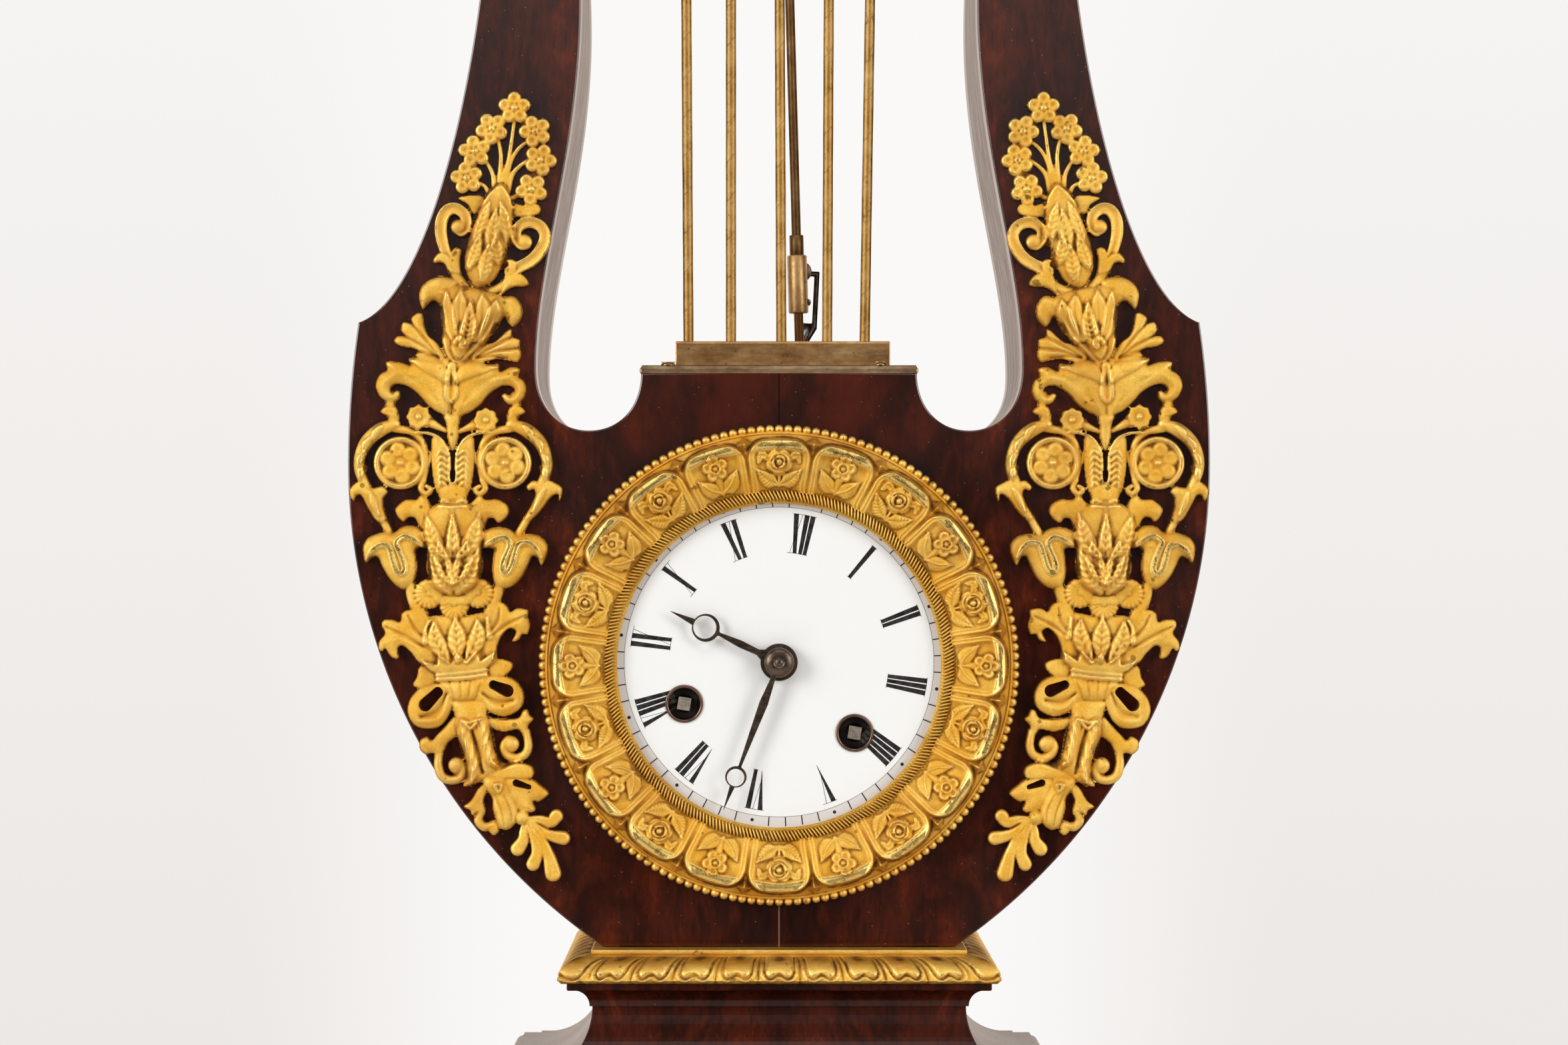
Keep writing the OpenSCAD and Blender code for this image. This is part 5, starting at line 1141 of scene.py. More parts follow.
def tail_leaves(r):
    """Leafy cup at the foot of the mount, with five round-ended leaves hanging from it."""
    root = np.array((-22, -106.6))
    for line, end in (([(-26, -106.8), (-29.2, -107.6), (-31, -105.8)], 4.2),
            ([(-27, -110.4), (-30, -111.8), (-33, -112.4)], 4.3),
            ([(-25.6, -111), (-28.4, -117), (-30, -123)], 5),
            ([(-24, -111.6), (-25.2, -116.6), (-24, -120.2)], 4.2),
            ([(-21.2, -110), (-21, -113), (-19.4, -115.6)], 4.4)):
        r.stroke([root] + line, [1.6, 2.6, 3.6, end], 1.5, 1.3, "flat")
        r.dome(line[-1], end / 2, 1.6, 1.2)
        r.carve([root, line[0]], 0.5, 0.4)
    r.shape([(-15, -95), (-18, -94.4), (-23.6, -94.8), (-26, -96.4), (-28.7, -99), (-26, -101.3),
        (-24, -101.4), (-24.7, -104), (-22.4, -104.7), (-20.4, -104.4), (-18, -102.4), (-15.6, -99)],
        1.7, 1.7, 2.2, 0.3)
    r.hole([(-22.8, -97), (-19, -95.8)], [1.6, 2.2])
    r.shape([(-9.4, -96), (-7.6, -97.4), (-5.4, -101), (-3.2, -102.9), (-5, -104), (-5.8, -105.5),
        (-7.6, -104.7), (-9.8, -104.6), (-9.2, -101), (-10.4, -98)], 1.6, 1.6, 1.6, 0.3)
    r.stroke([(-8.6, -104.6), (-7.6, -107), (-9.4, -109), (-11.6, -108.4)], [2.2, 2.8, 2.8, 2], 1.5, 1.5)
    r.shape([(-9.6, -108.6), (-12.2, -111.6), (-14, -109.6), (-12.6, -107)], 1.6, 1.2, 1.2)
    r.shape([(-9.4, -94), (-15, -93.8), (-17.4, -98), (-19.6, -103.6), (-18.6, -108), (-16.4, -109.8),
        (-13.8, -108.8), (-12, -104), (-11.6, -100), (-9.2, -97)], 2.1, 2.2, 3)
    r.shape([(-15.2, -95.8), (-12, -96), (-13.9, -99)], 0.3, 0.7, 0.8, 0.2, True)
    r.carve([(-13.8, -96.8), (-13.9, -97.6)], 1.2, 0.9)
    for line in ([(-12.4, -99), (-14.6, -104), (-15.6, -108.6)], [(-15.4, -99.4), (-17.4, -104),
            (-17.6, -107.4)]):
        r.carve(line, [0.4, 0.9, 0.4], 0.6)
    r.dome((-20.6, -106.2), 2.3, 1.8, 2)


def draw_mount(r):
    """Lays all pieces of a mount, the later ones over the earlier ones where they are higher."""
    for piece in (bouquet, lobed_sprays, husk, bellflower, lily, trumpets, rings, outer_cups,
            folded_lilies, bell, crown, bow, twist, tail_leaves):
        piece(r)


# Lyre body
SEAM = 0.05
WALL = 12.0
WAY_HALF = 17.0
SHOULDER_R = 290.0
SHOULDER_RISE = 42.4
FRONT_OPENING = 60.0
BACK_OPENING = 62.0
CORE_HALF = HALF_DEPTH - BOARD
WAY_BACK = -20.5
WAY_FRONT = -6.5


def bowl_arc(wall, count):
    """Side of the bowl from its foot to its widest place, a wall inside the outline."""
    step = BOWL_HALF - FOOT_HALF
    bowl_r = (step ** 2 + BOWL_RISE ** 2) / (2 * step)
    low = math.degrees(math.asin((BOWL_RISE - wall) / (bowl_r - wall)))
    return arc((BOWL_HALF - bowl_r, Z_WIDE), bowl_r - wall, -low, 0, count)


def half_outline():
    """Right half of the lyre, from the foot up the outside of the arm and down the inside to the neck."""
    top = math.degrees(math.asin(SHOULDER_RISE / SHOULDER_R))
    bowl = bowl_arc(0.0, 60)
    shoulder = arc((BOWL_HALF - SHOULDER_R, Z_WIDE), SHOULDER_R, 0, top, 16)
    waist_out = np.array([BOWL_HALF - 39.5, Z_WIDE + 139.2])
    waist_in = np.array([BOWL_HALF - 69.9, Z_WIDE + 139.2])
    side = np.array([BOWL_HALF - 56.4, Z_WIDE + 29])
    low_point = np.array([NECK_HALF + 15.6, Z_WIDE + 10])
    toward_out = SCROLL + (12, -12)
    toward_in = SCROLL + (-12.4, 11.6)
    lower = bezier((shoulder[-1], (BOWL_HALF - 19.9, Z_WIDE + 48), (BOWL_HALF - 33.4, Z_WIDE + 93),
        waist_out), 40)
    upper = bezier((waist_out, (BOWL_HALF - 45.2, Z_WIDE + 177), (BOWL_HALF - 46.4, Z_WIDE + 225),
        toward_out), 40)
    start = math.degrees(math.atan2(toward_out[1] - SCROLL[1], toward_out[0] - SCROLL[0]))
    end = math.degrees(math.atan2(toward_in[1] - SCROLL[1], toward_in[0] - SCROLL[0]))
    scroll = arc(SCROLL, SCROLL_R, start, end, 40)
    inner = [bezier((toward_in, (BOWL_HALF - 59.4, Z_WIDE + 233), waist_in + (0, 43.8), waist_in), 40),
        bezier((waist_in, waist_in - (0, 44.2), side + (0, 31), side), 40)]
    valley = [bezier((side, side - (0, 13), low_point + (8.5, 0), low_point), 24),
        bezier((low_point, low_point - (10, 0), (NECK_HALF, Z_NECK - 9.2), (NECK_HALF, Z_NECK)), 24)]
    outside = [bowl, shoulder[1:], lower[1:], upper[1:], scroll[1:-1]]
    return np.concatenate(outside + [c[1:] for c in inner + valley])


OUTLINE = half_outline()


def board_outline(hole_r):
    """The half outline closed along the middle joint, with half of the round opening."""
    hole = arc((0, Z_BEZEL), hole_r, 90, -90, 48)
    hole[[0, -1], 0] = SEAM
    hole[:, 0] = np.maximum(hole[:, 0], SEAM)
    return np.concatenate([[(SEAM, Z_LYRE)], OUTLINE, [(SEAM, Z_NECK)], hole])


def core_outline(notch):
    """The half outline with the hollow for the works, and the way up the neck where notch is set."""
    top = [(BOWL_HALF - 57.4, Z_WIDE + 2), (56, Z_WIDE - 1)]
    hollow = np.concatenate([[(0, Z_LYRE + WALL)], bowl_arc(WALL, 40), top])
    half_way = WAY_HALF if notch else 0
    way = [(half_way, Z_NECK), (half_way, Z_WIDE - 1)]
    return np.concatenate([[(0, Z_LYRE)], OUTLINE, way, hollow[::-1]])


def at_seam(p):
    """Picks the points on the joint between the two halves."""
    return np.abs(p[:, 0]) < 2 * SEAM


def mirrored(outline, side):
    return outline * (side, 1)


for side, word in ((-1, "left"), (1, "right")):
    pile = Pile()
    slab(pile, mirrored(board_outline(FRONT_OPENING), side), -Y_FACE - BOARD, -Y_FACE, facing_front, 0,
        0.45, at_seam)
    show("front_board_" + word, pile, MAHOGANY, hides="front_" + word, smooth=False)
    pile = Pile()
    for notch, low, high in ((False, WAY_FRONT, CORE_HALF), (True, WAY_BACK, WAY_FRONT),
            (False, -CORE_HALF, WAY_BACK)):
        slab(pile, mirrored(core_outline(notch), side), low, high, facing_front)
    show("core_frame_" + word, pile, SIDE_WOOD, hides="core_" + word, smooth=False)
pile = Pile()
for side in (-1, 1):
    slab(pile, mirrored(board_outline(BACK_OPENING), side), -HALF_DEPTH, -CORE_HALF, facing_front, 0.45, 0)
show("back_boards", pile, MAHOGANY, hides="back_board", smooth=False)


# Base
CORNER_R = 0.4
PLINTH_X = 83.0
PLINTH_Y = 72.0
FLARE_R = 22.0
HOLLOW_R = 5.2
FOOT_X = 69.0
FOOT_Y = 58.0
FOOT_R = 14.0
FOOT_TALL = 13.0
FRAME_X = FOOT_HALF + 3.3
FRAME_Y = HALF_DEPTH + 8.4


def mitred(pile, profile, half_x, half_y):
    """A moulding run round a rectangle: profile points are (how far out, height)."""
    rings = [flat_up(box_outline(half_x + out, half_y + out, CORNER_R, 3), z) for out, z in profile]
    pile.add(np.concatenate(rings), sheet_faces(len(rings), len(rings[0]), close_cols=True))
    for ring, flip in ((rings[-1], 1), (rings[0], -1)):
        pile.add(ring, tris=flat_caps(ring[:, :2])[:, ::flip])


pile = Pile()
low, high = (c.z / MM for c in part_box("plinth"))
round_top = [(3 * math.sin(a), high - 4 + 3 * math.cos(a)) for a in np.linspace(math.pi / 2, 0.15, 8)]
mitred(pile, [(2.4, low), (3, low + 0.6)] + round_top + [(0, high - 1), (0, high)], PLINTH_X, PLINTH_Y)
show("plinth_block", pile, FOOT_WOOD, hides="plinth", smooth=False)
pile = Pile()
low, high = (c.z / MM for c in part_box("pedestal"))
flare = [(FLARE_R + 1 - FLARE_R * math.sin(a), high - FLARE_R * math.cos(a))
    for a in np.linspace(0.05, math.pi / 2, 26)]
mitred(pile, [(FLARE_R + 0.4, low), (FLARE_R + 0.4, low + 1)] + flare, FRAME_X - 1.3, FRAME_Y - 1.3)
show("pedestal_flare", pile, FOOT_WOOD, hides="pedestal", smooth=False)
pile = Pile()
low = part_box("cavetto")[0].z / MM
hollow = [(HOLLOW_R - HOLLOW_R * math.cos(a), low + HOLLOW_R * math.sin(a))
    for a in np.linspace(0, math.pi / 2, 14)]
mitred(pile, hollow + [(6.2, low + 5.3), (6.5, low + 5.6), (6.5, low + 7.2), (6.2, low + 7.5)],
    FRAME_X + 0.5, FRAME_Y + 0.5)
mitred(pile, [(0, low + 7.5), (0, Z_LYRE)], FOOT_HALF, HALF_DEPTH)
show("hollow_moulding", pile, FOOT_WOOD, hides="cavetto", smooth=False)
for word, sx, sy in (("front_left", -1, -1), ("front_right", 1, -1), ("back_left", -1, 1),
        ("back_right", 1, 1)):
    pile = Pile()
    belly = [(1 + 13 * math.cos(a), 5.85 + 13 * math.sin(a)) for a in np.linspace(-0.46, 0.57, 18)]
    bun = [(0.01, 0), (FOOT_R - 0.5, 0)] + belly + [(0.01, FOOT_TALL)]
    bun = [(min(x, FOOT_R), min(max(z, 0.0), FOOT_TALL)) for x, z in bun]
    turned(pile, bun, (sx * FOOT_X, sy * FOOT_Y, 0), "z", 64)
    show("bun_foot_" + word, pile, FOOT_WOOD, hides="foot_" + word)


# Meshes of the mounts
def box_blur(a, reach):
    """Mean over a square window, quick for any reach."""
    p = np.pad(a, ((reach + 1, reach), (reach + 1, reach)), mode="edge").cumsum(0).cumsum(1)
    k = 2 * reach + 1
    return (p[k:, k:] - p[:-k, k:] - p[k:, :-k] + p[:-k, :-k]) / k ** 2


def soften(a, mask, reach):
    """Mean over the points inside a mask."""
    weight = box_blur(mask.astype(float), reach)
    return box_blur(a * mask, reach) / np.maximum(weight, 1e-6)


def relief_points(r, step):
    """Heights, hollow darkening and polish of a finished relief: painted shade in the hollows, burnish and
    painted highlight on the raised parts.
    """
    inside = r.edge > 0
    h = np.where(inside, r.height, r.rim)
    known = r.edge > -Relief.MARGIN
    h = np.where(inside, 0.5 * h + 0.5 * soften(h, inside, 1), h)
    nearby = soften(h, known, max(1, int(round(0.9 / step))))
    wide = soften(h, known, max(1, int(round(2.4 / step))))
    # Painted shade: the further a point lies below its surroundings, the darker it is painted.
    cavity = np.clip((nearby - h - 0.05) / 0.34, 0, 1) * 0.85 + np.clip((wide - h - 0.3) / 0.9, 0, 1) * 0.5
    # Painted highlight and burnish on points that stand above their surroundings and on the parts drawn as
    # polished.
    shine = np.maximum(soften(r.shine, inside, 1), np.clip((h - nearby - 0.07) / 0.34, 0, 0.85))
    return h, np.clip(cavity, 0, 1), shine


def relief_mesh(r, step, lift):
    """Mesh of a relief on an even grid, with side walls down to the ground. lift gives points in space."""
    h, cavity, shine = relief_points(r, step)
    corner = r.edge > 0
    far = r.edge > -Relief.MARGIN
    some = corner[:-1, :-1] | corner[1:, :-1] | corner[:-1, 1:] | corner[1:, 1:]
    every = far[:-1, :-1] & far[1:, :-1] & far[:-1, 1:] & far[1:, 1:]
    rows, cols = np.nonzero(some & every)
    width = r.x.shape[1]
    quads = np.stack([rows * width + cols, rows * width + cols + 1, (rows + 1) * width + cols + 1,
        (rows + 1) * width + cols], 1)
    slope_y, slope_x = np.gradient(r.edge, step)
    size = np.maximum(slope_x ** 2 + slope_y ** 2, 0.3)
    move = np.where(corner, 0, np.clip(-r.edge, 0, 1.3 * step)) / size
    x = r.x + move * slope_x
    y = r.y + move * slope_y
    used, quads = np.unique(quads, return_inverse=True)
    quads = quads.reshape(-1, 4)
    x, y, h = x.ravel()[used], y.ravel()[used], h.ravel()[used]
    cavity, shine = cavity.ravel()[used], shine.ravel()[used]
    edges = np.concatenate([quads[:, [0, 1]], quads[:, [1, 2]], quads[:, [2, 3]], quads[:, [3, 0]]])
    key = edges.min(1).astype(np.int64) * len(used) + edges.max(1)
    _, first, counts = np.unique(key, return_index=True, return_counts=True)
    rim = edges[first[counts == 1]]
    low, again = np.unique(rim, return_inverse=True)
    again = again.reshape(-1, 2) + len(used)
    walls = np.column_stack([rim[:, 1], rim[:, 0], again[:, 0], again[:, 1]])
    verts = np.concatenate([lift(x, y, h), lift(x[low], y[low], np.zeros(len(low)))])
    # The side walls down to the ground are painted in shade.
    attributes = {"cavity": np.concatenate([cavity, np.full(len(low), 0.9)]),
        "shine": np.concatenate([shine, np.zeros(len(low))])}
    return verts, np.concatenate([quads, walls]), attributes


MOUNT_STEP = 0.31
grid_x, grid_y = np.meshgrid(np.arange(-37.5, 33.5, MOUNT_STEP), np.arange(-128.0, 113.0, MOUNT_STEP))
mount = Relief(grid_x, grid_y)
draw_mount(mount)
for side, word in ((-1, "left"), (1, "right")):
    def lift(x, y, h):
        return np.column_stack([side * (MOUNT_AT[0] + x), Y_FACE - h, MOUNT_AT[1] + y])
    verts, faces, attributes = relief_mesh(mount, MOUNT_STEP, lift)
    mesh = make_mesh("mount", verts, [faces[:, ::side]], attributes)
    show("openwork_" + word, mesh, GILT, hides="mount_" + word)


# Bezel
PANELS = 20
PANEL_STEPS = 66
PANEL_ROWS = 64
BEZEL_IN = 52.0
BEZEL_OUT = 69.2


def panel_field(x, y):
    """Distance inside a bezel panel, and from its round outer end. Its straight sides widen outwards."""
    half = np.interp(y, (53, 64, 70), (8.0, 9.7, 10.3))
    corner = 5.6
    from_end = 67.9 - y - 0.018 * x ** 2
    off_x = np.maximum(np.abs(x) - (half - corner), 0)
    off_y = np.maximum(corner - from_end, 0)
    rounded = corner - np.hypot(off_x, off_y)
    in_corner = (off_x > 0) & (off_y > 0)
    return np.where(in_corner, rounded, np.minimum(half - np.abs(x), from_end)), from_end


def rose(r):
    """A full rose over two serrated leaves, with a small leaf on each side of it."""
    for side in (-1, 1):
        r.flip = side
        r.stroke([(0.6, 54.2), (3.4, 55.6), (6.6, 58.6)], [1.6, 4.6, 3.6, 0.6], 0.3, 0.8, "leaf", 0.2, 9)
        r.stroke([(2.6, 61.6), (5.2, 62.6), (6, 60.6)], [1.8, 2.4, 1], 0.3, 0.6, "leaf", 0, 5)
    r.stroke([(0, 53.6), (0, 57.6)], 0.9, 0.4, 0.5)
    for k in range(5):
        a = math.radians(54 + 72 * k)
        r.dome((2.1 * math.cos(a), 60.6 + 2.1 * math.sin(a)), 2.0, 0.5, 0.9)
    for a, size in ((200, 2.9), (330, 2.8), (80, 2.7), (150, 1.9), (20, 1.8), (270, 1.5)):
        ring = [(size * math.cos(math.radians(a + t)), 60.6 + size * math.sin(math.radians(a + t)))
            for t in (0, 35, 70, 105)]
        r.stroke(ring, [0.4, 1.0, 0.9, 0.3], 1.1 + (2.9 - size) * 0.4, 0.7, "round", 0.5)
    r.dome((0.1, 60.7), 0.9, 1.9, 0.5, 0.4)


def open_flower(r):
    """A five-petalled flower with a cup in it, over two plain leaves."""
    for side in (-1, 1):
        r.flip = side
        r.stroke([(0.5, 54.2), (3, 55.8), (6, 59.4)], [1.4, 4.8, 4.2, 0.6], 0.3, 0.8, "leaf", 0.2)
        r.stroke([(0.5, 54.2), (3, 55.8), (5, 58.2)], 0.5, 1.0, 0.35, "round", 0.6)
    r.stroke([(0, 53.6), (0, 58)], [0.9, 1.2, 2.4], 0.5, 0.7)
    r.flower((0, 61.6), 4.0, 5, 0.6, 1.0, 0.2, 90)
    ring = [(1.5 * math.cos(t), 61.6 + 1.5 * math.sin(t)) for t in np.linspace(0, 2 * math.pi, 17)]
    r.stroke(ring, 0.6, 1.4, 0.5, "round", 0.7, 0, False)


def panel_heights(draw):
    """Heights, hollow darkening and polish of one panel sector on a polar grid: painted shade in the hollows
    and between the panels, burnish and painted highlight on the crests and ridges.
    """
    radius = np.linspace(BEZEL_IN, BEZEL_OUT, PANEL_ROWS)
    angle = (np.arange(PANEL_STEPS) / PANEL_STEPS - 0.5) * 2 * math.pi / PANELS
    a, rad = np.meshgrid(angle, radius, indexing="ij")
    x = rad * np.sin(a)
    y = rad * np.cos(a)
    inside, from_end = panel_field(x, y)
    within_crest = np.minimum(inside, from_end - 1.7)
    swell = np.interp(y, (52, 55, 58, 61, 63.5, 65.4, 66.6, 67.4, 68, 69.5),
        (5.3, 6.5, 7.7, 8.5, 9.0, 9.5, 9.4, 8.7, 7.0, 4.2))
    ground = np.interp(rad, (52, 54, 58, 62, 64, 66, 68, 69.4), (4.7, 5.7, 6.9, 7.7, 7.3, 5.8, 4.2, 3.4))
    border = 0.42 * hump(inside, 0.5, 0.36) + 0.35 * hump(within_crest, 1.55, 0.34)
    field = -0.6 * step_up(within_crest, 1.7, 3.2) + 0.5 * np.clip(1 - ((from_end - 1.6) / 1.7) ** 2, 0, 1)
    h = ground + (swell - ground) * step_up(inside, -0.5, 0.35) + (border + field) * (inside > -0.4)
    half_pitch = math.pi / PANELS
    bud_x = (half_pitch - np.abs(a)) * rad
    bud = np.clip(1 - bud_x / 2.5 - np.abs(rad - 66.9) / 2.3, 0, 1)
    h = h + np.where(inside < 0.3, 3.2 * bud, 0)
    relief = Relief(x, y)
    draw(relief)
    h = h + np.where((relief.edge > 0) & (inside > 0), relief.height, 0) * 1.15
    # Painted highlight and burnish on the round outer end of each panel.
    crest = step_up(3.5 - from_end, 0, 0.6) * step_up(inside, 0.1, 0.8)
    blur = box_blur(h, 3)
    # Painted shade in the hollows and on the ground between the panels.
    cavity = np.clip((blur - h - 0.05) / 0.45, 0, 1) * 0.8 + 0.3 * step_up(-inside, 0.1, 0.8) * (1 - bud)
    # Painted highlight on the ridges.
    ridge = np.clip((h - blur - 0.1) / 0.4, 0, 0.7)
    return h, np.clip(cavity, 0, 1), np.maximum(crest, ridge)


def ring_points(h, radius_low, radius_high):
    """Points of a whole ring from its heights, one row for each direction."""
    count = h.shape[0]
    a = (np.arange(count) / count) * 2 * math.pi - math.pi / PANELS
    radius = np.linspace(radius_low, radius_high, h.shape[1])
    x = radius[None, :] * np.sin(a)[:, None]
    z = radius[None, :] * np.cos(a)[:, None]
    return np.stack([x, Y_FACE - h, Z_BEZEL + z], -1).reshape(-1, 3)


sectors = [panel_heights(rose), panel_heights(open_flower)]
whole = [np.concatenate([sectors[k % 2][part] for k in range(PANELS)]) for part in range(3)]
verts = ring_points(whole[0], BEZEL_IN, BEZEL_OUT)
faces = sheet_faces(whole[0].shape[0], PANEL_ROWS, close_rows=True)
marks = {"cavity": whole[1].ravel(), "shine": whole[2].ravel()}
show("bezel_panels", make_mesh("panels", verts, [faces], marks), GILT, hides="bezel")

pile = Pile()
turned(pile, [(69.0, -3.2), (69.3, -3.8), (69.7, -3.9), (70.0, -3.3), (70.2, -2.4), (70.7, -1.6),
    (70.9, 0)], (0, Y_FACE, Z_BEZEL), "y", 240)
turned(pile, [(59.6, 0), (59.6, 9), (51.4, 9), (51.4, -2.6), (48.6, -2.6), (48.5, -3.4), (49.2, -4.6),
    (50.9, -4.6), (51.8, -4.3), (52.5, -4.0)], (0, Y_FACE, Z_BEZEL), "y", 240)
show("bezel_rim", pile, GILT)


def ring_group():
    """Sets copies of a shape round a circle in X and Z, each turned to face outwards."""
    tree = bpy.data.node_groups.new("round_the_ring", "GeometryNodeTree")
    for key, kind in (("Geometry", "Geometry"), ("Count", "Int"), ("Radius", "Float"),
            ("Level", "Float"), ("Height", "Float"), ("Finish", "Material")):
        tree.interface.new_socket(key, in_out="INPUT", socket_type="NodeSocket" + kind)
    tree.interface.new_socket("Geometry", in_out="OUTPUT", socket_type="NodeSocketGeometry")
    n = Nodes(tree)
    given = tree.nodes.new("NodeGroupInput").outputs
    points = n.add("GeometryNodePoints", inputs={"Count": given["Count"]})
    share = n.math("DIVIDE", n.add("GeometryNodeInputIndex"), given["Count"])
    angle = n.times(share, 2 * math.pi)
    x = n.times(n.math("SINE", angle), given["Radius"])
    z = n.math("ADD", n.times(n.math("COSINE", angle), given["Radius"]), given["Height"])
    place = n.add("ShaderNodeCombineXYZ", inputs={0: x, 1: given["Level"], 2: z})
    moved = n.add("GeometryNodeSetPosition", inputs={"Geometry": points, "Position": place})
    facing = n.add("ShaderNodeCombineXYZ", inputs={1: angle})
    copies = n.add("GeometryNodeInstanceOnPoints", inputs={"Points": moved,
        "Instance": given["Geometry"], "Rotation": facing})
    real = n.add("GeometryNodeRealizeInstances", inputs={0: copies})
    painted = n.add("GeometryNodeSetMaterial", inputs={"Geometry": real, "Material": given["Finish"]})
    n.feed(tree.nodes.new("NodeGroupOutput").inputs[0], painted)
    return tree


RING_GROUP = ring_group()


def round_the_ring(name, seed_mesh, **values):
    """Plain mesh of a shape repeated round a circle."""
    holder = bpy.data.objects.new(name + "_seed", seed_mesh)
    repeat = holder.modifiers.new("ring", "NODES")
    repeat.node_group = RING_GROUP
    for item in RING_GROUP.interface.items_tree:
        if item.in_out == "INPUT" and item.name in values:
            repeat[item.identifier] = values[item.name]
    return finished(holder)


def grid_ball(radius, rows, cols, stretch=(1, 1, 1)):
    """A ball of quads with its poles to front and back."""
    u = np.linspace(0.02, math.pi - 0.02, rows)
    v = np.linspace(0, 2 * math.pi, cols, endpoint=False)
    u, v = np.meshgrid(u, v, indexing="ij")
    p = np.stack([np.sin(u) * np.cos(v), -np.cos(u), np.sin(u) * np.sin(v)], -1)
    p = p * radius * np.array(stretch)
    return p.reshape(-1, 3), sheet_faces(rows, cols, close_cols=True)


bead, bead_faces = grid_ball(1.33, 12, 18)
# Painted shade on the back half of each bead, towards the case and between the beads, and a painted
# highlight on its front.
wear_and_shading = {"cavity": np.clip((bead[:, 1] + 0.1) / 0.9, 0, 1), "shine": np.clip(-bead[:, 1] / 1.3, 0, 1) * 0.7}
beads = round_the_ring("beads", make_mesh("bead", bead, [bead_faces], wear_and_shading), Finish=GILT, Count=160,
    Radius=70.75 * MM, Level=(Y_FACE - 2.2) * MM, Height=Z_BEZEL * MM)
show("bezel_beads", beads, GILT)

rib, rib_faces = grid_ball(1.0, 10, 12, (0.41, 1.1, 2.25))
lean = math.radians(-28)
rib = np.column_stack([rib[:, 0] * math.cos(lean) + rib[:, 2] * math.sin(lean) * 0.9, rib[:, 1],
    rib[:, 2] * math.cos(lean) - rib[:, 0] * math.sin(lean)])
# Painted shade over the back of each rib, with some grime, and a painted highlight on its front edge.
wear_and_shading = {"cavity": np.clip((rib[:, 1] + 0.8) / 0.6, 0, 1), "shine": np.clip(-rib[:, 1] - 0.5, 0, 0.6)}
rope = round_the_ring("rope", make_mesh("rib", rib, [rib_faces], wear_and_shading), Finish=GILT, Count=300,
    Radius=50.8 * MM, Level=(Y_FACE - 5.0) * MM, Height=Z_BEZEL * MM)
show("bezel_rope", rope, GILT)


# Leaf frame under the lyre
LEAF_PITCH = 11.8
FRAME_OUT = 9.5
OVOLO_TOP = Z_LYRE - 2.0


def leaf_heights(run, down, leaves, half):
    """Relief of a row of hanging leaves with a wide one on each corner. down goes from 0 to 1."""
    half_row = leaves / 2
    number = np.clip(np.round(run / LEAF_PITCH), 0.5 - half_row, half_row - 0.5)
    e = run - number * LEAF_PITCH
    at_corner = np.abs(run) > half_row * LEAF_PITCH
    e = np.where(at_corner, half - np.abs(run), e)
    across = np.abs(e)
    width = np.where(at_corner, half - half_row * LEAF_PITCH - 1.7, 4.15) + 0.9 * np.exp(-down / 0.16)
    bottom = 0.87 - 0.13 * hump(e, 0, 1.5)
    lower = (bottom - down) * 8.4
    corner = 2.2
    beyond_x = np.maximum(across - (width - corner), 0)
    beyond_y = np.maximum(corner - lower, 0)
    rounded = corner - np.hypot(beyond_x, beyond_y)
    inside = np.where((beyond_x > 0) & (beyond_y > 0), rounded, np.minimum(width - across, lower))
    arched = np.clip(1 - (e / width) ** 2, 0, 1)
    h = 0.5 * step_up(inside, -0.1, 0.7) + 0.4 * arched * step_up(inside, 0, 1.5)
    h += 0.5 * hump(inside, -0.72, 0.34) - 0.35 * hump(inside, -0.12, 0.26)
    h -= 0.45 * hump(across, LEAF_PITCH / 2, 0.3) * (down < 0.9) * ~at_corner
    vein = 0.25 * hump(e, 0, 1.1) * step_up(down, 0.55, 0.74) * (inside > 0)
    return h + vein, inside, across


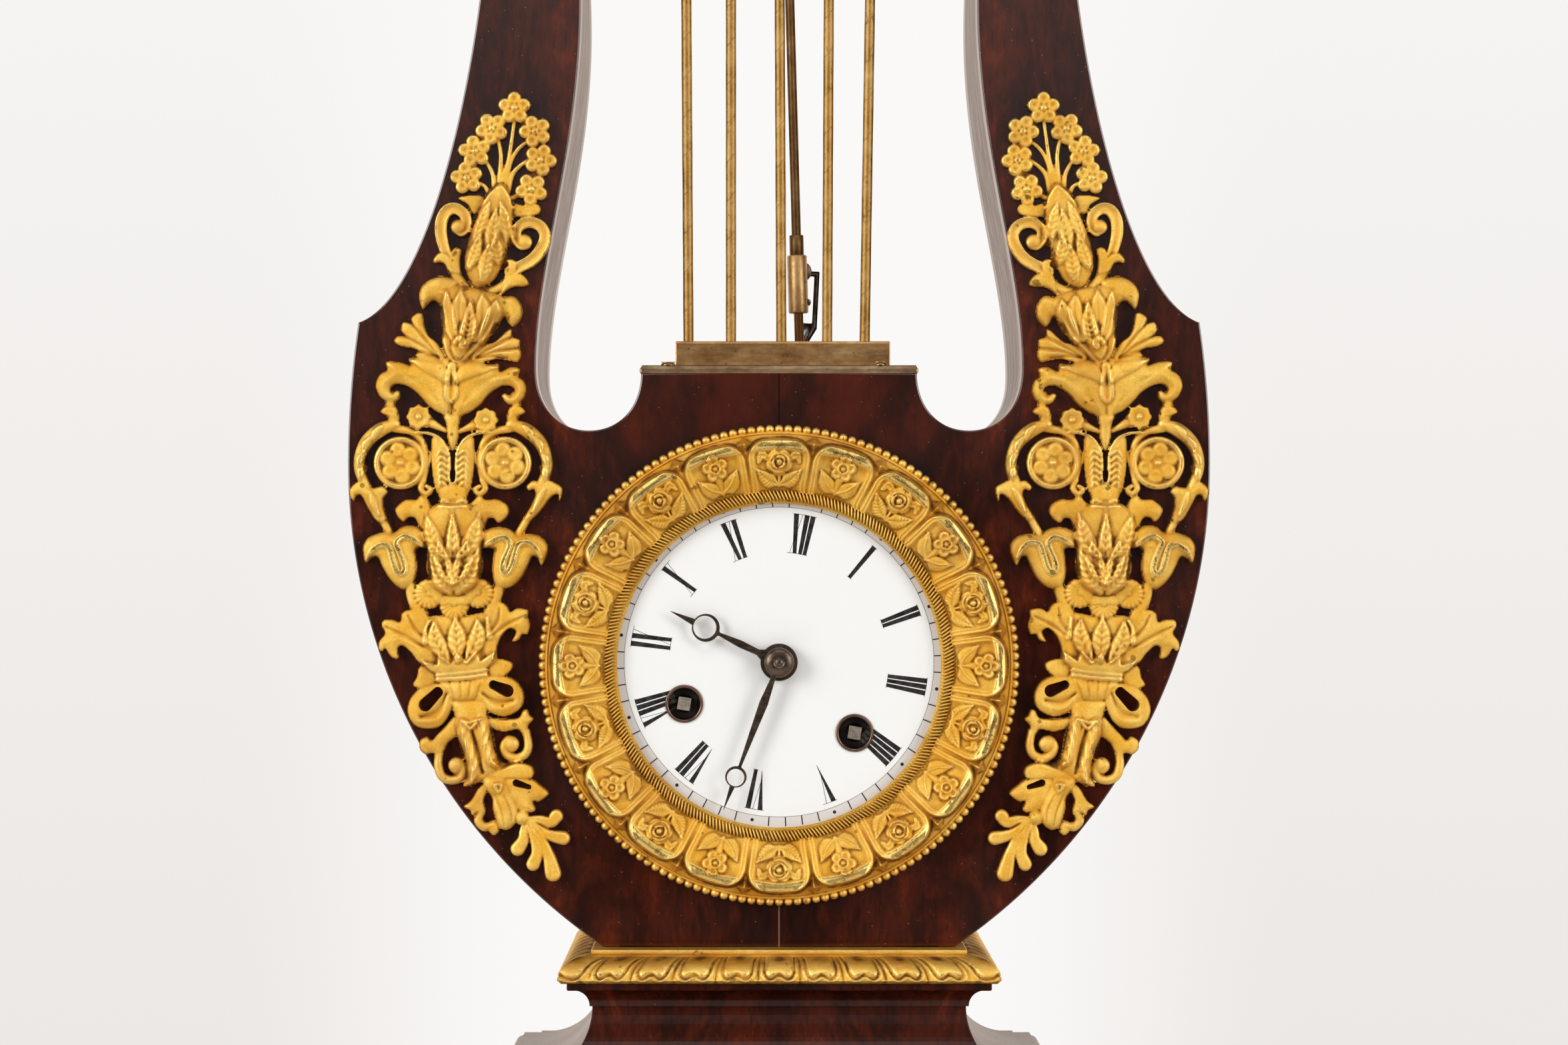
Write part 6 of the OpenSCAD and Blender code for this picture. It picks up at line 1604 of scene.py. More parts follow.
def leaf_side(half, half_other, leaves, turn):
    """One side of the frame, mitred at both ends."""
    down = np.concatenate([np.linspace(-0.36, -0.02, 8), np.linspace(0, 1, 34), np.linspace(1.02, 1.3, 4)])
    u = np.linspace(-1, 1, int(half * 2 / 0.42))
    uu, dd = np.meshgrid(u, down, indexing="ij")
    t = np.clip(dd, 0, 1)
    swing = t * math.pi / 2
    out = np.where(dd < 0, 0, FRAME_OUT * np.sin(swing) ** 0.92)
    z = OVOLO_TOP - 7.2 * (1 - np.cos(swing))
    band = np.clip(-dd / 0.36, 0, 1)
    z = np.where(dd < 0, OVOLO_TOP + 2.0 * np.clip(band * 1.15 - 0.04, 0, 1), z)
    out = out - 0.55 * hump(dd, -0.05, 0.05) - 0.3 * step_up(band, 0.85, 1)
    h, inside, across = leaf_heights(uu * (half + 5), t, leaves, half + 5)
    free = step_up(dd, 0.0, 0.09) * (1 - step_up(dd, 0.985, 1.0) * 0.7)
    groove = hump(inside, -0.15, 0.34) + 0.8 * hump(across, LEAF_PITCH / 2, 0.34)
    h = 0.95 * h * free - 0.9 * step_up(dd, 0.9, 1.0) * (dd <= 1)
    out = out + h * np.sin(swing) ** 0.8
    z = z + h * np.cos(swing) * 0.7 + 0.35 * hump(across, LEAF_PITCH / 2, 0.7) * step_up(dd, 0.9, 1)
    under = np.clip((dd - 1) / 0.3, 0, 1)
    out = np.where(dd > 1, FRAME_OUT - 0.9 - 8 * under, out)
    z = np.where(dd > 1, Z_FRAME + 0.01 + (1 - under) * 0.04, np.maximum(z, Z_FRAME + 0.05))
    x = uu * (half + out)
    y = -(half_other + out)
    # A darker patch near the top of each leaf.
    patch = hump(dd, 0.27, 0.16) * np.clip(1.15 - across / 3.6, 0, 1) * (inside > 0.3)
    blur = box_blur(h, 2)
    sunk = np.clip((blur - h - 0.02) / 0.2, 0, 1)
    # Painted shade in the sunken parts, the grooves round and between the leaves and the line under the top
    # band, with the darker patch.
    cavity = sunk * 0.6 + groove * free * 0.9 + 1.1 * patch + 0.6 * hump(dd, -0.05, 0.04)
    ridge = np.clip((h - blur - 0.04) / 0.2, 0, 0.8)
    # Burnish and painted highlight on the top band and ridges; painted highlight on the lower half of each
    # leaf.
    shine = np.where(dd < -0.08, 0.6, ridge + 0.35 * (inside > 0.5) * (dd > 0.45))
    c, s = round(math.cos(turn)), round(math.sin(turn))
    points = np.stack([c * x - s * y, s * x + c * y, z], -1).reshape(-1, 3)
    faces = sheet_faces(len(u), len(down))[:, ::-1]
    return points, faces, np.clip(cavity, 0, 1).ravel(), np.clip(shine, 0, 1).ravel()


pile = Pile()
marks = []
for k in range(4):
    a, b, leaves = (FRAME_X, FRAME_Y, 9) if k % 2 == 0 else (FRAME_Y, FRAME_X, 7)
    points, faces, cavity, shine = leaf_side(a, b, leaves, k * math.pi / 2)
    pile.add(points, faces)
    marks.append((cavity, shine))
top_ring = [flat_up(box_outline(FRAME_X - inner_by, FRAME_Y - inner_by), Z_LYRE) for inner_by in (0.3, 8.0)]
pile.add(np.concatenate(top_ring), sheet_faces(2, 4, close_cols=True))
# The flat top strip under the lyre is painted half in shade.
marks.append((np.full(8, 0.5), np.zeros(8)))
attributes = {"cavity": np.concatenate([m[0] for m in marks]),
    "shine": np.concatenate([m[1] for m in marks])}
mesh = make_mesh("leaves", np.concatenate(pile.verts), [np.concatenate(pile.quads)], attributes)
show("leaf_border", mesh, GILT, hides="leaf_frame")


# Dial
Y_DIAL = Y_FACE - 2.4
DIAL_R = 50.0
DIAL_THICK = 1.6
CENTRE_HOLE = 3.0
WINDER_HOLE = 5.2
WINDERS = ((25.9, -17.1), (-25.9, -17.1))


def flat_plate(name, loops, thick, ease, level, direction=0.0):
    """A flat plate with eased edges, cut from closed lines and turned to a direction on the dial."""
    flat = bpy.data.curves.new(name, "CURVE")
    flat.dimensions = "2D"
    flat.fill_mode = "BOTH"
    flat.extrude = (thick / 2 - ease) * MM
    flat.bevel_depth = ease * MM
    flat.bevel_resolution = 2
    flat.offset = -ease * MM
    for points in loops:
        spline = flat.splines.new("POLY")
        spline.points.add(len(points) - 1)
        zero = np.zeros(len(points))
        spline.points.foreach_set("co", np.column_stack([points * MM, zero, zero + 1]).ravel())
        spline.use_cyclic_u = True
    mesh = finished(bpy.data.objects.new(name, flat))
    co = np.zeros(len(mesh.vertices) * 3)
    mesh.vertices.foreach_get("co", co)
    co = co.reshape(-1, 3) / MM
    a = math.radians(direction)
    x = co[:, 0] * math.cos(a) + co[:, 1] * math.sin(a)
    z = -co[:, 0] * math.sin(a) + co[:, 1] * math.cos(a)
    xz = works(np.column_stack([x, z]))
    mesh.vertices.foreach_set("co", (np.column_stack([xz[:, 0], level - co[:, 2], xz[:, 1]]) * MM).ravel())
    mesh.update()
    return mesh


def circle(middle, r, count):
    return arc(middle, r, 0, 360, count + 1)[:-1]


rounds = [((0, 0), DIAL_R), ((0, 0), CENTRE_HOLE)] + [(winder, WINDER_HOLE) for winder in WINDERS]
plate = flat_plate("dial_plate", [circle(middle, r, 96) for middle, r in rounds], DIAL_THICK, 0.1,
    Y_DIAL + DIAL_THICK / 2)
show("enamel_dial", plate, ENAMEL, hides="dial", smooth=False)

THICK = 1.3
HAIR = 0.13
GAP = 0.3
TRACK_IN = 46.4
TRACK_OUT = 49.2
DOT_AT = 47.9
NUM_IN = 32.9
NUM_OUT = 44.7
FIGURE_MIDDLE = 39.0
SIGNS = {"I": 1.3, "V": 2.9, "X": 3.0}
HOURS = ("XII", "I", "II", "III", "IIII", "V", "VI", "VII", "VIII", "IX", "X", "XI")


def on_dial(points, direction):
    """Points drawn upright over the dial's middle, bent round the dial to a direction in degrees."""
    p = np.asarray(points, float)
    a = p[:, 0] / FIGURE_MIDDLE + math.radians(direction)
    return np.column_stack([p[:, 1] * np.sin(a), p[:, 1] * np.cos(a)])


def bar(x_low, x_high, low, high, width):
    """A straight stroke with level ends."""
    return [(x_low - width / 2, low), (x_low + width / 2, low), (x_high + width / 2, high),
        (x_high - width / 2, high)]


def letter(sign, x):
    """Strokes and serifs of one Roman figure whose left side is at x."""
    w = SIGNS[sign]
    low, high = NUM_IN, NUM_OUT
    strokes = []
    if sign == "I":
        strokes.append(bar(x + w / 2, x + w / 2, low, high, THICK))
        serifs = [(x + w / 2, low), (x + w / 2, high)]
    elif sign == "V":
        strokes.append([(x + 1.62, low), (x + 1.74, low), (x + THICK, high), (x, high)])
        strokes.append(bar(x + 1.5, x + w - 0.3, low + 3.5, high, HAIR))
        serifs = [(x + THICK / 2, high), (x + w - 0.3, high)]
    else:
        strokes.append(bar(x + 2.0, x + 1.1, low, high, THICK))
        strokes.append(bar(x + 0.2, x + w - 0.2, low, high, HAIR))
        serifs = [(x + 1.1, high), (x + w - 0.2, high), (x + 0.2, low), (x + 2.0, low)]
    for middle, level in serifs:
        strokes.append(bar(middle, middle, level - 0.07, level + 0.07, 1.9))
    return strokes


def ink(pile, outline, direction=0.0, level=0.03, upright=True):
    """Lays a small flat shape on the enamel. One that is drawn upright is bent round to its direction."""
    q = np.asarray(outline, float)
    if upright:
        q = on_dial(q, direction)
    if signed_area(q) < 0:
        q = q[::-1]
    xz = works(q)
    pts = np.column_stack([xz[:, 0], np.full(len(xz), Y_DIAL - level), xz[:, 1]])
    tris = np.array([(0, k, k + 1) for k in range(1, len(q) - 1)])
    pile.add(pts, tris=tris)


pile = Pile()
for hour, word in enumerate(HOURS):
    x = -(sum(SIGNS[c] for c in word) + GAP * (len(word) - 1)) / 2
    for c in word:
        for stroke in letter(c, x):
            ink(pile, stroke, 30 * hour)
        x += SIGNS[c] + GAP
for minute in range(60):
    if minute % 5:
        ink(pile, bar(0, 0, TRACK_IN, TRACK_OUT, 0.28), 6 * minute)
    else:
        ink(pile, circle((0, 0), 0.52, 16) + arc((0, 0), DOT_AT, 90 - 6 * minute, 91, 2)[0], upright=False)
track = arc((0, 0), TRACK_IN, 0, 360, 241)
for a, b in zip(track[:-1], track[1:]):
    ink(pile, [a * 0.9988, a * 1.0012, b * 1.0012, b * 0.9988], upright=False, level=0.025)
show("dial_figures", pile, INK, smooth=False)


# Winding holes
for (x, z), word in zip(WINDERS, ("right", "left")):
    pile = Pile()
    cx, cz = works([(x, z)])[0]
    turned(pile, [(5.25, 0.8), (5.3, -0.1), (5.7, -0.12), (5.68, -0.4), (5.3, -0.62), (4.9, -0.5),
        (4.7, -0.1), (4.7, 2.0)], (cx, Y_DIAL, cz), "y", 72)
    show("winding_eyelet_" + word, pile, EYELET_BRASS, hides="eyelet_" + word)
    # A near-black tube behind each hole stands for the shade deep inside it.
    pile = Pile()
    turned(pile, [(2.9, 2.6), (4.66, 2.5), (4.68, 0.3)], (cx, Y_DIAL, cz), "y", 48)
    show("winding_well_" + word, pile, SHADED_WELL_BRASS)


# Hands
def hand_outline(length, hub_r, eye_at, eye_r, swell_at, halves):
    """A hand from hub to point: a swelling shaft, an open eye and a spear tip. halves are half widths."""
    at_hub, at_swell, at_eye, at_tip = halves
    right = [(hub_r * math.sin(a), hub_r * math.cos(a)) for a in np.linspace(math.pi, 0.3, 20)]
    halfway = (0.5 * (at_swell + at_eye), 0.5 * (swell_at + eye_at - eye_r))
    right += [(at_hub, hub_r + 1.4), (at_swell, swell_at), halfway, (at_eye, eye_at - eye_r - 0.4)]
    right += [(eye_r * math.sin(a), eye_at - eye_r * math.cos(a))
        for a in np.linspace(0.2, math.pi - 0.24, 28)]
    right += [(at_tip, eye_at + eye_r + 0.3), (0.55 * at_tip, 0.5 * (eye_at + eye_r + length)),
        (0.07, length)]
    left = [(-x, y) for x, y in right[::-1] if abs(x) > 0.001]
    return np.array(right + left)


def hand(name, body, direction, level, outline, holes):
    """A flat hand with open holes, laid over the dial."""
    loops = [outline] + [circle((0, at), r, 48) for at, r in holes]
    mesh = flat_plate(name, loops, 0.8, 0.16, level, direction)
    show(name, mesh, HAND_STEEL, body, hides=body + "_hand", smooth=False)


hand("hour_pointer", "hour", 285.5, Y_FACE - 4.6,
    hand_outline(35.9, 5.6, 24.2, 4.2, 12.8, (0.92, 1.1, 0.52, 0.95)), [(24.55, 3.42), (0, 2.5)])
hand("minute_pointer", "minute", 191.0, Y_FACE - 6.2,
    hand_outline(47.0, 4.0, 36.5, 3.2, 13.0, (0.75, 1.35, 0.46, 0.75)), [(36.75, 2.6), (0, 1.6)])
pile = Pile()
turned(pile, [(1.6, -0.1), (4.4, -0.1), (4.5, -0.5), (4.3, -1.2), (3.6, -1.8), (2.6, -2.2), (1.7, -2.35),
    (1.5, -2.3), (1.3, -2.05), (1.1, -2.05), (0.95, -2.35), (0.05, -2.35)],
    (0, Y_FACE - 6.6, Z_DIAL), "y", 64)
show("hand_collet", pile, HAND_STEEL, "minute", hides="collet")


# Neck, strings and yoke
def wire(foot, head, r, rows, cols, wave):
    """A round wire between two points, with how far round and how far along kept for its material."""
    foot, head = np.asarray(foot, float), np.asarray(head, float)
    along_it = (head - foot) / np.linalg.norm(head - foot)
    right = np.cross(along_it, (0, 1, 0))
    right /= np.linalg.norm(right)
    front = np.cross(right, along_it)
    t, a = np.meshgrid(np.linspace(0, 1, rows), np.arange(cols + 1) / cols, indexing="ij")
    ring = right * np.cos(2 * math.pi * a)[..., None] + front * np.sin(2 * math.pi * a)[..., None]
    width = r * (1 + wave * np.sin(t * 61.0 + foot[0]))[..., None]
    points = foot + (head - foot) * t[..., None] + ring * width
    run = t * np.linalg.norm(head - foot)
    return points.reshape(-1, 3), sheet_faces(rows, cols + 1), a.ravel(), run.ravel()


for k in range(5):
    foot = np.array([STRING_FOOT[k], STRING_Y, Z_BLOCK_TOP])
    head = np.array([STRING_HEAD[k], STRING_Y, Z_YOKE])
    lean = (head - foot) / (head - foot)[2]
    points, faces, turn, run = wire(foot - 4 * lean, head + 4 * lean, STRING_R, rows=120, cols=28,
        wave=0.012)
    mesh = make_mesh("wire", points, [faces], {"turn": turn, "run": run + 37.0 * k})
    show("brass_string_%d" % (k + 1), mesh, STRING_BRASS, hides="string_%d" % (k + 1))

COVER_THICK = 2.4
way = box_outline(WAY_HALF, (WAY_FRONT - WAY_BACK) / 2, 0.6, 3, (0, -(WAY_FRONT + WAY_BACK) / 2))
outer = box_outline(NECK_HALF + 0.4, HALF_DEPTH + 0.3, 0.5, 2)
rings = [flat_up(inset(outer, d) if d else outer, Z_NECK + z)
    for d, z in ((0.25, 0), (0, 0.3), (0, 1.3), (0.85, COVER_THICK))]
pile = Pile()
pile.add(np.concatenate(rings), sheet_faces(len(rings), len(outer), close_cols=True))
for ring, z, flip in ((rings[-1], COVER_THICK, 1), (rings[0], 0, -1)):
    flat = np.concatenate([ring[:, :2], way])
    pile.add(flat_up(flat, Z_NECK + z), tris=flat_caps(ring[:, :2], way)[:, ::flip])
edges = np.concatenate([flat_up(way, Z_NECK + COVER_THICK), flat_up(way, Z_NECK)])
pile.add(edges, sheet_faces(2, len(way), close_cols=True))
show("neck_plate", pile, BROWN_BRASS, hides="neck_cover", smooth=False)

pile = Pile()
for x, y, r in ((-33.3, -36.6, 2.15), (30.5, -37.2, 1.75), (-33.0, 34.0, 2.1), (31.5, 34.5, 2.1)):
    head = [(r, 0), (r * 1.02, 0.25), (r * 0.86, 0.7), (r * 0.5, 1.02), (0.02, 1.12)]
    turned(pile, head, (x, y, Z_NECK + COVER_THICK), "z", 28)
    slab(pile, box_outline(r * 0.95, 0.22, 0, 1, (x, y)), 0.9, 1.16,
        lambda q, z: flat_up(q, Z_NECK + COVER_THICK + z))
show("neck_screws", pile, OLD_BRASS)


def block_section():
    """Section of a sheet folded to a channel: front, top and back, 1 mm thick."""
    low, high = Z_NECK + COVER_THICK, Z_BLOCK_TOP
    front, back = STRING_Y - 9, STRING_Y + 9
    out = [(front, low), (front, high - 0.7), (front + 0.2, high - 0.2), (front + 0.7, high)]
    out += [(back - 0.7, high), (back - 0.2, high - 0.2), (back, high - 0.7), (back, low)]
    inner = [(back - 1, low), (back - 1, high - 1), (front + 1, high - 1), (front + 1, low)]
    return np.array(out + inner)


BLOCK_MIDDLE = 1.2
BLOCK_HALF = 32.3
pile = Pile()
slab(pile, block_section(), BLOCK_MIDDLE - BLOCK_HALF, BLOCK_MIDDLE + BLOCK_HALF,
    lambda q, z: np.column_stack([np.full(len(q), z), q[:, 0], q[:, 1]]), 0.25, 0.25)
show("folded_block", pile, BLOCK_BRASS, hides="string_block", smooth=False)


EDGE_ANGLE = math.radians(35)


def eased(name, node, finish, body, width, crease=50):
    """A built node with its sharp edges eased, as its own piece. Bends over the crease angle stay crisp."""
    work = bmesh.new()
    work.from_mesh(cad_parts[node].data)
    bmesh.ops.transform(work, matrix=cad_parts[node].matrix_world, verts=work.verts)
    bmesh.ops.remove_doubles(work, verts=work.verts, dist=0.001 * MM)
    bmesh.ops.dissolve_limit(work, angle_limit=math.radians(1.0), verts=work.verts, edges=work.edges)
    sharp = [e for e in work.edges if len(e.link_faces) == 2 and e.calc_face_angle() > EDGE_ANGLE]
    bmesh.ops.bevel(work, geom=sharp, offset=width * MM, segments=2, affect="EDGES", clamp_overlap=True)
    mesh = bpy.data.meshes.new(name)
    work.to_mesh(mesh)
    work.free()
    mesh.set_sharp_from_angle(angle=math.radians(crease))
    show(name, mesh, finish, body, hides=node)


eased("string_yoke", "yoke", PLAIN_GILT, "case", 0.5)
eased("hanging_bar", "suspension_bar", OLD_BRASS, "case", 0.3)


# Rosettes on the scrolls
def rosette_mesh(side):
    """Turned boss with twelve petals round a small dome."""
    radius = np.concatenate([np.linspace(0.02, 10.4, 44), [10.8, 11.0, 11.0]])
    a = np.linspace(0, 2 * math.pi, 144, endpoint=False)
    aa, rr = np.meshgrid(a, radius, indexing="ij")
    petal = np.abs(np.sin(aa * 6))
    dome = 5.4 * np.sqrt(np.clip(1 - (rr / 4.2) ** 2, 0, 1)) * 0.62
    swell = np.sin(np.clip((rr - 3.4) / 4.6, 0, 1) * math.pi)
    leaf = 2.2 + 0.9 * swell * (0.45 + 0.55 * petal) - 0.5 * (petal < 0.2)
    ring = 1.6 + 1.6 * np.sqrt(np.clip(1 - ((rr - 9.2) / 1.6) ** 2, 0, 1))
    h = np.where(rr < 4.2, np.maximum(dome, 2.2), np.where(rr < 7.8, leaf, ring))
    h[:, -3] = 1.4
    h[:, -2] = 1.0
    h[:, -1] = 0.0
    blur = box_blur(h, 2)
    x = side * SCROLL[0] + rr * np.cos(aa)
    z = SCROLL[1] + rr * np.sin(aa)
    points = np.stack([x, Y_FACE - h, z], -1).reshape(-1, 3)
    # Painted shade in the hollows, painted highlight on the raised parts and a little everywhere.
    marks = {"cavity": np.clip((blur - h) / 0.4, 0, 1).ravel(),
        "shine": np.clip((h - blur) / 0.3 + 0.3, 0, 0.8).ravel()}
    return make_mesh("rosette", points, [sheet_faces(len(a), len(radius), close_rows=True)], marks)


for side, word in ((-1, "left"), (1, "right")):
    show("scroll_rosette_" + word, rosette_mesh(side), GILT, hides="rosette_" + word)


# Pendulum and crutch
LEAN = math.radians(1.6)
PIVOT = np.array([0.0, 12.0, Z_WIDE + 278.3])
BOB_Z = 128.0 - PIVOT[2]
BOB_R = 18.0
BOB_THICK = 4.0
BOB_CURVE = 60.0
ROD_R = 1.45
FERRULE_R = 2.2
SLEEVE_R = 3.1
SLEEVE_TOP = -212.0
SLEEVE_END = -230.2
DISC_AT = -217.0
PIN_AT = -226.7
PIN_R = 1.0
PIN_OUT = 6.5
STIRRUP_TOP = -(PIVOT[2] - Z_DIAL) + 31.0 + 12.0
STIRRUP_HALF = 21.0
STIRRUP_TALL = 26.0


def hung(points):
    """Points about the pivot, leaned as the pendulum rests."""
    p = np.asarray(points, float)
    c, s = math.cos(LEAN), math.sin(LEAN)
    return np.column_stack([p[:, 0] * c - p[:, 2] * s, p[:, 1], p[:, 0] * s + p[:, 2] * c]) + PIVOT


def hung_turned(pile, section, middle=(0, 0, 0), axis="z", count=40):
    """A turned piece on the leaning pendulum."""
    part = Pile()
    turned(part, section, middle, axis, count)
    pile.add(hung(part.verts[0]), part.quads[0])


def bar_section(r, top, bottom):
    """Section of a round bar with eased ends."""
    ease = 0.15
    return [(0.02, bottom), (r - ease, bottom), (r, bottom + ease), (r, top - ease), (r - ease, top),
        (0.02, top)]


pile = Pile()
hung_turned(pile, bar_section(FERRULE_R, -12, -18))
hung_turned(pile, bar_section(ROD_R, -17, STIRRUP_TOP - 1))
hung_turned(pile, bar_section(FERRULE_R, -205.7, SLEEVE_TOP - 1))
hung_turned(pile, bar_section(ROD_R, STIRRUP_TOP - STIRRUP_TALL + 1, BOB_Z - BOB_R - 6))
middle = STIRRUP_TOP - STIRRUP_TALL / 2
frame_out = box_outline(STIRRUP_HALF, STIRRUP_TALL / 2, 1.2, 4, (0, middle))
frame_in = box_outline(STIRRUP_HALF - 2.5, STIRRUP_TALL / 2 - 2.5, 0.6, 4, (0, middle))
count = len(frame_out)
loops = [np.column_stack([q[:, 0], np.full(count, y), q[:, 1]])
    for q, y in ((frame_out, -1.5), (frame_out, 1.5), (frame_in, 1.5), (frame_in, -1.5))]
pile.add(hung(np.concatenate(loops)), sheet_faces(4, count, True, True)[:, ::-1])
show("pendulum_wire", pile, ROD_BRASS, "pendulum", hides="pendulum_rod")

pile = Pile()
hung_turned(pile, bar_section(PIN_R, PIN_OUT, -PIN_OUT), axis="y")
slab(pile, box_outline(0.2, 3.0), -14, 0, lambda q, z: hung(flat_up(q, z)))
hung_turned(pile, bar_section(PIN_R, PIN_OUT, 0), (3.0, 0, PIN_AT), "y", 28)
slab(pile, box_outline(1.5, 1.2, 0, 1, (1.5, 0)), PIN_AT - PIN_R, PIN_AT + PIN_R,
    lambda q, z: hung(flat_up(q, z)))
show("pendulum_steel", pile, CRUTCH_STEEL, "pendulum")

pile = Pile()
sleeve = [(ROD_R, SLEEVE_END), (2.6, SLEEVE_END), (2.95, SLEEVE_END + 0.15), (SLEEVE_R, SLEEVE_END + 0.5),
    (SLEEVE_R, SLEEVE_TOP - 0.4), (2.9, SLEEVE_TOP - 0.05), (ROD_R, SLEEVE_TOP)]
hung_turned(pile, sleeve, count=56)
show("rod_sleeve", pile, SLEEVE_BRASS, "pendulum")
pile = Pile()
hung_turned(pile, bar_section(3.1, 4.1, 1.1), (1.4, 0, DISC_AT), "y", 48)
show("rod_disc", pile, EYELET_BRASS, "pendulum")

pile = Pile()
reach = [BOB_R * math.sin(a) for a in np.linspace(0.001, math.pi / 2 - 0.08, 24)]
half = [(r, BOB_THICK - BOB_CURVE + math.sqrt(BOB_CURVE ** 2 - r ** 2)) for r in reach]
grooved = [(r, y - (0.25 if 13.5 < r < 14.6 else 0)) for r, y in half]
lens_section = [(r, -y) for r, y in grooved] + [(BOB_R, -0.6), (BOB_R, 0.6)] + grooved[::-1]
hung_turned(pile, lens_section, (0, 0, BOB_Z), "y", 96)
show("pendulum_bob", pile, MOVEMENT_BRASS, "pendulum", hides="bob")

nut_z = BOB_Z - BOB_R
a = np.linspace(0, 2 * math.pi, 96, endpoint=False)
rib = 3.5 + 0.1 * np.cos(a * 24)
bore = np.full(96, ROD_R + 0.05)
section = ((bore, 0), (rib - 0.3, 0), (rib, 0.3), (rib, 2.7), (rib - 0.3, 3), (bore, 3))
rings = [np.column_stack([r * np.cos(a), r * np.sin(a), np.full(96, nut_z - z)]) for r, z in section]
pile = Pile()
pile.add(hung(np.concatenate(rings)), sheet_faces(len(rings), 96, close_cols=True)[:, ::-1])
show("adjusting_nut", pile, MOVEMENT_BRASS, "nut", hides="rating_nut")
eased("crutch_fork", "crutch", CRUTCH_STEEL, "escapement", 0.18)


# Back and works
eased("back_ring", "rear_ring", OLD_BRASS, "case", 0.4, 24)
eased("back_cover", "door", OLD_BRASS, "back_door", 0.3, 24)
for node in ("front_plate", "back_plate", "going_barrel", "strike_barrel", "middle_wheel",
        "centre_wheel", "third_wheel", "escape_wheel", "back_cock", "minute_wheel", "hour_wheel",
        "cannon_pinion", "pin_wheel", "fly", "count_wheel"):
    paint(node, MOVEMENT_BRASS)
for node in ("anchor", "hammer", "going_arbor", "strike_arbor", "bell_stand"):
    paint(node, SQUARE_STEEL)
paint("bell", BELL_METAL)


# Floor, light and camera
FLOOR_X = 0.9
FLOOR_FRONT = -0.5
FLOOR_BACK = 0.42


def floor_build(n):
    where = object_coords(n)
    return {"Base Color": n.mix(n.noise(where, 3.0), srgb(238, 236, 234), srgb(246, 245, 243)),
        "Roughness": n.between(n.noise(where, 40.0), 0.3, 0.7, 0.6, 0.75)}


def mirrored_rays(n):
    """1 for the rays that metal mirrors or glass lets through."""
    path = n.tree.nodes.new("ShaderNodeLightPath")
    return n.math("MAXIMUM", path.outputs["Is Glossy Ray"], path.outputs["Is Transmission Ray"])


def camera_rays(n):
    return n.add("ShaderNodeLightPath", "Is Camera Ray")


def faded_floor():
    """The pale floor, which turns to the plain background towards its edges where it is seen or mirrored."""
    finish = material("pale_floor", floor_build)
    tree = finish.node_tree
    n = Nodes(tree)
    x, y, _ = n.xyz(object_coords(n))
    from_middle = n.math("SUBTRACT", y, (FLOOR_FRONT + FLOOR_BACK) / 2)
    out_x = n.math("DIVIDE", n.math("ABSOLUTE", x), FLOOR_X)
    out_y = n.math("DIVIDE", n.math("ABSOLUTE", from_middle), (FLOOR_BACK - FLOOR_FRONT) / 2)
    edge = n.between(n.math("MAXIMUM", out_x, out_y), 0.45, 0.98)
    glow = tree.nodes.new("ShaderNodeEmission")
    glow.inputs["Color"].default_value = srgb(237, 233, 230)
    blend = tree.nodes.new("ShaderNodeMixShader")
    n.feed(blend.inputs[0], n.times(edge, n.math("MAXIMUM", camera_rays(n), mirrored_rays(n))))
    tree.links.new(tree.nodes["Principled BSDF"].outputs[0], blend.inputs[1])
    tree.links.new(glow.outputs[0], blend.inputs[2])
    tree.links.new(blend.outputs[0], tree.nodes["Material Output"].inputs["Surface"])
    return finish


PALE = faded_floor()
corners = np.array([(-FLOOR_X, FLOOR_FRONT, 0), (FLOOR_X, FLOOR_FRONT, 0), (FLOOR_X, FLOOR_BACK, 0),
    (-FLOOR_X, FLOOR_BACK, 0)])
floor = make_mesh("floor", corners / MM, [[(0, 1, 2, 3)]])
floor.materials.append(PALE)
floor_object = bpy.data.objects.new("floor", floor)
bpy.context.scene.collection.objects.link(floor_object)


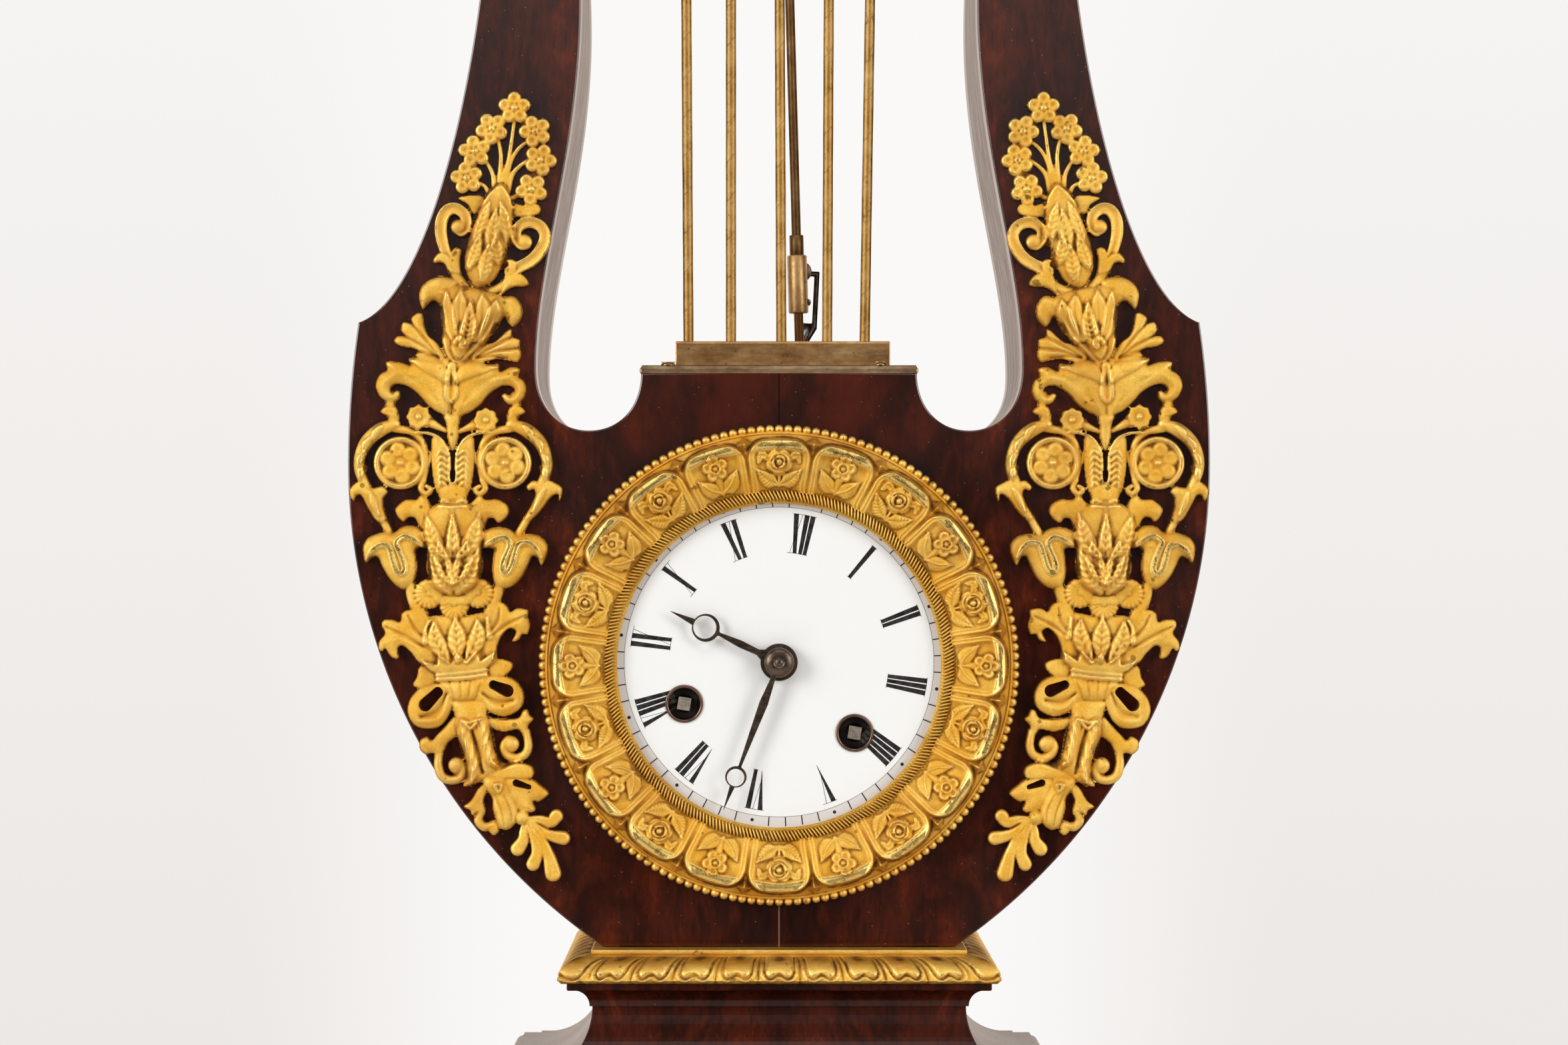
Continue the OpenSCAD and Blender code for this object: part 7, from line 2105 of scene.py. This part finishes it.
def sky():
    """Warm behind the clock, bright above, dim in front and below; the camera sees plain near-white."""
    world = bpy.data.worlds.new("studio")
    world.use_nodes = True
    tree = world.node_tree
    n = Nodes(tree)
    x, y, z = n.xyz(n.add("ShaderNodeTexCoord"))
    aside = n.math("ABSOLUTE", x)
    above = n.between(z, 0.04, 0.2, 0.015, 0.78)
    high = n.between(z, 0.22, 0.4, 0.0, -0.66)
    behind = n.between(y, -0.2, 0.4, 0.0, 0.76)
    beside = n.between(aside, 0.5, 0.95, 0.0, 0.75)
    strength = n.math("MAXIMUM", n.math("ADD", above, high), n.math("MAXIMUM", behind, beside))
    tint = n.mix(n.between(y, 0.0, 0.4), (1.0, 0.985, 0.965, 1.0), (1.0, 0.86, 0.77, 1.0))
    light = n.mix(1.0, strength, tint, "MULTIPLY")
    level = n.between(z, -0.2, 0.25)
    seen = n.mix(level, srgb(236, 231, 228), srgb(247, 246, 244))
    seen = n.mix(n.between(aside, 0.05, 0.14, 1.0, 0.0), seen, srgb(250, 249, 247))
    to_back = n.times(mirrored_rays(n), n.between(y, 0.0, 0.4))
    mirrored = n.mix(to_back, light, n.mix(1.0, seen, (0.95, 0.83, 0.75, 1.0), "MULTIPLY"))
    colour = n.mix(camera_rays(n), mirrored, seen)
    n.feed(tree.nodes["Background"].inputs[0], colour)
    bpy.context.scene.world = world


sky()


def soft_light(name, place, width, height, watts):
    """A large lamp turned to the middle of the clock."""
    lamp = bpy.data.lights.new(name, "AREA")
    lamp.shape = "RECTANGLE"
    lamp.size = width
    lamp.size_y = height
    lamp.energy = watts
    lamp.color = (1, 0.98, 0.955)
    holder = bpy.data.objects.new(name, lamp)
    holder.location = place
    holder.rotation_euler = (Vector((0, 0, 0.25)) - Vector(place)).to_track_quat("-Z", "Y").to_euler()
    bpy.context.scene.collection.objects.link(holder)


soft_light("left_window", (-1.5, -1.2, 0.75), 0.7, 1.2, 22)
soft_light("right_window", (1.5, -1.2, 0.7), 0.7, 1.2, 16)
soft_light("top_panel", (0, -0.9, 1.6), 1.4, 0.5, 7)

lens = bpy.data.cameras.new("camera")
lens.sensor_width = 36.0
lens.lens = 87.97
lens.shift_x = 0.01764
lens.shift_y = 0.01317
eye = bpy.data.objects.new("camera", lens)
eye.location = (-0.0068, -1.189, 0.2129)
eye.rotation_euler = (math.radians(90), 0, 0)
bpy.context.scene.collection.objects.link(eye)
bpy.context.scene.camera = eye
bpy.context.scene.view_settings.view_transform = "Standard"
